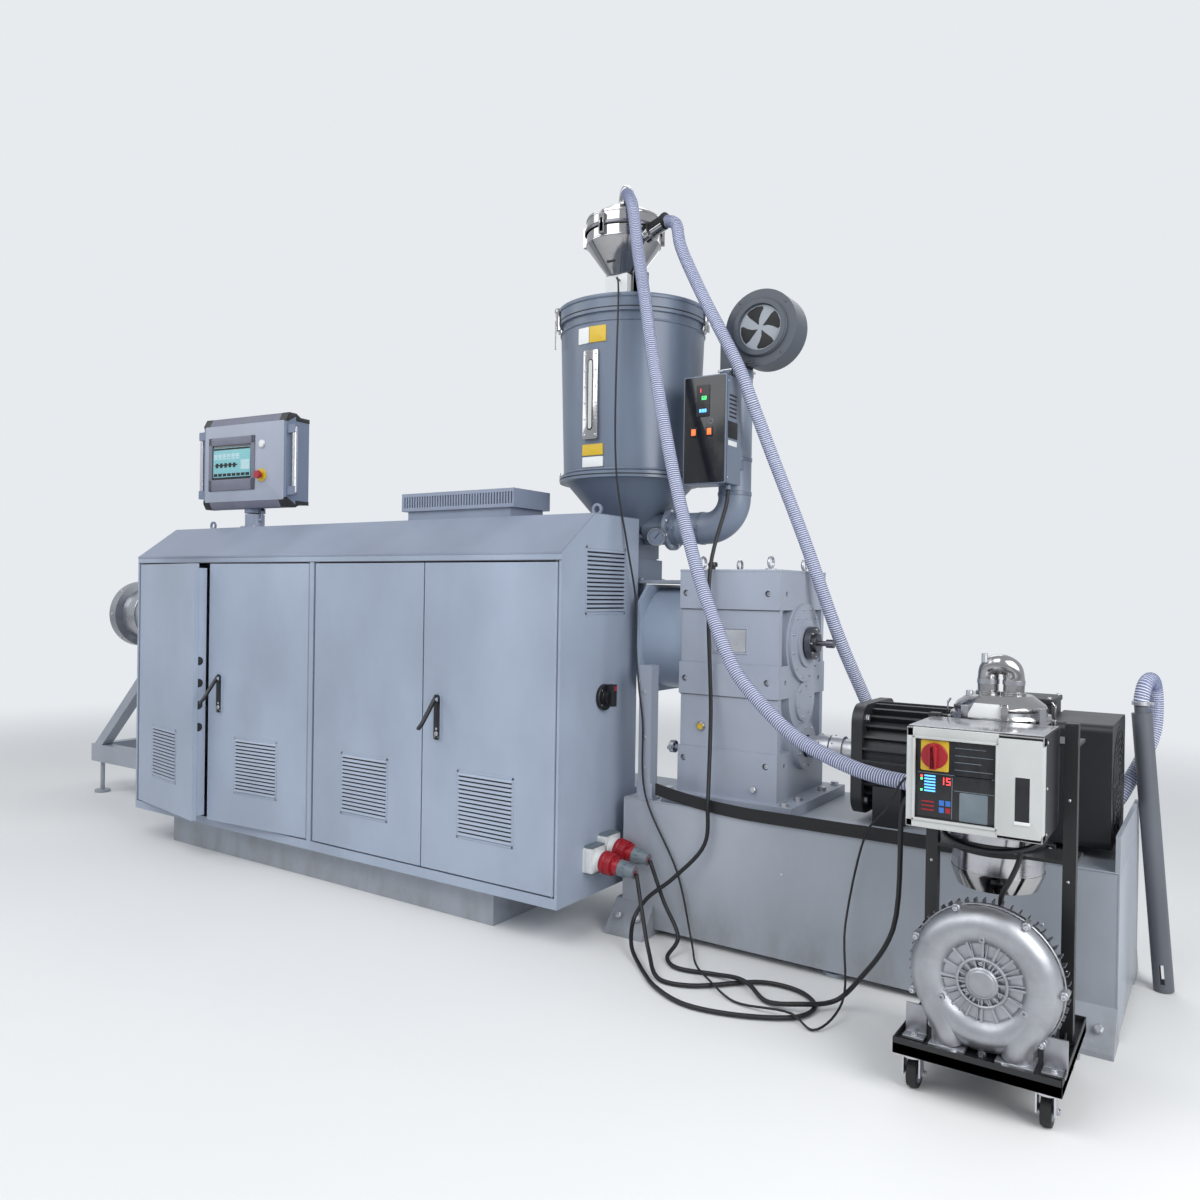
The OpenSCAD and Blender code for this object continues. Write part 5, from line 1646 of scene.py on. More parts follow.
@dataclass
class DriveBase:
    """Welded base with its splayed feet, edge strip and riser post."""

    left: float = 1090.0
    right: float = 2670.0
    front: float = -60.0
    rear: float = 528.0
    deck: float = 475.0
    middle: float = 234.0

    def build(self) -> None:
        """Dresses the solids and makes bolts, end plates, the top seam and post fittings."""
        dress(Paints.BASE, "drive_base", "barrel_frame", "die_stand")
        dress(Paints.GEARBOX, "riser_post")
        dress(Paints.RUBBER, "edge_strip")
        shape = Shape("base_bolts").of(Paints.ZINC)
        for x in (1066, 2514):
            for dx in (40, 116):
                for s in (-1, 1):
                    y = self.middle + s * 344
                    lean = Vector((0.0, s * 0.78, 0.62)).normalized()
                    shape.bolt((x + dx, y, 65.5), tuple(lean), 12)
        for x in (1700, 2480):
            shape.pan_screw((x, self.front, 300), Axis.FRONT, 5)
        shape.of(Paints.BASE)
        for x in (self.left - 0.8, self.right - 5.2):
            shape.block((x, x + 6), (self.front - 0.8, self.rear + 0.8), (24, self.deck + 0.6), 1.4)
        shape.pipe([(self.left + 4, self.front - 0.4, self.deck),
                    (self.right - 4, self.front - 0.4, self.deck)], 2.2, 8)
        shape.done("machine", "machine_white")
        self.post_fittings()

    def post_fittings(self) -> None:
        """Bolts and angle bracket of the riser post."""
        shape = Shape("post_fittings").of(Paints.ZINC)
        for z in (520, 590, 700, 860):
            shape.bolt((1172, self.front, z), Axis.FRONT, 6)
        shape.of(Paints.GEARBOX)
        shape.block((1140, 1204), (self.front + 2, self.front + 8), (self.deck, self.deck + 60),
                    2.0)
        shape.block((1140, 1204), (self.front + 2, self.front + 62), (self.deck, self.deck + 6),
                    1.5)
        shape.done("machine", "bare_steel")


@dataclass
class Gearbox:
    """Gearbox with bolted bands, covers, screw tail, oil fittings and eye bolts."""

    left: float = 1262.0
    right: float = 1643.0
    front: float = 22.0
    rear: float = 446.0
    top: float = 1298.0
    axis_y: float = 234.0
    axis_z: float = 1045.0
    input_z: float = 681.0
    idler_z: float = 838.0
    plate: tuple[float, float, float, float] = (1396.0, 1520.0, 1012.0, 1092.0)

    def build(self) -> None:
        """Dresses the solids and makes the bolts, plate frame, seals and fittings."""
        dress(Paints.GEARBOX, "gearbox_housing", "gearbox_covers")
        dress(Paints.DRUM, "thrust_drum")
        dress(Paints.DARK_STEEL, "screw_tail")
        dress(Paints.ZINC, "drive_coupling")
        bolts = Shape("gearbox_bolts").of(Paints.ZINC)
        for z in (628.0, 912.0, 1215.0):
            for x in (self.left + 22, self.right - 44):
                bolts.cap_screw((x, self.front + 20.5, z), Axis.FRONT, 11)
            for y in (self.front + 60, self.rear - 60):
                bolts.cap_screw((self.right - 19.5, y, z), Axis.X, 9)
        for x in (self.left - 20, self.right + 40):
            for y in (self.front - 22, 120, 340, self.rear + 22):
                bolts.bolt((x, y, 510), Axis.Z, 16)
        for x in (self.left + 60, self.right - 60):
            for y in (self.front + 60, self.rear - 60):
                bolts.collar(placed((x, y, self.top)), 20, 8, 5, 1.5)
                bolts.swept([(21, -5), (24, 0), (21, 5), (17, 4), (16, 0), (17, -4)],
                            placed((x, y, self.top + 26), Axis.X), 28)
        bolts.done("machine", "bare_steel")
        self.seams()
        self.covers()
        self.fittings()

    def seams(self) -> None:
        """Parting lines, bare rating plate in its cast frame and sealant beads."""
        shape = Shape("gearbox_seams").of(Paints.DARK_STEEL)
        for z in (858.0, 1160.0):
            shape.block((self.left + 2, self.right - 2), (self.front + 5.2, self.front + 6.2),
                        (z - 3.2, z - 0.4))
        shape.of(Paints.GEARBOX)
        x0, x1, z0, z1 = self.plate
        face = self.front + 6
        for a, b, c, d in ((x0 - 6, x1 + 6, z0 - 6, z0), (x0 - 6, x1 + 6, z1, z1 + 6),
                           (x0 - 6, x0, z0, z1), (x1, x1 + 6, z0, z1)):
            shape.block((a, b), (face - 3.0, face + 0.4), (c, d), 1.2)
        shape.of(Paints.ZINC)
        shape.block((x0 + 2, x1 - 2), (face - 1.4, face + 0.2), (z0 + 2, z1 - 2), 0.4)
        for x in (x0 + 7, x1 - 7):
            for z in (z0 + 7, z1 - 7):
                shape.pan_screw((x, face - 1.2, z), Axis.FRONT, 2.4)
        shape.of(Paints.GEARBOX)
        shape.block((self.left - 1, self.right + 1), (self.front - 1, self.rear + 1),
                    (self.top - 8, self.top + 0.6), 2.0)
        shape.done("machine", "machine_white")

    def covers(self) -> None:
        """Cover screws, oil seals and the ribs of the bearing covers."""
        y = self.axis_y
        shape = Shape("cover_fittings")
        rings = ((self.axis_z, 122.0, 12, 12.0), (self.idler_z, 56.0, 6, 8.0),
                 (self.input_z, 70.0, 8, 22.0))
        for z, ring, count, out in rings:
            shape.of(Paints.ZINC)
            for u, v in ring_of(count, ring, 15.0):
                shape.cap_screw((self.right + out, y + u, z + v), Axis.X, 5.5)
        shape.of(Paints.RUBBER)
        shape.collar(placed((self.right + 19.6, y, self.axis_z), Axis.X), 52, 40.6, 3.0, 1.0)
        shape.collar(placed((self.right + 21.6, y, self.input_z), Axis.X), 40, 25.6, 3.0, 1.0)
        shape.done("machine", "bare_steel")
        tail = Shape("tail_screws").of(Paints.ZINC)
        for u, v in ring_of(8, 47.0):
            tail.cap_screw((self.right + 48, y + u, self.axis_z + v), Axis.X, 4.5)
        tail.done("screw_tail", "bare_steel")
        hub = Shape("coupling_screws").of(Paints.DARK_STEEL)
        for x in (1722.0, 1770.0):
            for u, v in ring_of(6, 47.0, 30.0):
                hub.cap_screw((x, y + u * 0.985, self.input_z + v * 0.985), (0.0, u, v), 3.2)
        hub.of(Paints.RUBBER)
        hub.collar(placed((1752.2, y, self.input_z), Axis.X), 43.5, 30, 5.6, 1.0)
        hub.done("drive_coupling", "bare_steel")

    def fittings(self) -> None:
        """Oil sight glass, breather, drain plug and the star knob of the oil cock."""
        shape = Shape("oil_fittings").of(Paints.BRUSHED)
        shape.turned([(17, 0.0), (17, 5.0), (14, 8.0), (12.5, 8.0), (12.0, 5.0), (0.0, 5.0)],
                     placed((1350, self.front + 6, 745), Axis.FRONT), 36)
        shape.of(Paints.YELLOW).drum((1350, self.front + 1.2, 745), Axis.FRONT, 1.4, 11.6)
        shape.of(Paints.BLACK_PLASTIC)
        shape.turned([(10, 0.0), (10, 12.0), (17, 14.0), (18, 24.0), (15, 30.0), (0.0, 31.0)],
                     placed((1330, 140, self.top)), 24)
        shape.of(Paints.ZINC).drum((1560, self.front - 0.5, 548), Axis.FRONT, 12, 11, 1.5, 6)
        shape.of(Paints.WHITE_PLASTIC)
        for k in range(5):
            a = math.radians(72 * k)
            shape.drum((self.left - 54, 68 + 15 * math.cos(a), 655 + 15 * math.sin(a)), Axis.X, 20,
                       8.5, 3.0, 16)
        shape.of(Paints.ZINC).drum((self.left - 56, 68, 655), Axis.X, 3, 8, 0.8, 20)
        shape.done("machine", "bare_steel")


@dataclass
class Motor:
    """Main motor: finned body, terminal box, fan cowl and bolts."""

    left: float = 1884.0
    right: float = 2635.0
    axis_y: float = 234.0
    axis_z: float = 681.0
    radius: float = 178.0

    def build(self) -> None:
        """Dresses the motor and makes its cowl grille, terminal box, bolts and bare plate."""
        dress(Paints.MOTOR, "main_motor")
        y, z = self.axis_y, self.axis_z
        shape = Shape("motor_fittings").of(Paints.MOTOR)
        x0, x1 = self.left + 436, self.left + 584
        top = z + self.radius + 52
        shape.block((x0, x1), (y - 94, y + 94), (top - 14, top + 2), 3.0)
        for u, v in corners(62, 80):
            shape.of(Paints.ZINC).bolt(((x0 + x1) / 2 + u, y + v, top + 2), Axis.Z, 6)
        shape.of(Paints.ZINC)
        for u, v in ring_of(4, 205.0, 45.0):
            shape.bolt((self.left + 36, y + u * 0.92, z + v * 0.92), Axis.X, 12)
        shape.block((self.left + 220, self.left + 330), (y - self.radius - 1, y - self.radius + 3),
                    (z - 30, z + 34), 0.6)
        for dy in (-24, 24):
            shape.of(Paints.GREY_PLASTIC)
            shape.drum((x0 - 1, y + dy, top - 38), Axis.LEFT, 22, 14, 2.0, 6)
        shape.of(Paints.MOTOR)
        for k in range(7):
            shape.swept([(28 + 20 * k, -0.5), (34 + 20 * k, -0.5), (34 + 20 * k, 2.5),
                         (28 + 20 * k, 2.5)],
                        placed((self.right, y, z), Axis.X), 40)
        for k in range(8):
            a = math.radians(45 * k)
            shape.pipe([(self.right + 1, y + 20 * math.cos(a), z + 20 * math.sin(a)),
                        (self.right + 1, y + 156 * math.cos(a), z + 156 * math.sin(a))], 2.4, 6)
        shape.swept([(12, -3.5), (16, 0), (12, 3.5), (9, 0)],
                    placed((self.left + 350, y, z + 190), Axis.Y), 24)
        shape.done("machine", "black_paint")


@dataclass
class BarrelLine:
    """Barrel with heater clamps and fans, die with its bolts, and what carries them."""

    barrel_end: float = -1233.0
    zones: int = 5
    zone_l: float = 300.0
    feed_start: float = 792.0
    axis_y: float = 234.0
    axis_z: float = 1045.0

    def build(self) -> None:
        """Dresses the solids and makes clamps, leads, guards and bolts."""
        dress(Paints.BARREL, "barrel", "die_head")
        dress(Paints.BRUSHED, "barrel_heaters")
        dress(Paints.GEARBOX, "feed_throat")
        gap = (self.feed_start - self.barrel_end - self.zones * self.zone_l) / (self.zones + 1)
        for i in range(self.zones):
            self.zone(i, self.barrel_end + gap + i * (self.zone_l + gap))
        self.die()
        self.throat()

    def zone(self, number: int, x: float) -> None:
        """Clamp screws, terminal cap, lead and fan guard of one heated zone.

        Args:
            number: Number of the zone from the die.
            x: Its left end.
        """
        y, z = self.axis_y, self.axis_z
        shape = Shape(f"zone_fittings_{number + 1}")
        for k in range(6):
            at = x + (k + 0.5) * self.zone_l / 6
            shape.of(Paints.ZINC)
            shape.block((at - 9, at + 9), (y - 7, y + 7), (z + 93, z + 109), 1.5)
            shape.cap_screw((at, y - 7, z + 102), Axis.FRONT, 5)
        shape.of(Paints.BOX)
        shape.block((x + 110, x + 190), (y - 132, y - 88), (z - 26, z + 34), 4.0)
        shape.of(Paints.DARK_STEEL)
        shape.pipe([(x + 150, y - 112, z - 26), (x + 152, y - 116, z - 120),
                    (x + 140, y - 104, z - 230), (x + 136, y - 96, z - 330)], 6, 8, 3)
        shape.of(Paints.BLACK_PLASTIC)
        for s in (-1, 1):
            guard = placed((x + 150, y + s * 60, 585), (0.0, float(s), 0.0))
            for r in (20, 40, 60, 80):
                shape.swept([(r - 2, 3), (r, 5), (r + 2, 3), (r, 1)], guard, 32)
        shape.done("machine", "stainless")

    def die(self) -> None:
        """Flange bolts, heater bands and adjusting screws of the die."""
        y, z = self.axis_y, self.axis_z
        shape = Shape("die_fittings").of(Paints.ZINC)
        for u, v in ring_of(8, 76.0, 22.5):
            shape.cap_screw((-1232, y + u, z + v), Axis.X, 9)
        for u, v in ring_of(12, 150.0, 15.0):
            shape.cap_screw((-2525.5, y + u, z + v), (-1.0, 0.0, 0.0), 9)
        for u, v in ring_of(8, 190.0, 0.0):
            shape.drum((-2496, y + u * 0.98, z + v * 0.98), (0.0, u, v), 8, 9, 1.5, 6)
        shape.of(Paints.BRUSHED)
        for x, r, long in ((-1650, 128.4, 120), (-1800, 128.4, 120), (-1950, 128.4, 120),
                           (-2100, 128.4, 60), (-2300, 150.4, 90), (-2420, 150.4, 90)):
            shape.collar(placed((x, y, z), Axis.X), r + 5, r - 3, long, 1.5)
            shape.block((x + 10, x + long - 10), (y - 8, y + 8), (z + r, z + r + 18), 2.0)
        shape.done("machine", "stainless")

    def throat(self) -> None:
        """Water fittings and bolts of the feed block and its table."""
        shape = Shape("throat_fittings").of(Paints.ZINC)
        for x in (815, 1050):
            for z in (985, 1105):
                shape.cap_screw((x, self.axis_y - 85, z), Axis.FRONT, 9)
        for y in (150, 318):
            for x in (806, 1020):
                shape.bolt((x, y, 1262), Axis.Z, 9)
        shape.of(Paints.STEEL)
        for x in (880, 945):
            shape.drum((x, self.axis_y - 84, 1080), Axis.FRONT, 16, 11, 1.0, 6)
            shape.pipe([(x, self.axis_y - 98, 1080), (x, self.axis_y - 128, 1078),
                        (x, self.axis_y - 140, 1050), (x, self.axis_y - 138, 980)], 8, 10, 3)
        shape.done("machine", "bare_steel")


# Dryer and loader


@dataclass
class Dryer:
    """Hopper dryer: cone, barrel, lid, latches, sight glass, duct, blower and control box."""

    x: float = 912.0
    y: float = 234.0
    gate: float = 1434.0
    cone_top: float = 1652.0
    top: float = 2262.0
    low_r: float = 264.0
    high_r: float = 284.0
    duct_x: float = 1367.0
    fan: Point = (1482.0, 184.0, 2170.0)
    box: tuple[float, float, float, float] = (1254.0, 1420.0, 1605.0, 1985.0)
    box_front: float = 50.0

    def build(self) -> None:
        """Dresses the solids and makes every fitting."""
        dress(Paints.DRYER, "dryer_cone", "dryer_barrel", "dryer_lid", "dryer_control_box")
        dress(Paints.CHROME, "sight_glass")
        dress(Paints.DUCT, "dryer_duct")
        dress(Paints.BLOWER, "dryer_blower")
        self.seams()
        self.latches()
        self.window()
        self.cone_fittings()
        self.duct()
        self.blower()
        self.control_box()

    def radius(self, z: float) -> float:
        """Radius of the barrel at a height over the floor."""
        taper = (self.high_r - self.low_r) * (z - self.cone_top)
        return self.low_r + taper / (self.top - self.cone_top)

    def around(self, angle: float, z: float, out: float = 0.0) -> Matrix:
        """Frame on the barrel's skin at an angle from X and a height: Z outward, Y up."""
        return on_wall((self.x, self.y, z), angle, self.radius(z) + out)

    def seams(self) -> None:
        """Rolled beads, dark gasket lines and the clamp of barrel and lid."""
        axis = placed((self.x, self.y, 0.0))
        shape = Shape("dryer_seams").of(Paints.DRYER)
        for z, r in ((1672, 265.2), (2218, 283.2)):
            shape.swept([(r - 2, z - 5), (r + 2.5, z - 3), (r + 3.5, z), (r + 2.5, z + 3),
                         (r - 2, z + 5)], axis, 96)
        shape.of(Paints.RUBBER)
        for z, r in ((self.cone_top, 280.6), (self.top, 294.6), (self.top + 41.6, 296.4)):
            shape.swept([(r - 6, z - 2), (r, z - 2), (r, z + 2), (r - 6, z + 2)], axis, 96)
        shape.of(Paints.DRYER)
        shape.swept([(284, 2296), (297, 2297), (298.5, 2300), (298.5, 2308), (297, 2311),
                     (284, 2312)], axis, 96)
        shape.of(Paints.ZINC)
        clamp = self.around(-150, self.cone_top + 6)
        shape.block((-14, 14), (-16, 10), (4, 14), 2.0, clamp)
        shape.block((-9, 9), (-10, 26), (14, 19), 1.5, clamp)
        shape.done("machine", "dryer_paint")

    def latches(self) -> None:
        """Toggle latches, hinge and bare label plates round the lid."""
        shape = Shape("dryer_latches")
        for angle in (-134, 12, 85, 158):
            frame = self.around(angle, 2250, 0.0)
            long = 62 if angle == -134 else 0
            shape.of(Paints.CHROME)
            shape.block((-16.5, 16.5), (-34, -12), (0, 12.5), 1.2, frame)
            shape.block((-15.8, 15.8), (-23, 61), (11, 23.4), 1.5, frame)
            shape.block((-11, 11), (-34 - long, 30), (23, 27), 1.5, frame)
            for s in (-1, 1):
                shape.pipe([(s * 9, 4, 25), (s * 9, 40, 27), (s * 9, 52, 24)], 2.2, 8, 0, frame)
            shape.block((-14, 14), (46, 60), (22, 29), 2.0, frame)
        shape.of(Paints.DRYER)
        for z in (2240, 2290):
            frame = self.around(150, z)
            shape.block((-30, 30), (-12, 12), (0, 20), 3.0, frame)
        for finish, angle, z, half_w, half_h in (
            (Paints.WHITE_PLASTIC, -98.5, 2170, 26, 30), (Paints.YELLOW, -85.5, 2170, 35, 30),
            (Paints.YELLOW, -90.5, 1744, 46, 21), (Paints.WHITE_PLASTIC, -90.5, 1699, 46, 19),
        ):
            plate = self.around(angle, z, 0.2)
            shape.of(finish).slab(rounded(half_w, half_h, 3), moved(plate, 0, 0, -3.2), 5.0, 0.6)
        shape.done("machine", "stainless")

    def window(self) -> None:
        """Slotted glass, screws and frame of the long sight glass."""
        frame = self.around(-91, 1947, 9.0)
        shape = Shape("sight_glass_trim").of(Paints.CHROME)
        shape.slab(rounded(33, 166, 8), moved(frame, 0, 0, -0.6), 3.0, 1.0)
        shape.of(Paints.DARK_GLOSS)
        shape.slab(rounded(13, 132, 12.6), moved(frame, 0, 0, 1.8), 1.4, 0.4)
        shape.of(Paints.BOX).slab(rounded(8, 127, 7.8), moved(frame, 0, 0, 2.2), 1.4, 0.4)
        shape.of(Paints.ZINC)
        for k in range(6):
            for s in (-1, 1):
                centre = frame @ Vector((s * 24.0, -150 + 60 * k, 2.2))
                outward = (frame.to_3x3() @ Vector((0, 0, 1))).normalized()
                shape.pan_screw(tuple(centre), tuple(outward), 4.5)
        shape.done("machine", "stainless")

    def cone_fittings(self) -> None:
        """Slide gate handle, flange bolts and thermometer."""
        shape = Shape("cone_fittings").of(Paints.ZINC)
        for u, v in ring_of(8, 96.0, 22.5):
            shape.bolt((self.x + u, self.y + v, self.gate + 4), Axis.Z, 8)
        for u, v in corners(80, 80):
            shape.bolt((self.x + u, self.y + v, 1342), Axis.Z, 8)
        shape.of(Paints.CHROME)
        shape.block((self.x - 205, self.x - 150), (self.y - 42, self.y + 42), (1290, 1300), 3.0)
        shape.pipe([(self.x - 150, self.y - 34, 1295), (self.x - 196, self.y - 34, 1295),
                    (self.x - 196, self.y + 34, 1295), (self.x - 150, self.y + 34, 1295)], 6, 10, 4)
        gauge = placed((self.x + 178, self.y - 94, 1424), (0.407, -0.914, 0.0))
        shape.turned([(8, -60), (8, -1.0), (33, -0.5), (35, 2.0), (35, 15.0), (33, 18.5),
                      (31, 18.5), (31, 15.0), (0.0, 15.0)], gauge, 44)
        outward = tuple(gauge.to_3x3() @ Vector((0, 0, 1)))
        dial = tuple(gauge @ Vector((0, 0, 14.6)))
        shape.of(Paints.WHITE_PLASTIC).drum(dial, outward, 1.2, 30.6)
        shape.of(Paints.BLACK_PLASTIC)
        for k in range(11):
            mark = spun(gauge, -135 + 27 * k)
            shape.block((-0.7, 0.7), (22, 28), (15.6, 16.4), 0.0, mark)
        shape.block((-1.3, 1.3), (-8, 23), (16.4, 17.2), 0.3, spun(gauge, -40))
        shape.done("machine", "stainless")

    def duct(self) -> None:
        """Clamp bands and flange bolts of the hot air duct."""
        x0 = self.x + 190
        shape = Shape("duct_fittings").of(Paints.DRYER)
        for x in (x0 + 30, x0 + 128):
            shape.collar(placed((x, self.y, 1460), Axis.X), 62.4, 58, 16, 1.5)
            shape.block((x + 1, x + 15), (self.y - 76, self.y - 60), (1452, 1468), 2.0)
        for z in (1574, 1700, 2010):
            shape.collar(placed((self.duct_x, self.y, z)), 62.4, 58, 16, 1.5, 48)
            shape.block((self.duct_x - 8, self.duct_x + 8), (self.y - 76, self.y - 60),
                        (z + 1, z + 15), 2.0)
        shape.of(Paints.ZINC)
        for u, v in ring_of(8, 72.0, 22.5):
            shape.bolt((x0 + 14, self.y + u, 1460 + v), Axis.X, 7)
        shape.done("machine", "duct_white")

    def blower(self) -> None:
        """Blower front with curved openings drawn as black shapes of painted shade, rim screws,
        outlet flange and motor cap.
        """
        fx, fy, fz = self.fan
        shape = Shape("blower_fittings").of(Paints.BLOWER)
        front = placed((fx, fy, fz), Axis.FRONT)
        shape.swept([(80, -4), (102, -4), (104, 0), (104, 6), (98, 10), (84, 8)], front, 64)
        shape.of(Paints.RUBBER)
        shape.drum((fx, fy + 5.6, fz), Axis.FRONT, 1.4, 81, 0.0, 56)
        shape.of(Paints.PALE_ARM)
        shape.drum((fx, fy + 4.4, fz), Axis.FRONT, 6.0, 81, 1.0, 56)
        # Painted shade: flat black petals on the pale face stand for the shaded curved openings.
        shape.of(Paints.RUBBER)
        petal = [(10, 0), (30, 22), (50, 34), (68, 42), (76, 38), (77, 20), (77, 0), (76, -12),
                 (60, -15), (40, -13), (22, -9)]
        for k in range(4):
            turned = moved(spun(front, 90 * k + 32), 0, 0, 1.0)
            opening = [
                (r * math.cos(math.radians(a)), -r * math.sin(math.radians(a))) for r, a in petal
            ]
            shape.slab(opening, turned, 1.0, 0.3)
        shape.of(Paints.DARK_STEEL)
        for u, v in ring_of(4, 126.0, 40.0):
            shape.pan_screw((fx + u, fy, fz + v), Axis.FRONT, 5)
        shape.of(Paints.BLACK_PLASTIC)
        shape.swept([(60, 0), (73.5, 0), (75.5, 3), (75.5, 30), (72, 38), (20, 41), (0.6, 41),
                     (0.6, 36), (60, 30)],
                    placed((fx, self.y + 120, fz), Axis.Y), 48)
        shape.of(Paints.ZINC)
        shape.block((self.duct_x - 54, self.duct_x + 54), (fy + 0.5, fy + 99.5), (2028, 2038), 2.0)
        shape.done("machine", "blower_grey")

    def control_box(self) -> None:
        """Control box: door frame, black panel, digits, rockers, vents drawn as black strips of
        painted shade, and glands.
        """
        x0, x1, z0, z1 = self.box
        y0 = self.box_front
        shape = Shape("dryer_panel").of(Paints.DRYER)
        shape.slab(rounded(85, 192.6, 7), placed((1337, y0 + 0.6, 1795), Axis.FRONT), 7.0, 2.4)
        shape.of(Paints.DARK_GLOSS)
        shape.slab(rounded(80.5, 188, 5), placed((1337, y0 - 6.0, 1795), Axis.FRONT), 2.0, 0.8)
        shape.of(Paints.BLACK_PLASTIC)
        shape.slab(rounded(26, 56, 4), placed((1332, y0 - 7.8, 1897), Axis.FRONT), 3.4, 1.2)
        for x in (1296, 1358):
            shape.slab(rounded(13, 17, 3), placed((x, y0 - 7.8, 1787), Axis.FRONT), 4.0, 1.2)
        shape.of(Paints.GREY_PLASTIC)
        shape.collar(placed((1362, y0 - 7.8, 1824), Axis.FRONT), 10, 8, 0.6, 0.1, 28)
        shape.of(Paints.GLOW_RED)
        digits(shape, placed((1316, y0 - 11.3, 1927), Axis.FRONT), (1,), 14.0)
        shape.of(Paints.GLOW_GREEN)
        digits(shape, placed((1328, y0 - 11.3, 1901), Axis.FRONT), (6, 0), 12.0)
        shape.of(Paints.GLOW_BLUE)
        for k in range(3):
            shape.block((1318 + 10 * k, 1326 + 10 * k), (y0 - 11.8, y0 - 11.0), (1856, 1868), 0.2)
        shape.of(Paints.GLOW_ORANGE)
        for x in (1296, 1358):
            shape.block((x - 8, x + 8), (y0 - 13.0, y0 - 11.4), (1776, 1798), 1.0)
        # Painted shade: the six thin black strips on the side stand for the shaded vent slots.
        shape.of(Paints.RUBBER)
        for k in range(6):
            shape.block((x1 - 0.4, x1 + 0.7), (72, 128), (1838 + 15 * k, 1844 + 15 * k))
        shape.block((x1 - 0.4, x1 + 0.9), (62, 138), (1764, 1824), 0.3)
        shape.of(Paints.WHITE_PLASTIC)
        shape.block((x1 - 0.4, x1 + 0.9), (66, 134), (1738, 1756), 0.3)
        shape.of(Paints.ZINC)
        for z in (z0 + 20, z1 - 20):
            shape.pan_screw((x1, y0 + 14, z), Axis.X, 4)
            shape.block((x0 - 6, x0 + 1), (y0 + 4, y0 + 22), (z - 16, z + 16), 2.5)
        shape.of(Paints.BLACK_PLASTIC)
        shape.turned([(12.5, 0.0), (12.5, 9.0), (10.5, 12.0), (10.5, 20.0), (8.0, 26.0),
                      (7.4, 26.4)],
                     placed((1405, 100, z0 + 3), Axis.DOWN), 6)
        for x in (1392, 1412):
            shape.turned([(9, 0.0), (9, 10.0), (6.5, 20.0), (0.0, 20.4)],
                         placed((x, 140, z1), Axis.Z), 18)
        shape.pipe([(1412, 140, 2002), (1425, 142, 2030), (1450, 150, 2040), (1470, 165, 2045)], 5,
                   10, 5)
        shape.pipe([(1392, 140, 2002), (1398, 150, 2040), (1424, 214, 2050), (1452, 262, 2080)], 4,
                   10, 5)
        shape.done("machine", "dryer_paint")


def digits(shape: Shape, at: Matrix, values: Sequence[int], tall: float) -> None:
    """Seven-bar digits side by side, reading as a panel display does.

    Args:
        shape: Shape that takes them.
        at: Frame whose X runs right and Y up, at the lower left corner.
        values: The digits.
        tall: Height of a digit.
    """
    bars = {0: "abcdef", 1: "bc", 5: "afgcd", 6: "afgecd"}
    w, t = tall * 0.55, tall * 0.12
    places = {"a": (0, w, tall - t, tall), "g": (0, w, (tall - t) / 2, (tall + t) / 2),
              "d": (0, w, 0, t), "f": (0, t, tall / 2, tall), "b": (w - t, w, tall / 2, tall),
              "e": (0, t, 0, tall / 2), "c": (w - t, w, 0, tall / 2)}
    pitch = tall * 0.85
    for k, value in enumerate(values):
        for bar in bars[value]:
            u0, u1, v0, v1 = places[bar]
            shape.block((u0 + k * pitch, u1 + k * pitch), (v0, v1), (0.0, 0.6), 0.0, at)


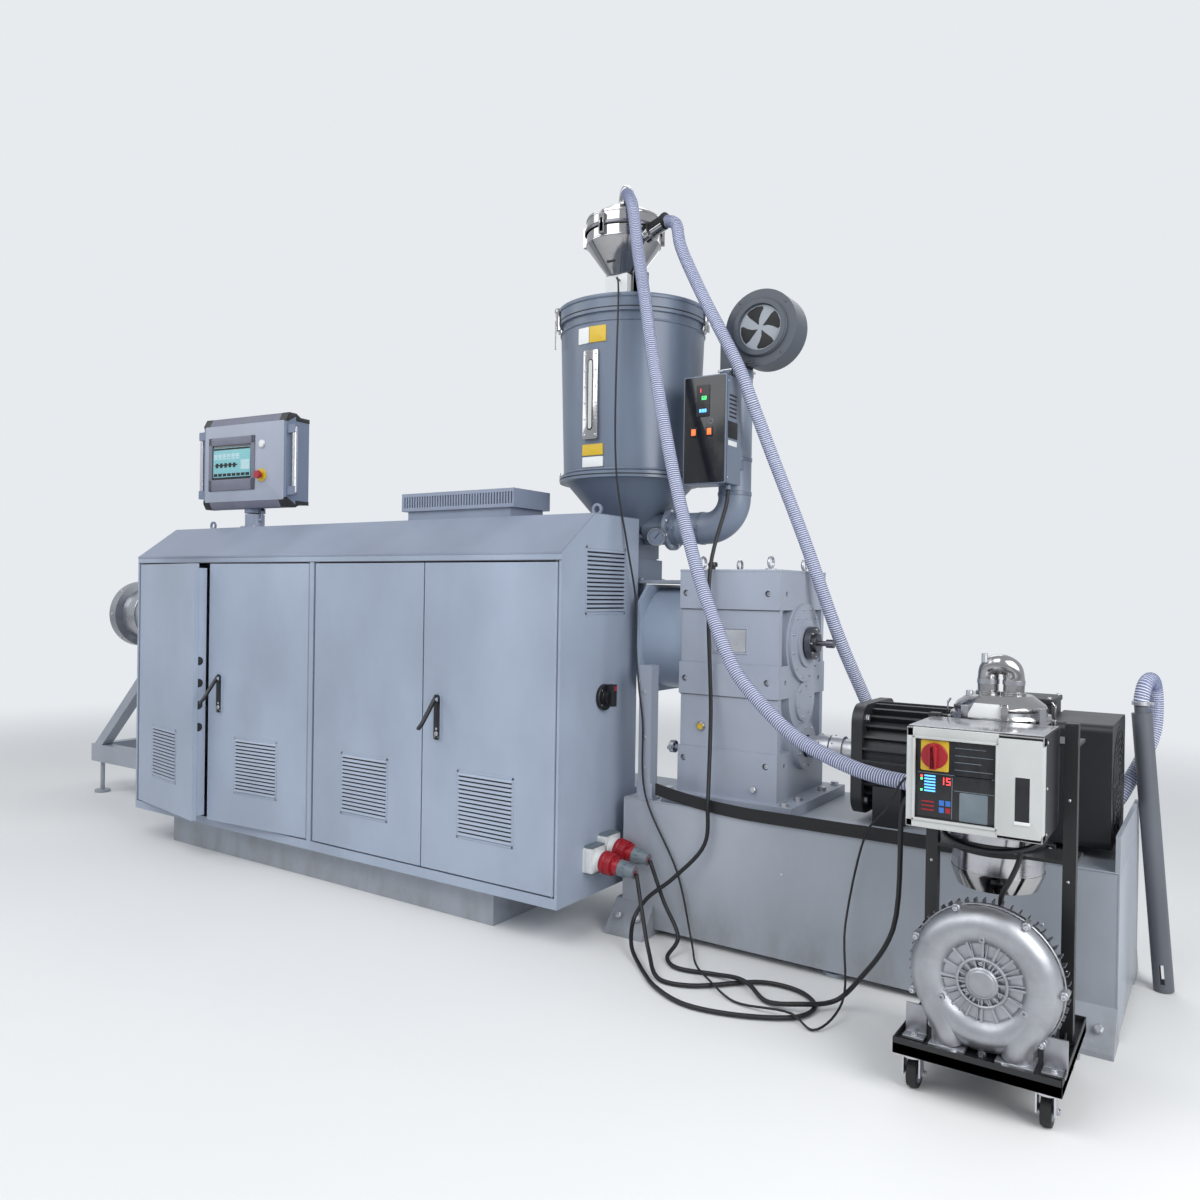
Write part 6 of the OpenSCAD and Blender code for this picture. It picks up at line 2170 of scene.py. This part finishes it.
@dataclass
class Loader:
    """Vacuum loader on the dryer's lid: neck, bands, latches, hose clamp and side inlet."""

    x: float = 862.0
    y: float = 234.0
    lid: float = 2328.0

    def build(self) -> None:
        """Dresses the loader and makes its fittings."""
        dress(Paints.CHROME, "hopper_loader")
        self.neck()
        self.body()
        self.elbows()

    def neck(self) -> None:
        """White square neck, its flange and the folded post beside it."""
        shape = Shape("loader_neck").of(Paints.WHITE_PLASTIC)
        shape.block((self.x - 51, self.x + 51), (self.y - 51, self.y + 51),
                    (self.lid + 0.5, self.lid + 138), 3.0)
        shape.of(Paints.CHROME)
        shape.block((self.x - 78, self.x + 78), (self.y - 78, self.y + 78),
                    (self.lid - 1, self.lid + 7), 2.0)
        for u, v in corners(64, 64):
            shape.of(Paints.ZINC).bolt((self.x + u, self.y + v, self.lid + 7), Axis.Z, 7)
        shape.of(Paints.DRYER)
        shape.block((self.x + 62, self.x + 104), (self.y - 26, self.y + 26),
                    (self.lid - 2, self.lid + 150), 3.0)
        shape.done("machine", "duct_white")

    def body(self) -> None:
        """Rim bands, toggle latches, lid screws and the small block on the cone."""
        axis = placed((self.x, self.y, 0.0))
        shape = Shape("loader_body_fittings").of(Paints.DARK_STEEL)
        shape.swept([(146, 2631), (155, 2631), (156, 2634), (156, 2642), (155, 2645), (146, 2645)],
                    axis, 80)
        shape.of(Paints.CHROME)
        for z in (2590, 2684):
            shape.swept([(145, z - 4), (149.6, z - 3), (150.4, z), (149.6, z + 3), (145, z + 4)],
                        axis, 80)
        for angle in (-160, -90, 30, 120):
            frame = on_wall((self.x, self.y, 2630), angle, 148)
            shape.block((-12, 12), (-34, -6), (0, 4), 1.2, frame)
            shape.block((-9, 9), (-30, 26), (11, 15), 1.5, frame)
            for s in (-1, 1):
                shape.pipe([(s * 7, 0, 13), (s * 7, 24, 15), (s * 7, 34, 11)], 1.8, 8, 0, frame)
            shape.block((-11, 11), (28, 40), (4, 14), 2.0, frame)
        shape.of(Paints.ZINC)
        for u, v in ring_of(10, 66.0):
            shape.pan_screw((self.x + u, self.y + v, 2734), Axis.Z, 3.5)
        shape.of(Paints.BLACK_PLASTIC)
        shape.block((self.x - 20, self.x + 20), (self.y - 92, self.y - 62), (2504, 2536), 4.0)
        shape.done("machine", "stainless")

    def elbows(self) -> None:
        """Clamp on the chrome elbow's end and the black rubber elbow of the side inlet."""
        shape = Shape("loader_elbow_fittings").of(Paints.ZINC)
        end = (920.0, 165.0, 2762.0)
        ahead = Vector((33.0, -38.0, -34.0)).normalized()
        start = Vector(end) - ahead * 16
        shape.collar(placed(tuple(start), tuple(ahead)), 26.5, 21.0, 12, 1.5)
        shape.drum(tuple(start + ahead * 6 + Vector((0, 0, 27))), Axis.Y, 16, 4, 0.8, 12)
        shape.of(Paints.RUBBER)
        a = math.radians(-15)
        foot = Vector((self.x + 146 * math.cos(a), self.y + 146 * math.sin(a), 2611))
        out = Vector((math.cos(a) * math.sin(math.radians(78)),
                      math.sin(a) * math.sin(math.radians(78)),
                      math.cos(math.radians(78))))
        shape.turned([(34, 0.0), (34, 14.0), (27, 18.0), (27, 84.0), (29, 86.0), (29, 98.0),
                      (26, 99.0)],
                     placed(tuple(foot), tuple(out)), 40)
        shape.done("machine", "black_rubber")


# Trolley, plugs and lance


@dataclass
class Trolley:
    """Castor trolley with the ring blower, the dust canister and the loader's control box."""

    left: float = 2236.0
    right: float = 2614.0
    front: float = -632.0
    rear: float = -228.0
    tray: float = 122.0
    ring: Point = (2432.0, -560.0, 300.0)
    canister: Point = (2400.0, -268.0, 452.0)
    canister_r: float = 115.0
    box: Point = (2255.0, -617.0, 655.0)
    box_w: float = 308.0
    box_h: float = 242.0

    def build(self) -> None:
        """Dresses the solids and makes every fitting."""
        dress(Paints.BLACK, "trolley_frame", "loader_control_box")
        dress(Paints.ALUMINIUM, "ring_blower")
        dress(Paints.BRUSHED, "dust_canister")
        dress(Paints.RED, "loader_switch")
        self.frame()
        self.castors()
        self.blower()
        self.motor()
        self.dust()
        self.box_front()
        self.box_panel()

    def frame(self) -> None:
        """Folded rim of the tray, welds, clamp rings, tube caps and screws."""
        x0, x1, y0, y1, z = self.left, self.right, self.front, self.rear, self.tray
        shape = Shape("trolley_trim").of(Paints.BLACK)
        for a, b, c, d in ((x0, x1, y0, y0 + 3), (x0, x1, y1 - 3, y1), (x0, x0 + 3, y0, y1),
                           (x1 - 3, x1, y0, y1)):
            shape.block((a, b), (c, d), (z - 25, z + 14), 1.0)
        for x in (x0 + 10, x1 - 40):
            shape.block((x - 1, x + 31), (-398, -366), (z, z + 5), 1.5)
            shape.block((x + 1, x + 29), (-396, -368), (904, 908), 1.2)
            shape.slab([(0, 0), (60, 0), (0, 60)], placed((x + 12, -367, z), Axis.X, 90), 5, 0.8)
        cx, cy, _ = self.canister
        for height in (560, 850):
            shape.collar(placed((cx, cy, height - 12)), self.canister_r + 4.5,
                         self.canister_r + 0.4, 30, 1.0, 64)
            shape.block((cx + 112, cx + 140), (cy - 8, cy + 8), (height - 10, height + 16), 2.0)
            shape.of(Paints.ZINC).bolt((cx + 128, cy - 8, height + 3), Axis.FRONT, 7)
            shape.of(Paints.BLACK)
        shape.of(Paints.ZINC)
        for x in (x0 + 26, x1 - 26):
            for height in (300, 520, 720):
                shape.pan_screw((x - 1, -397, height), Axis.FRONT, 4)
        shape.done("machine", "black_paint")

    def castors(self) -> None:
        """Tyres, hubs, swivel plates, bearing rims and axle nuts, each on its own body."""
        for k, (x, y) in enumerate(((2274, -590), (2576, -590), (2274, -270), (2576, -270)), 1):
            dress(Paints.ZINC, f"castor_fork_{k}")
            dress(Paints.RUBBER, f"castor_wheel_{k}")
            wheel = Shape(f"castor_tyre_{k}").of(Paints.RUBBER)
            hub = placed((x - 12.5, y + 20, 37), Axis.X)
            wheel.swept([(26, 0), (34, 0.4), (36.8, 5), (36.8, 20), (34, 24.6), (26, 25)], hub, 48)
            wheel.of(Paints.GREY_PLASTIC)
            wheel.swept([(9, -1.2), (24, -0.6), (26, 1), (26, 24), (24, 25.6), (9, 26.2)], hub, 40)
            wheel.done(f"castor_wheel_{k}", "black_rubber")
            fork = Shape(f"castor_swivel_{k}").of(Paints.ZINC)
            fork.swept([(8, 84), (26, 84), (27.5, 86), (27.5, 91), (24, 93), (8, 93)],
                       placed((x, y, 0)), 40)
            for s in (-1, 1):
                fork.bolt((x + s * 22.2, y + 20, 37), (float(s), 0.0, 0.0), 7)
            fork.done(f"castor_fork_{k}", "bare_steel")
            plate = Shape(f"castor_plate_{k}").of(Paints.ZINC)
            plate.block((x - 33, x + 33), (y - 28, y + 28), (94.2, 98.4), 1.2)
            for s, t in ((-1, -1), (1, -1), (-1, 1), (1, 1)):
                plate.bolt((x + s * 25, y + t * 20, 94.3), Axis.DOWN, 5, False)
            plate.done("machine", "bare_steel")

    def blower(self) -> None:
        """Cover of the ring blower: dished spokes, hub, clips, rim lugs, scroll ends and feet."""
        x, y, z = self.ring
        front = placed(self.ring, Axis.FRONT)
        shape = Shape("ring_blower_cover").of(Paints.ALUMINIUM)
        shape.swept([(102, 20), (106, 31), (109, 34), (114, 34), (117, 31), (121, 22)], front, 72)
        shape.swept([(52, 22), (53, 34), (56, 36), (60, 34), (62, 22)], front, 56)
        shape.turned([(40, 20), (38, 37), (34, 40), (31, 40), (29, 42), (25, 43), (0.0, 43)], front,
                     44)
        for k in range(14):
            spoke = spun(front, 360 * k / 14 + 6)
            shape.slab([(36, 20), (110, 20), (110, 32), (84, 27), (60, 33), (36, 37)],
                       moved(spoke, 0, 1.6, 0) @ UPRIGHT, 3.2, 0.8)
        for u, v in ring_of(3, 45.0, 95.0):
            shape.of(Paints.ZINC).cap_screw((x + u, y - 25, z + v), Axis.FRONT, 7)
        shape.of(Paints.ALUMINIUM)
        for angle in (90, 206, 330):
            clip = spun(front, 180 - angle)
            shape.block((98, 128), (-7, 7), (30, 42), 2.0, clip)
            shape.of(Paints.DARK_STEEL)
            shape.turned([(3.2, 0.0), (3.2, 0.6), (0.0, 0.6)], moved(clip, 105, 0, 41.8), 14)
            shape.of(Paints.ALUMINIUM)
        for angle in (2, 58, 112, 155, 200, 228, 270, 318):
            a = math.radians(angle)
            at = (x + 175 * math.cos(a), y + 16, z + 175 * math.sin(a))
            shape.of(Paints.ALUMINIUM).drum(at, Axis.FRONT, 36, 10, 2.0, 20)
            shape.of(Paints.ZINC).cap_screw((at[0], at[1] - 36, at[2]), Axis.FRONT, 8)
        shape.of(Paints.ALUMINIUM)
        shape.collar(placed((x, y + 4, z), Axis.Y), 177.4, 168, 9, 2.0, 96)
        for s in (-1, 1):
            shape.pipe([(x + s * 118, y - 8, z - 52), (x + s * 104, y - 12, z - 92),
                        (x + s * 84, y - 14, z - 128), (x + s * 76, y - 14, z - 166)], 35, 24, 4)
            shape.block((x + s * 76 - 42, x + s * 76 + 42), (y - 52, y + 26),
                        (self.tray + 1, self.tray + 13), 4.0)
            foot = (x + s * 158 - 26, x + s * 158 + 26)
            shape.block(foot, (y - 4, y + 4), (self.tray + 1, self.tray + 78), 2.0)
            shape.block(foot, (y - 34, y + 4), (self.tray + 1, self.tray + 8), 2.0)
            shape.of(Paints.ZINC).bolt((x + s * 158, y - 20, self.tray + 8), Axis.Z, 8)
            shape.of(Paints.ALUMINIUM)
            shape.pipe([(x + s * 40, y - 40, self.tray + 9), (x + s * 66, y - 58, self.tray + 5),
                        (x + s * 100, y - 58, self.tray + 5)], 4, 10, 3)
        shape.swept([(118, -20), (128, -26), (150, -26), (158, -16), (158, 22), (150, 28),
                     (128, 26), (120, 16)], placed(self.ring, Axis.FRONT, 240), 26, 60.0)
        shape.done("machine", "cast_aluminium")

    def motor(self) -> None:
        """Fins behind the ring, motor fins, fan cowl whose slots are dark strips of painted shade,
        terminal box and lead.
        """
        x, y, z = self.ring
        back = placed(self.ring, Axis.Y)
        shape = Shape("ring_blower_motor").of(Paints.DARK_STEEL)
        for k in range(54):
            fin = spun(back, 360 * k / 54)
            shape.block((150, 183), (-1.6, 1.6), (14, 46), 0.6, fin)
        shape.collar(moved(back, 0, 0, 14), 171, 76, 30, 3.0, 72)
        shape.of(Paints.MOTOR)
        for k in range(32):
            fin = spun(back, 360 * k / 32)
            shape.block((76, 92), (-1.5, 1.5), (46, 148), 0.6, fin)
        shape.swept([(60, 148), (86.6, 148), (88.6, 151), (88.6, 206), (82, 213), (60, 213)], back,
                    56)
        shape.block((x - 36, x + 36), (y + 70, y + 128), (z + 88, z + 126), 5.0)
        # Painted shade: thin dark strips on the cowl stand for its shaded slots.
        shape.of(Paints.DARK_STEEL)
        for k in range(10):
            slot = spun(back, 36 * k)
            shape.block((26, 74), (-3, 3), (211.4, 213.6), 0.4, slot)
        shape.of(Paints.BLACK_PLASTIC)
        shape.turned([(11, 0.0), (11, 9.0), (8.4, 12.0), (8.4, 22.0), (7.2, 24.0)],
                     placed((x + 14, y + 98, z + 125)), 6)
        shape.pipe([(x + 14, y + 98, z + 140), (x + 16, y + 98, z + 176),
                    (x + 36, y + 104, z + 222), (x + 52, y + 112, z + 268),
                    (x + 56, y + 122, z + 330), (x + 40, y + 132, z + 356)], 6.5, 12, 6)
        shape.done("machine", "black_paint")

    def dust(self) -> None:
        """Canister's lid, clamp band, gasket, catches, twin elbow, bracket and hose tail."""
        cx, cy, low = self.canister
        top = low + 470
        axis = placed((cx, cy, 0.0))
        shape = Shape("canister_fittings").of(Paints.CHROME)
        shape.swept([(112, top - 34), (123.4, top - 32), (126, top - 26), (126, top - 20),
                     (123.4, top - 14), (112, top - 12)], axis, 80)
        shape.turned([(113, top - 2), (114, top + 4), (110, top + 12), (82, top + 33),
                      (79, top + 35.4), (0.0, top + 36)],
                     axis, 80)
        shape.pipe([(cx - 32, cy, top + 44), (cx - 32, cy, top + 80), (cx - 26, cy - 6, top + 104),
                    (cx, cy - 16, top + 116), (cx + 26, cy - 6, top + 104), (cx + 32, cy, top + 80),
                    (cx + 32, cy, top + 44)], 26.5, 26, 5)
        for s in (-1, 1):
            shape.collar(placed((cx + s * 32, cy, top + 34)), 31, 24, 9, 2.0)
        shape.of(Paints.ZINC).drum((cx - 72, cy - 34, top + 28), Axis.Z, 16, 9, 2.0, 20)
        shape.drum((cx - 36, cy - 30, top + 118), Axis.Z, 26, 8, 2.0, 20)
        shape.of(Paints.RUBBER)
        shape.swept([(110, top - 3), (117, top - 3), (117, top + 1), (110, top + 1)], axis, 80)
        shape.of(Paints.CHROME)
        for angle in (15, 105, 195, 285):
            frame = on_wall((cx, cy, top - 44), angle, 115)
            shape.block((-11, 11), (-8, 18), (2, 19), 2.0, frame)
            shape.block((-9, 9), (12, 56), (15, 19), 1.4, frame)
            shape.pipe([(-7, 50, 17), (-7, 62, 10), (7, 62, 10), (7, 50, 17)], 2.2, 8, 0, frame)
        shape.of(Paints.WHITE_PLASTIC)
        shape.slab([(-44, -16), (44, -16), (44, -4), (30, 22), (-30, 22), (-44, -4)],
                   placed((cx - 12, cy - 108, top - 4), Axis.FRONT), 16, 4.0)
        shape.of(Paints.CHROME)
        shape.collar(placed((cx - 175, cy, 690), Axis.X), 29.5, 22, 14, 1.2)
        shape.block((cx - 173, cx - 163), (cy - 44, cy - 28), (684, 698), 1.5)
        shape.swept([(96, low - 1), (101, low - 1), (116.4, low + 38), (116.4, low + 46),
                     (112, low + 46)], axis, 72)
        shape.done("machine", "stainless")

    def box_front(self) -> None:
        """Pale moulded front with stepped edges, right cover whose slot is a black plate of painted
        shade, and side details.
        """
        x, y, z = self.box
        w, h = self.box_w, self.box_h
        face = placed((x + w / 2, y, z + h / 2), Axis.FRONT)
        shape = Shape("loader_box_front").of(Paints.BOX)
        shape.border((x, x + w), (z, z + h), (18, 100, 20, 24),
                     lambda u, v: shape.block(u, (y - 7, y + 26), v, 3.0))
        shape.border((x + 15, x + 211), (z + 17, z + h - 21), (6, 6, 6, 6),
                     lambda u, v: shape.block(u, (y - 10, y), v, 1.6))
        shape.slab(rounded(48, 113, 4), moved(face, 103, 0, 6.0), 3.0, 1.2)
        # Painted shade: a thin black plate stands for the shaded slot in the right cover.
        shape.of(Paints.BLACK_PLASTIC)
        shape.slab(rounded(15.5, 51, 1.5), placed((x + 264, y - 8.6, z + 96), Axis.FRONT), 0.9)
        shape.of(Paints.WHITE_PLASTIC)
        shape.block((x + 247, x + 281), (y - 12, y - 8), (z + 38, z + 46), 1.6)
        shape.of(Paints.BLACK)
        shape.block((x + 2, x + w - 2), (y + 26, y + 218), (z + h, z + h + 2.4), 1.0)
        shape.of(Paints.BRUSHED)
        shape.block((x + 2, x + w - 2), (y + 2, y + 216), (z + h + 0.2, z + h + 3.0), 1.0)
        shape.of(Paints.BLACK_PLASTIC)
        shape.turned([(13, 0.0), (13, 10.0), (10.5, 14.0)],
                     placed((x - 0.5, y + 177, z + 35), Axis.LEFT), 6)
        shape.turned([(9, 0.0), (9, 8.0), (7, 12.0)], placed((x - 0.5, y + 202, z + 81), Axis.LEFT),
                     6)
        shape.block((x - 9, x + 1), (y + 60, y + 112), (z + 12, z + 26), 3.0)
        shape.of(Paints.ZINC)
        for v in (14, 120, 226):
            shape.pan_screw((x - 0.2, y + 40, z + v), Axis.LEFT, 4)
            shape.pan_screw((x + w + 0.2, y + 40, z + v), Axis.X, 4)
        shape.of(Paints.BLACK_PLASTIC)
        shape.pipe([(x + 52, y + 196, z + 2), (x + 54, y + 150, z - 12), (x + 74, y + 96, z - 34),
                    (x + 130, y + 70, z - 48), (x + 200, y + 66, z - 48), (x + 262, y + 84, z - 34),
                    (x + 292, y + 112, z - 16), (x + 294, y + 150, z + 2)], 6.5, 12, 6)
        shape.done("machine", "box_grey")

    def box_panel(self) -> None:
        """Dark panel: switch plate and disc, lamps, figures, keys and bare label lines."""
        x, y, z = self.box
        face = y + 3.0
        shape = Shape("loader_box_panel").of(Paints.DARK_GLOSS)
        shape.block((x + 20, x + 206), (face - 2, face + 2), (z + 22, z + 216), 0.6)
        shape.of(Paints.YELLOW)
        shape.slab(rounded(33, 37, 4), placed((x + 66, face - 1.8, z + 176), Axis.FRONT), 4.0, 1.4)
        shape.of(Paints.GREY_PLASTIC)
        for v, reach in ((198, 70), (180, 86), (164, 60), (146, 86), (132, 84), (96, 90)):
            shape.block((x + 112, x + 112 + reach), (face - 2.6, face - 1.6), (z + v, z + v + 1.4))
        shape.block((x + 106, x + 107.5), (face - 2.6, face - 1.6), (z + 28, z + 128))
        shape.block((x + 26, x + 204), (face - 2.6, face - 1.6), (z + 132, z + 133.4))
        shape.slab(rounded(32, 34, 3), placed((x + 156, face - 1.8, z + 60), Axis.FRONT), 1.2, 0.4)
        shape.of(Paints.GLOW_BLUE)
        for k in range(6):
            shape.block((x + 42, x + 68), (face - 3.2, face - 1.8),
                        (z + 88 + 7.2 * k, z + 91.6 + 7.2 * k), 0.5)
        shape.of(Paints.GLOW_RED)
        shape.block((x + 33, x + 38), (face - 3.4, face - 1.8), (z + 122, z + 127), 0.8)
        digits(shape, placed((x + 79, face - 2.4, z + 108), Axis.FRONT), (1, 5), 17.0)
        shape.of(Paints.GLOW_GREEN)
        for v in (88, 115):
            shape.block((x + 33, x + 38), (face - 3.4, face - 1.8), (z + v, z + v + 5), 0.8)
        shape.of(Paints.RED)
        for k in range(3):
            shape.block((x + 36, x + 66), (face - 3.0, face - 1.8),
                        (z + 42 + 10 * k, z + 45.5 + 10 * k), 0.5)
        shape.block((x + 92, x + 104), (face - 3.6, face - 1.8), (z + 40, z + 53), 1.0)
        shape.of(Paints.BLUE_KEY)
        for a, c in ((77, 40), (77, 57), (92, 57)):
            shape.block((x + a, x + a + 12), (face - 3.6, face - 1.8), (z + c, z + c + 13), 1.0)
        shape.done("machine", "black_plastic")
        disc = Shape("loader_switch_disc").of(Paints.RED)
        at = placed((x + 66, y - 1.0, z + 176), Axis.FRONT)
        disc.turned([(31, 0.0), (31, 6.0), (29, 8.0), (0.0, 8.4)], at, 48)
        disc.slab([(-8, -31), (8, -31), (10, 20), (0, 30), (-10, 20)], moved(at, 0, 0, 8), 15.0,
                  2.5)
        disc.done("loader_switch", "signal_red")


@dataclass
class Plugs:
    """The two red plugs: rims, lids, glands and screws. Each lies along its socket's axis."""

    cab_end: float = 1036.0

    def build(self) -> None:
        """Dresses both plugs and makes their fittings."""
        for name, (y, z) in zip(("dryer_plug", "loader_plug"), SOCKETS):
            dress(Paints.RED, name)
            self.plug(name, y, z)

    def plug(self, name: str, y: float, z: float) -> None:
        """One plug's fittings.

        Args:
            name: Name of the plug's solid.
            y: Place of its axis along Y.
            z: Height of its axis at the wall.
        """
        lean = math.radians(DROOP)
        axis = placed((self.cab_end + 26, y, z), (math.cos(lean), 0.0, -math.sin(lean)))
        shape = Shape(name + "_fittings").of(Paints.RED)
        shape.swept([(36, 31), (40, 32), (41, 35), (41, 44), (39.5, 46), (37, 46)], axis, 44)
        for k in range(20):
            rib = spun(axis, 18 * k)
            shape.block((37.4, 39.4), (-1.6, 1.6), (48, 72), 0.5, rib)
        shape.of(Paints.GREY_PLASTIC)
        shape.swept([(26.6, 100), (29, 101), (29, 110), (25.6, 118), (20.4, 156), (21, 160),
                     (9, 161), (8, 160)],
                    axis, 40)
        for k in range(12):
            rib = spun(axis, 30 * k)
            shape.block((25.0, 28.6), (-2, 2), (103, 126), 0.8, rib)
        shape.done("machine", "signal_red")


@dataclass
class Lance:
    """Suction lance that stands on the floor, with its hose clamp."""

    top: Point = (2673.0, 470.0, 885.0)

    def build(self) -> None:
        """Dresses the lance and makes its clamp."""
        dress(Paints.LANCE, "suction_lance")
        x, y, z = self.top
        shape = Shape("lance_clamp").of(Paints.ZINC)
        shape.collar(placed((x, y, z - 2)), 26.5, 22.6, 13, 1.2)
        shape.block((x + 22, x + 36), (y - 6, y + 6), (z, z + 10), 1.5)
        shape.done("machine", "bare_steel")


# Studio


@dataclass
class Studio:
    """Pale floor and backdrop with soft lamps over and before the machine."""

    middle: Point = (0.4, 0.0, 1.2)
    fill_colour: Colour = (0.86, 0.92, 1.0)
    fill: float = 0.48
    gloss_share: float = 0.55
    floor_side: float = 14.0
    floor_drop: float = 0.0005
    lamps: tuple[tuple[Point, float, float], ...] = (
        ((0.4, -3.6, 4.6), 3.6, 112.0),
        ((4.9, -1.5, 2.6), 2.6, 116.0),
        ((-3.6, -2.8, 3.8), 2.8, 46.0),
        ((0.6, 3.0, 4.4), 3.2, 48.0),
    )

    def build(self) -> None:
        """Makes the floor, the world and the lamps."""
        bpy.context.scene.view_settings.view_transform = "Standard"
        self.floor()
        self.world()
        for place, side, power in self.lamps:
            self.lamp(place, side, power)

    def floor(self) -> None:
        """One wide floor that the machine stands on."""
        mesh = bmesh.new()
        bmesh.ops.create_grid(mesh, x_segments=2, y_segments=2, size=self.floor_side)
        data = bpy.data.meshes.new("floor")
        mesh.to_mesh(data)
        mesh.free()
        data.materials.append(Paints.FLOOR.material())
        floor = bpy.data.objects.new("floor", data)
        floor.location.z = -self.floor_drop
        bpy.context.collection.objects.link(floor)

    def world(self) -> None:
        """Even light from all round, and a pale background for the camera and for gloss."""
        world = bpy.data.worlds.new("studio")
        bpy.context.scene.world = world
        world.use_nodes = True
        nodes, links = world.node_tree.nodes, world.node_tree.links
        nodes.clear()
        kinds = ("OutputWorld", "MixShader", "Background", "Background", "LightPath", "Math",
                 "Math", "Math")
        out, blend, fill, shown, path, seen, either, gloss = (
            nodes.new("ShaderNode" + kind) for kind in kinds
        )
        fill.inputs[0].default_value = (*self.fill_colour, 1.0)
        fill.inputs[1].default_value = self.fill
        shown.inputs[0].default_value = (*BACKDROP, 1.0)
        seen.operation = either.operation = "MAXIMUM"
        gloss.operation = "MULTIPLY"
        gloss.inputs[1].default_value = self.gloss_share
        for source, target in (
            (path.outputs["Is Camera Ray"], seen.inputs[0]),
            (path.outputs["Is Transmission Ray"], seen.inputs[1]),
            (path.outputs["Is Glossy Ray"], gloss.inputs[0]),
            (seen.outputs[0], either.inputs[0]),
            (gloss.outputs[0], either.inputs[1]),
            (either.outputs[0], blend.inputs[0]),
            (fill.outputs[0], blend.inputs[1]),
            (shown.outputs[0], blend.inputs[2]),
            (blend.outputs[0], out.inputs[0]),
        ):
            links.new(source, target)

    def lamp(self, place: Point, side: float, power: float) -> None:
        """A soft square lamp that faces the machine's middle.

        Args:
            place: Where it hangs, in metres.
            side: Length of its side, in metres.
            power: Its power, in watts.
        """
        data = bpy.data.lights.new("soft_lamp", "AREA")
        data.shape = "SQUARE"
        data.size = side
        data.energy = power
        lamp = bpy.data.objects.new("soft_lamp", data)
        ahead = Vector(self.middle) - Vector(place)
        turn = ahead.to_track_quat("-Z", "Y").to_matrix().to_4x4()
        lamp.matrix_world = Matrix.Translation(place) @ turn
        bpy.context.collection.objects.link(lamp)


def main() -> None:
    """Builds the camera and cords first, then each sub-assembly."""
    logging.basicConfig(level=logging.INFO, format="%(message)s")
    Viewpoint().build()
    Cords().build()
    for group in (Cabinet(), OperatorPanel(), DriveBase(), Gearbox(), Motor(), BarrelLine(),
                  Dryer(), Loader(), Trolley(), Plugs(), Lance()):
        group.build()
        log.info("%s finished", type(group).__name__)
    Studio().build()


if __name__ == "__main__":
    main()
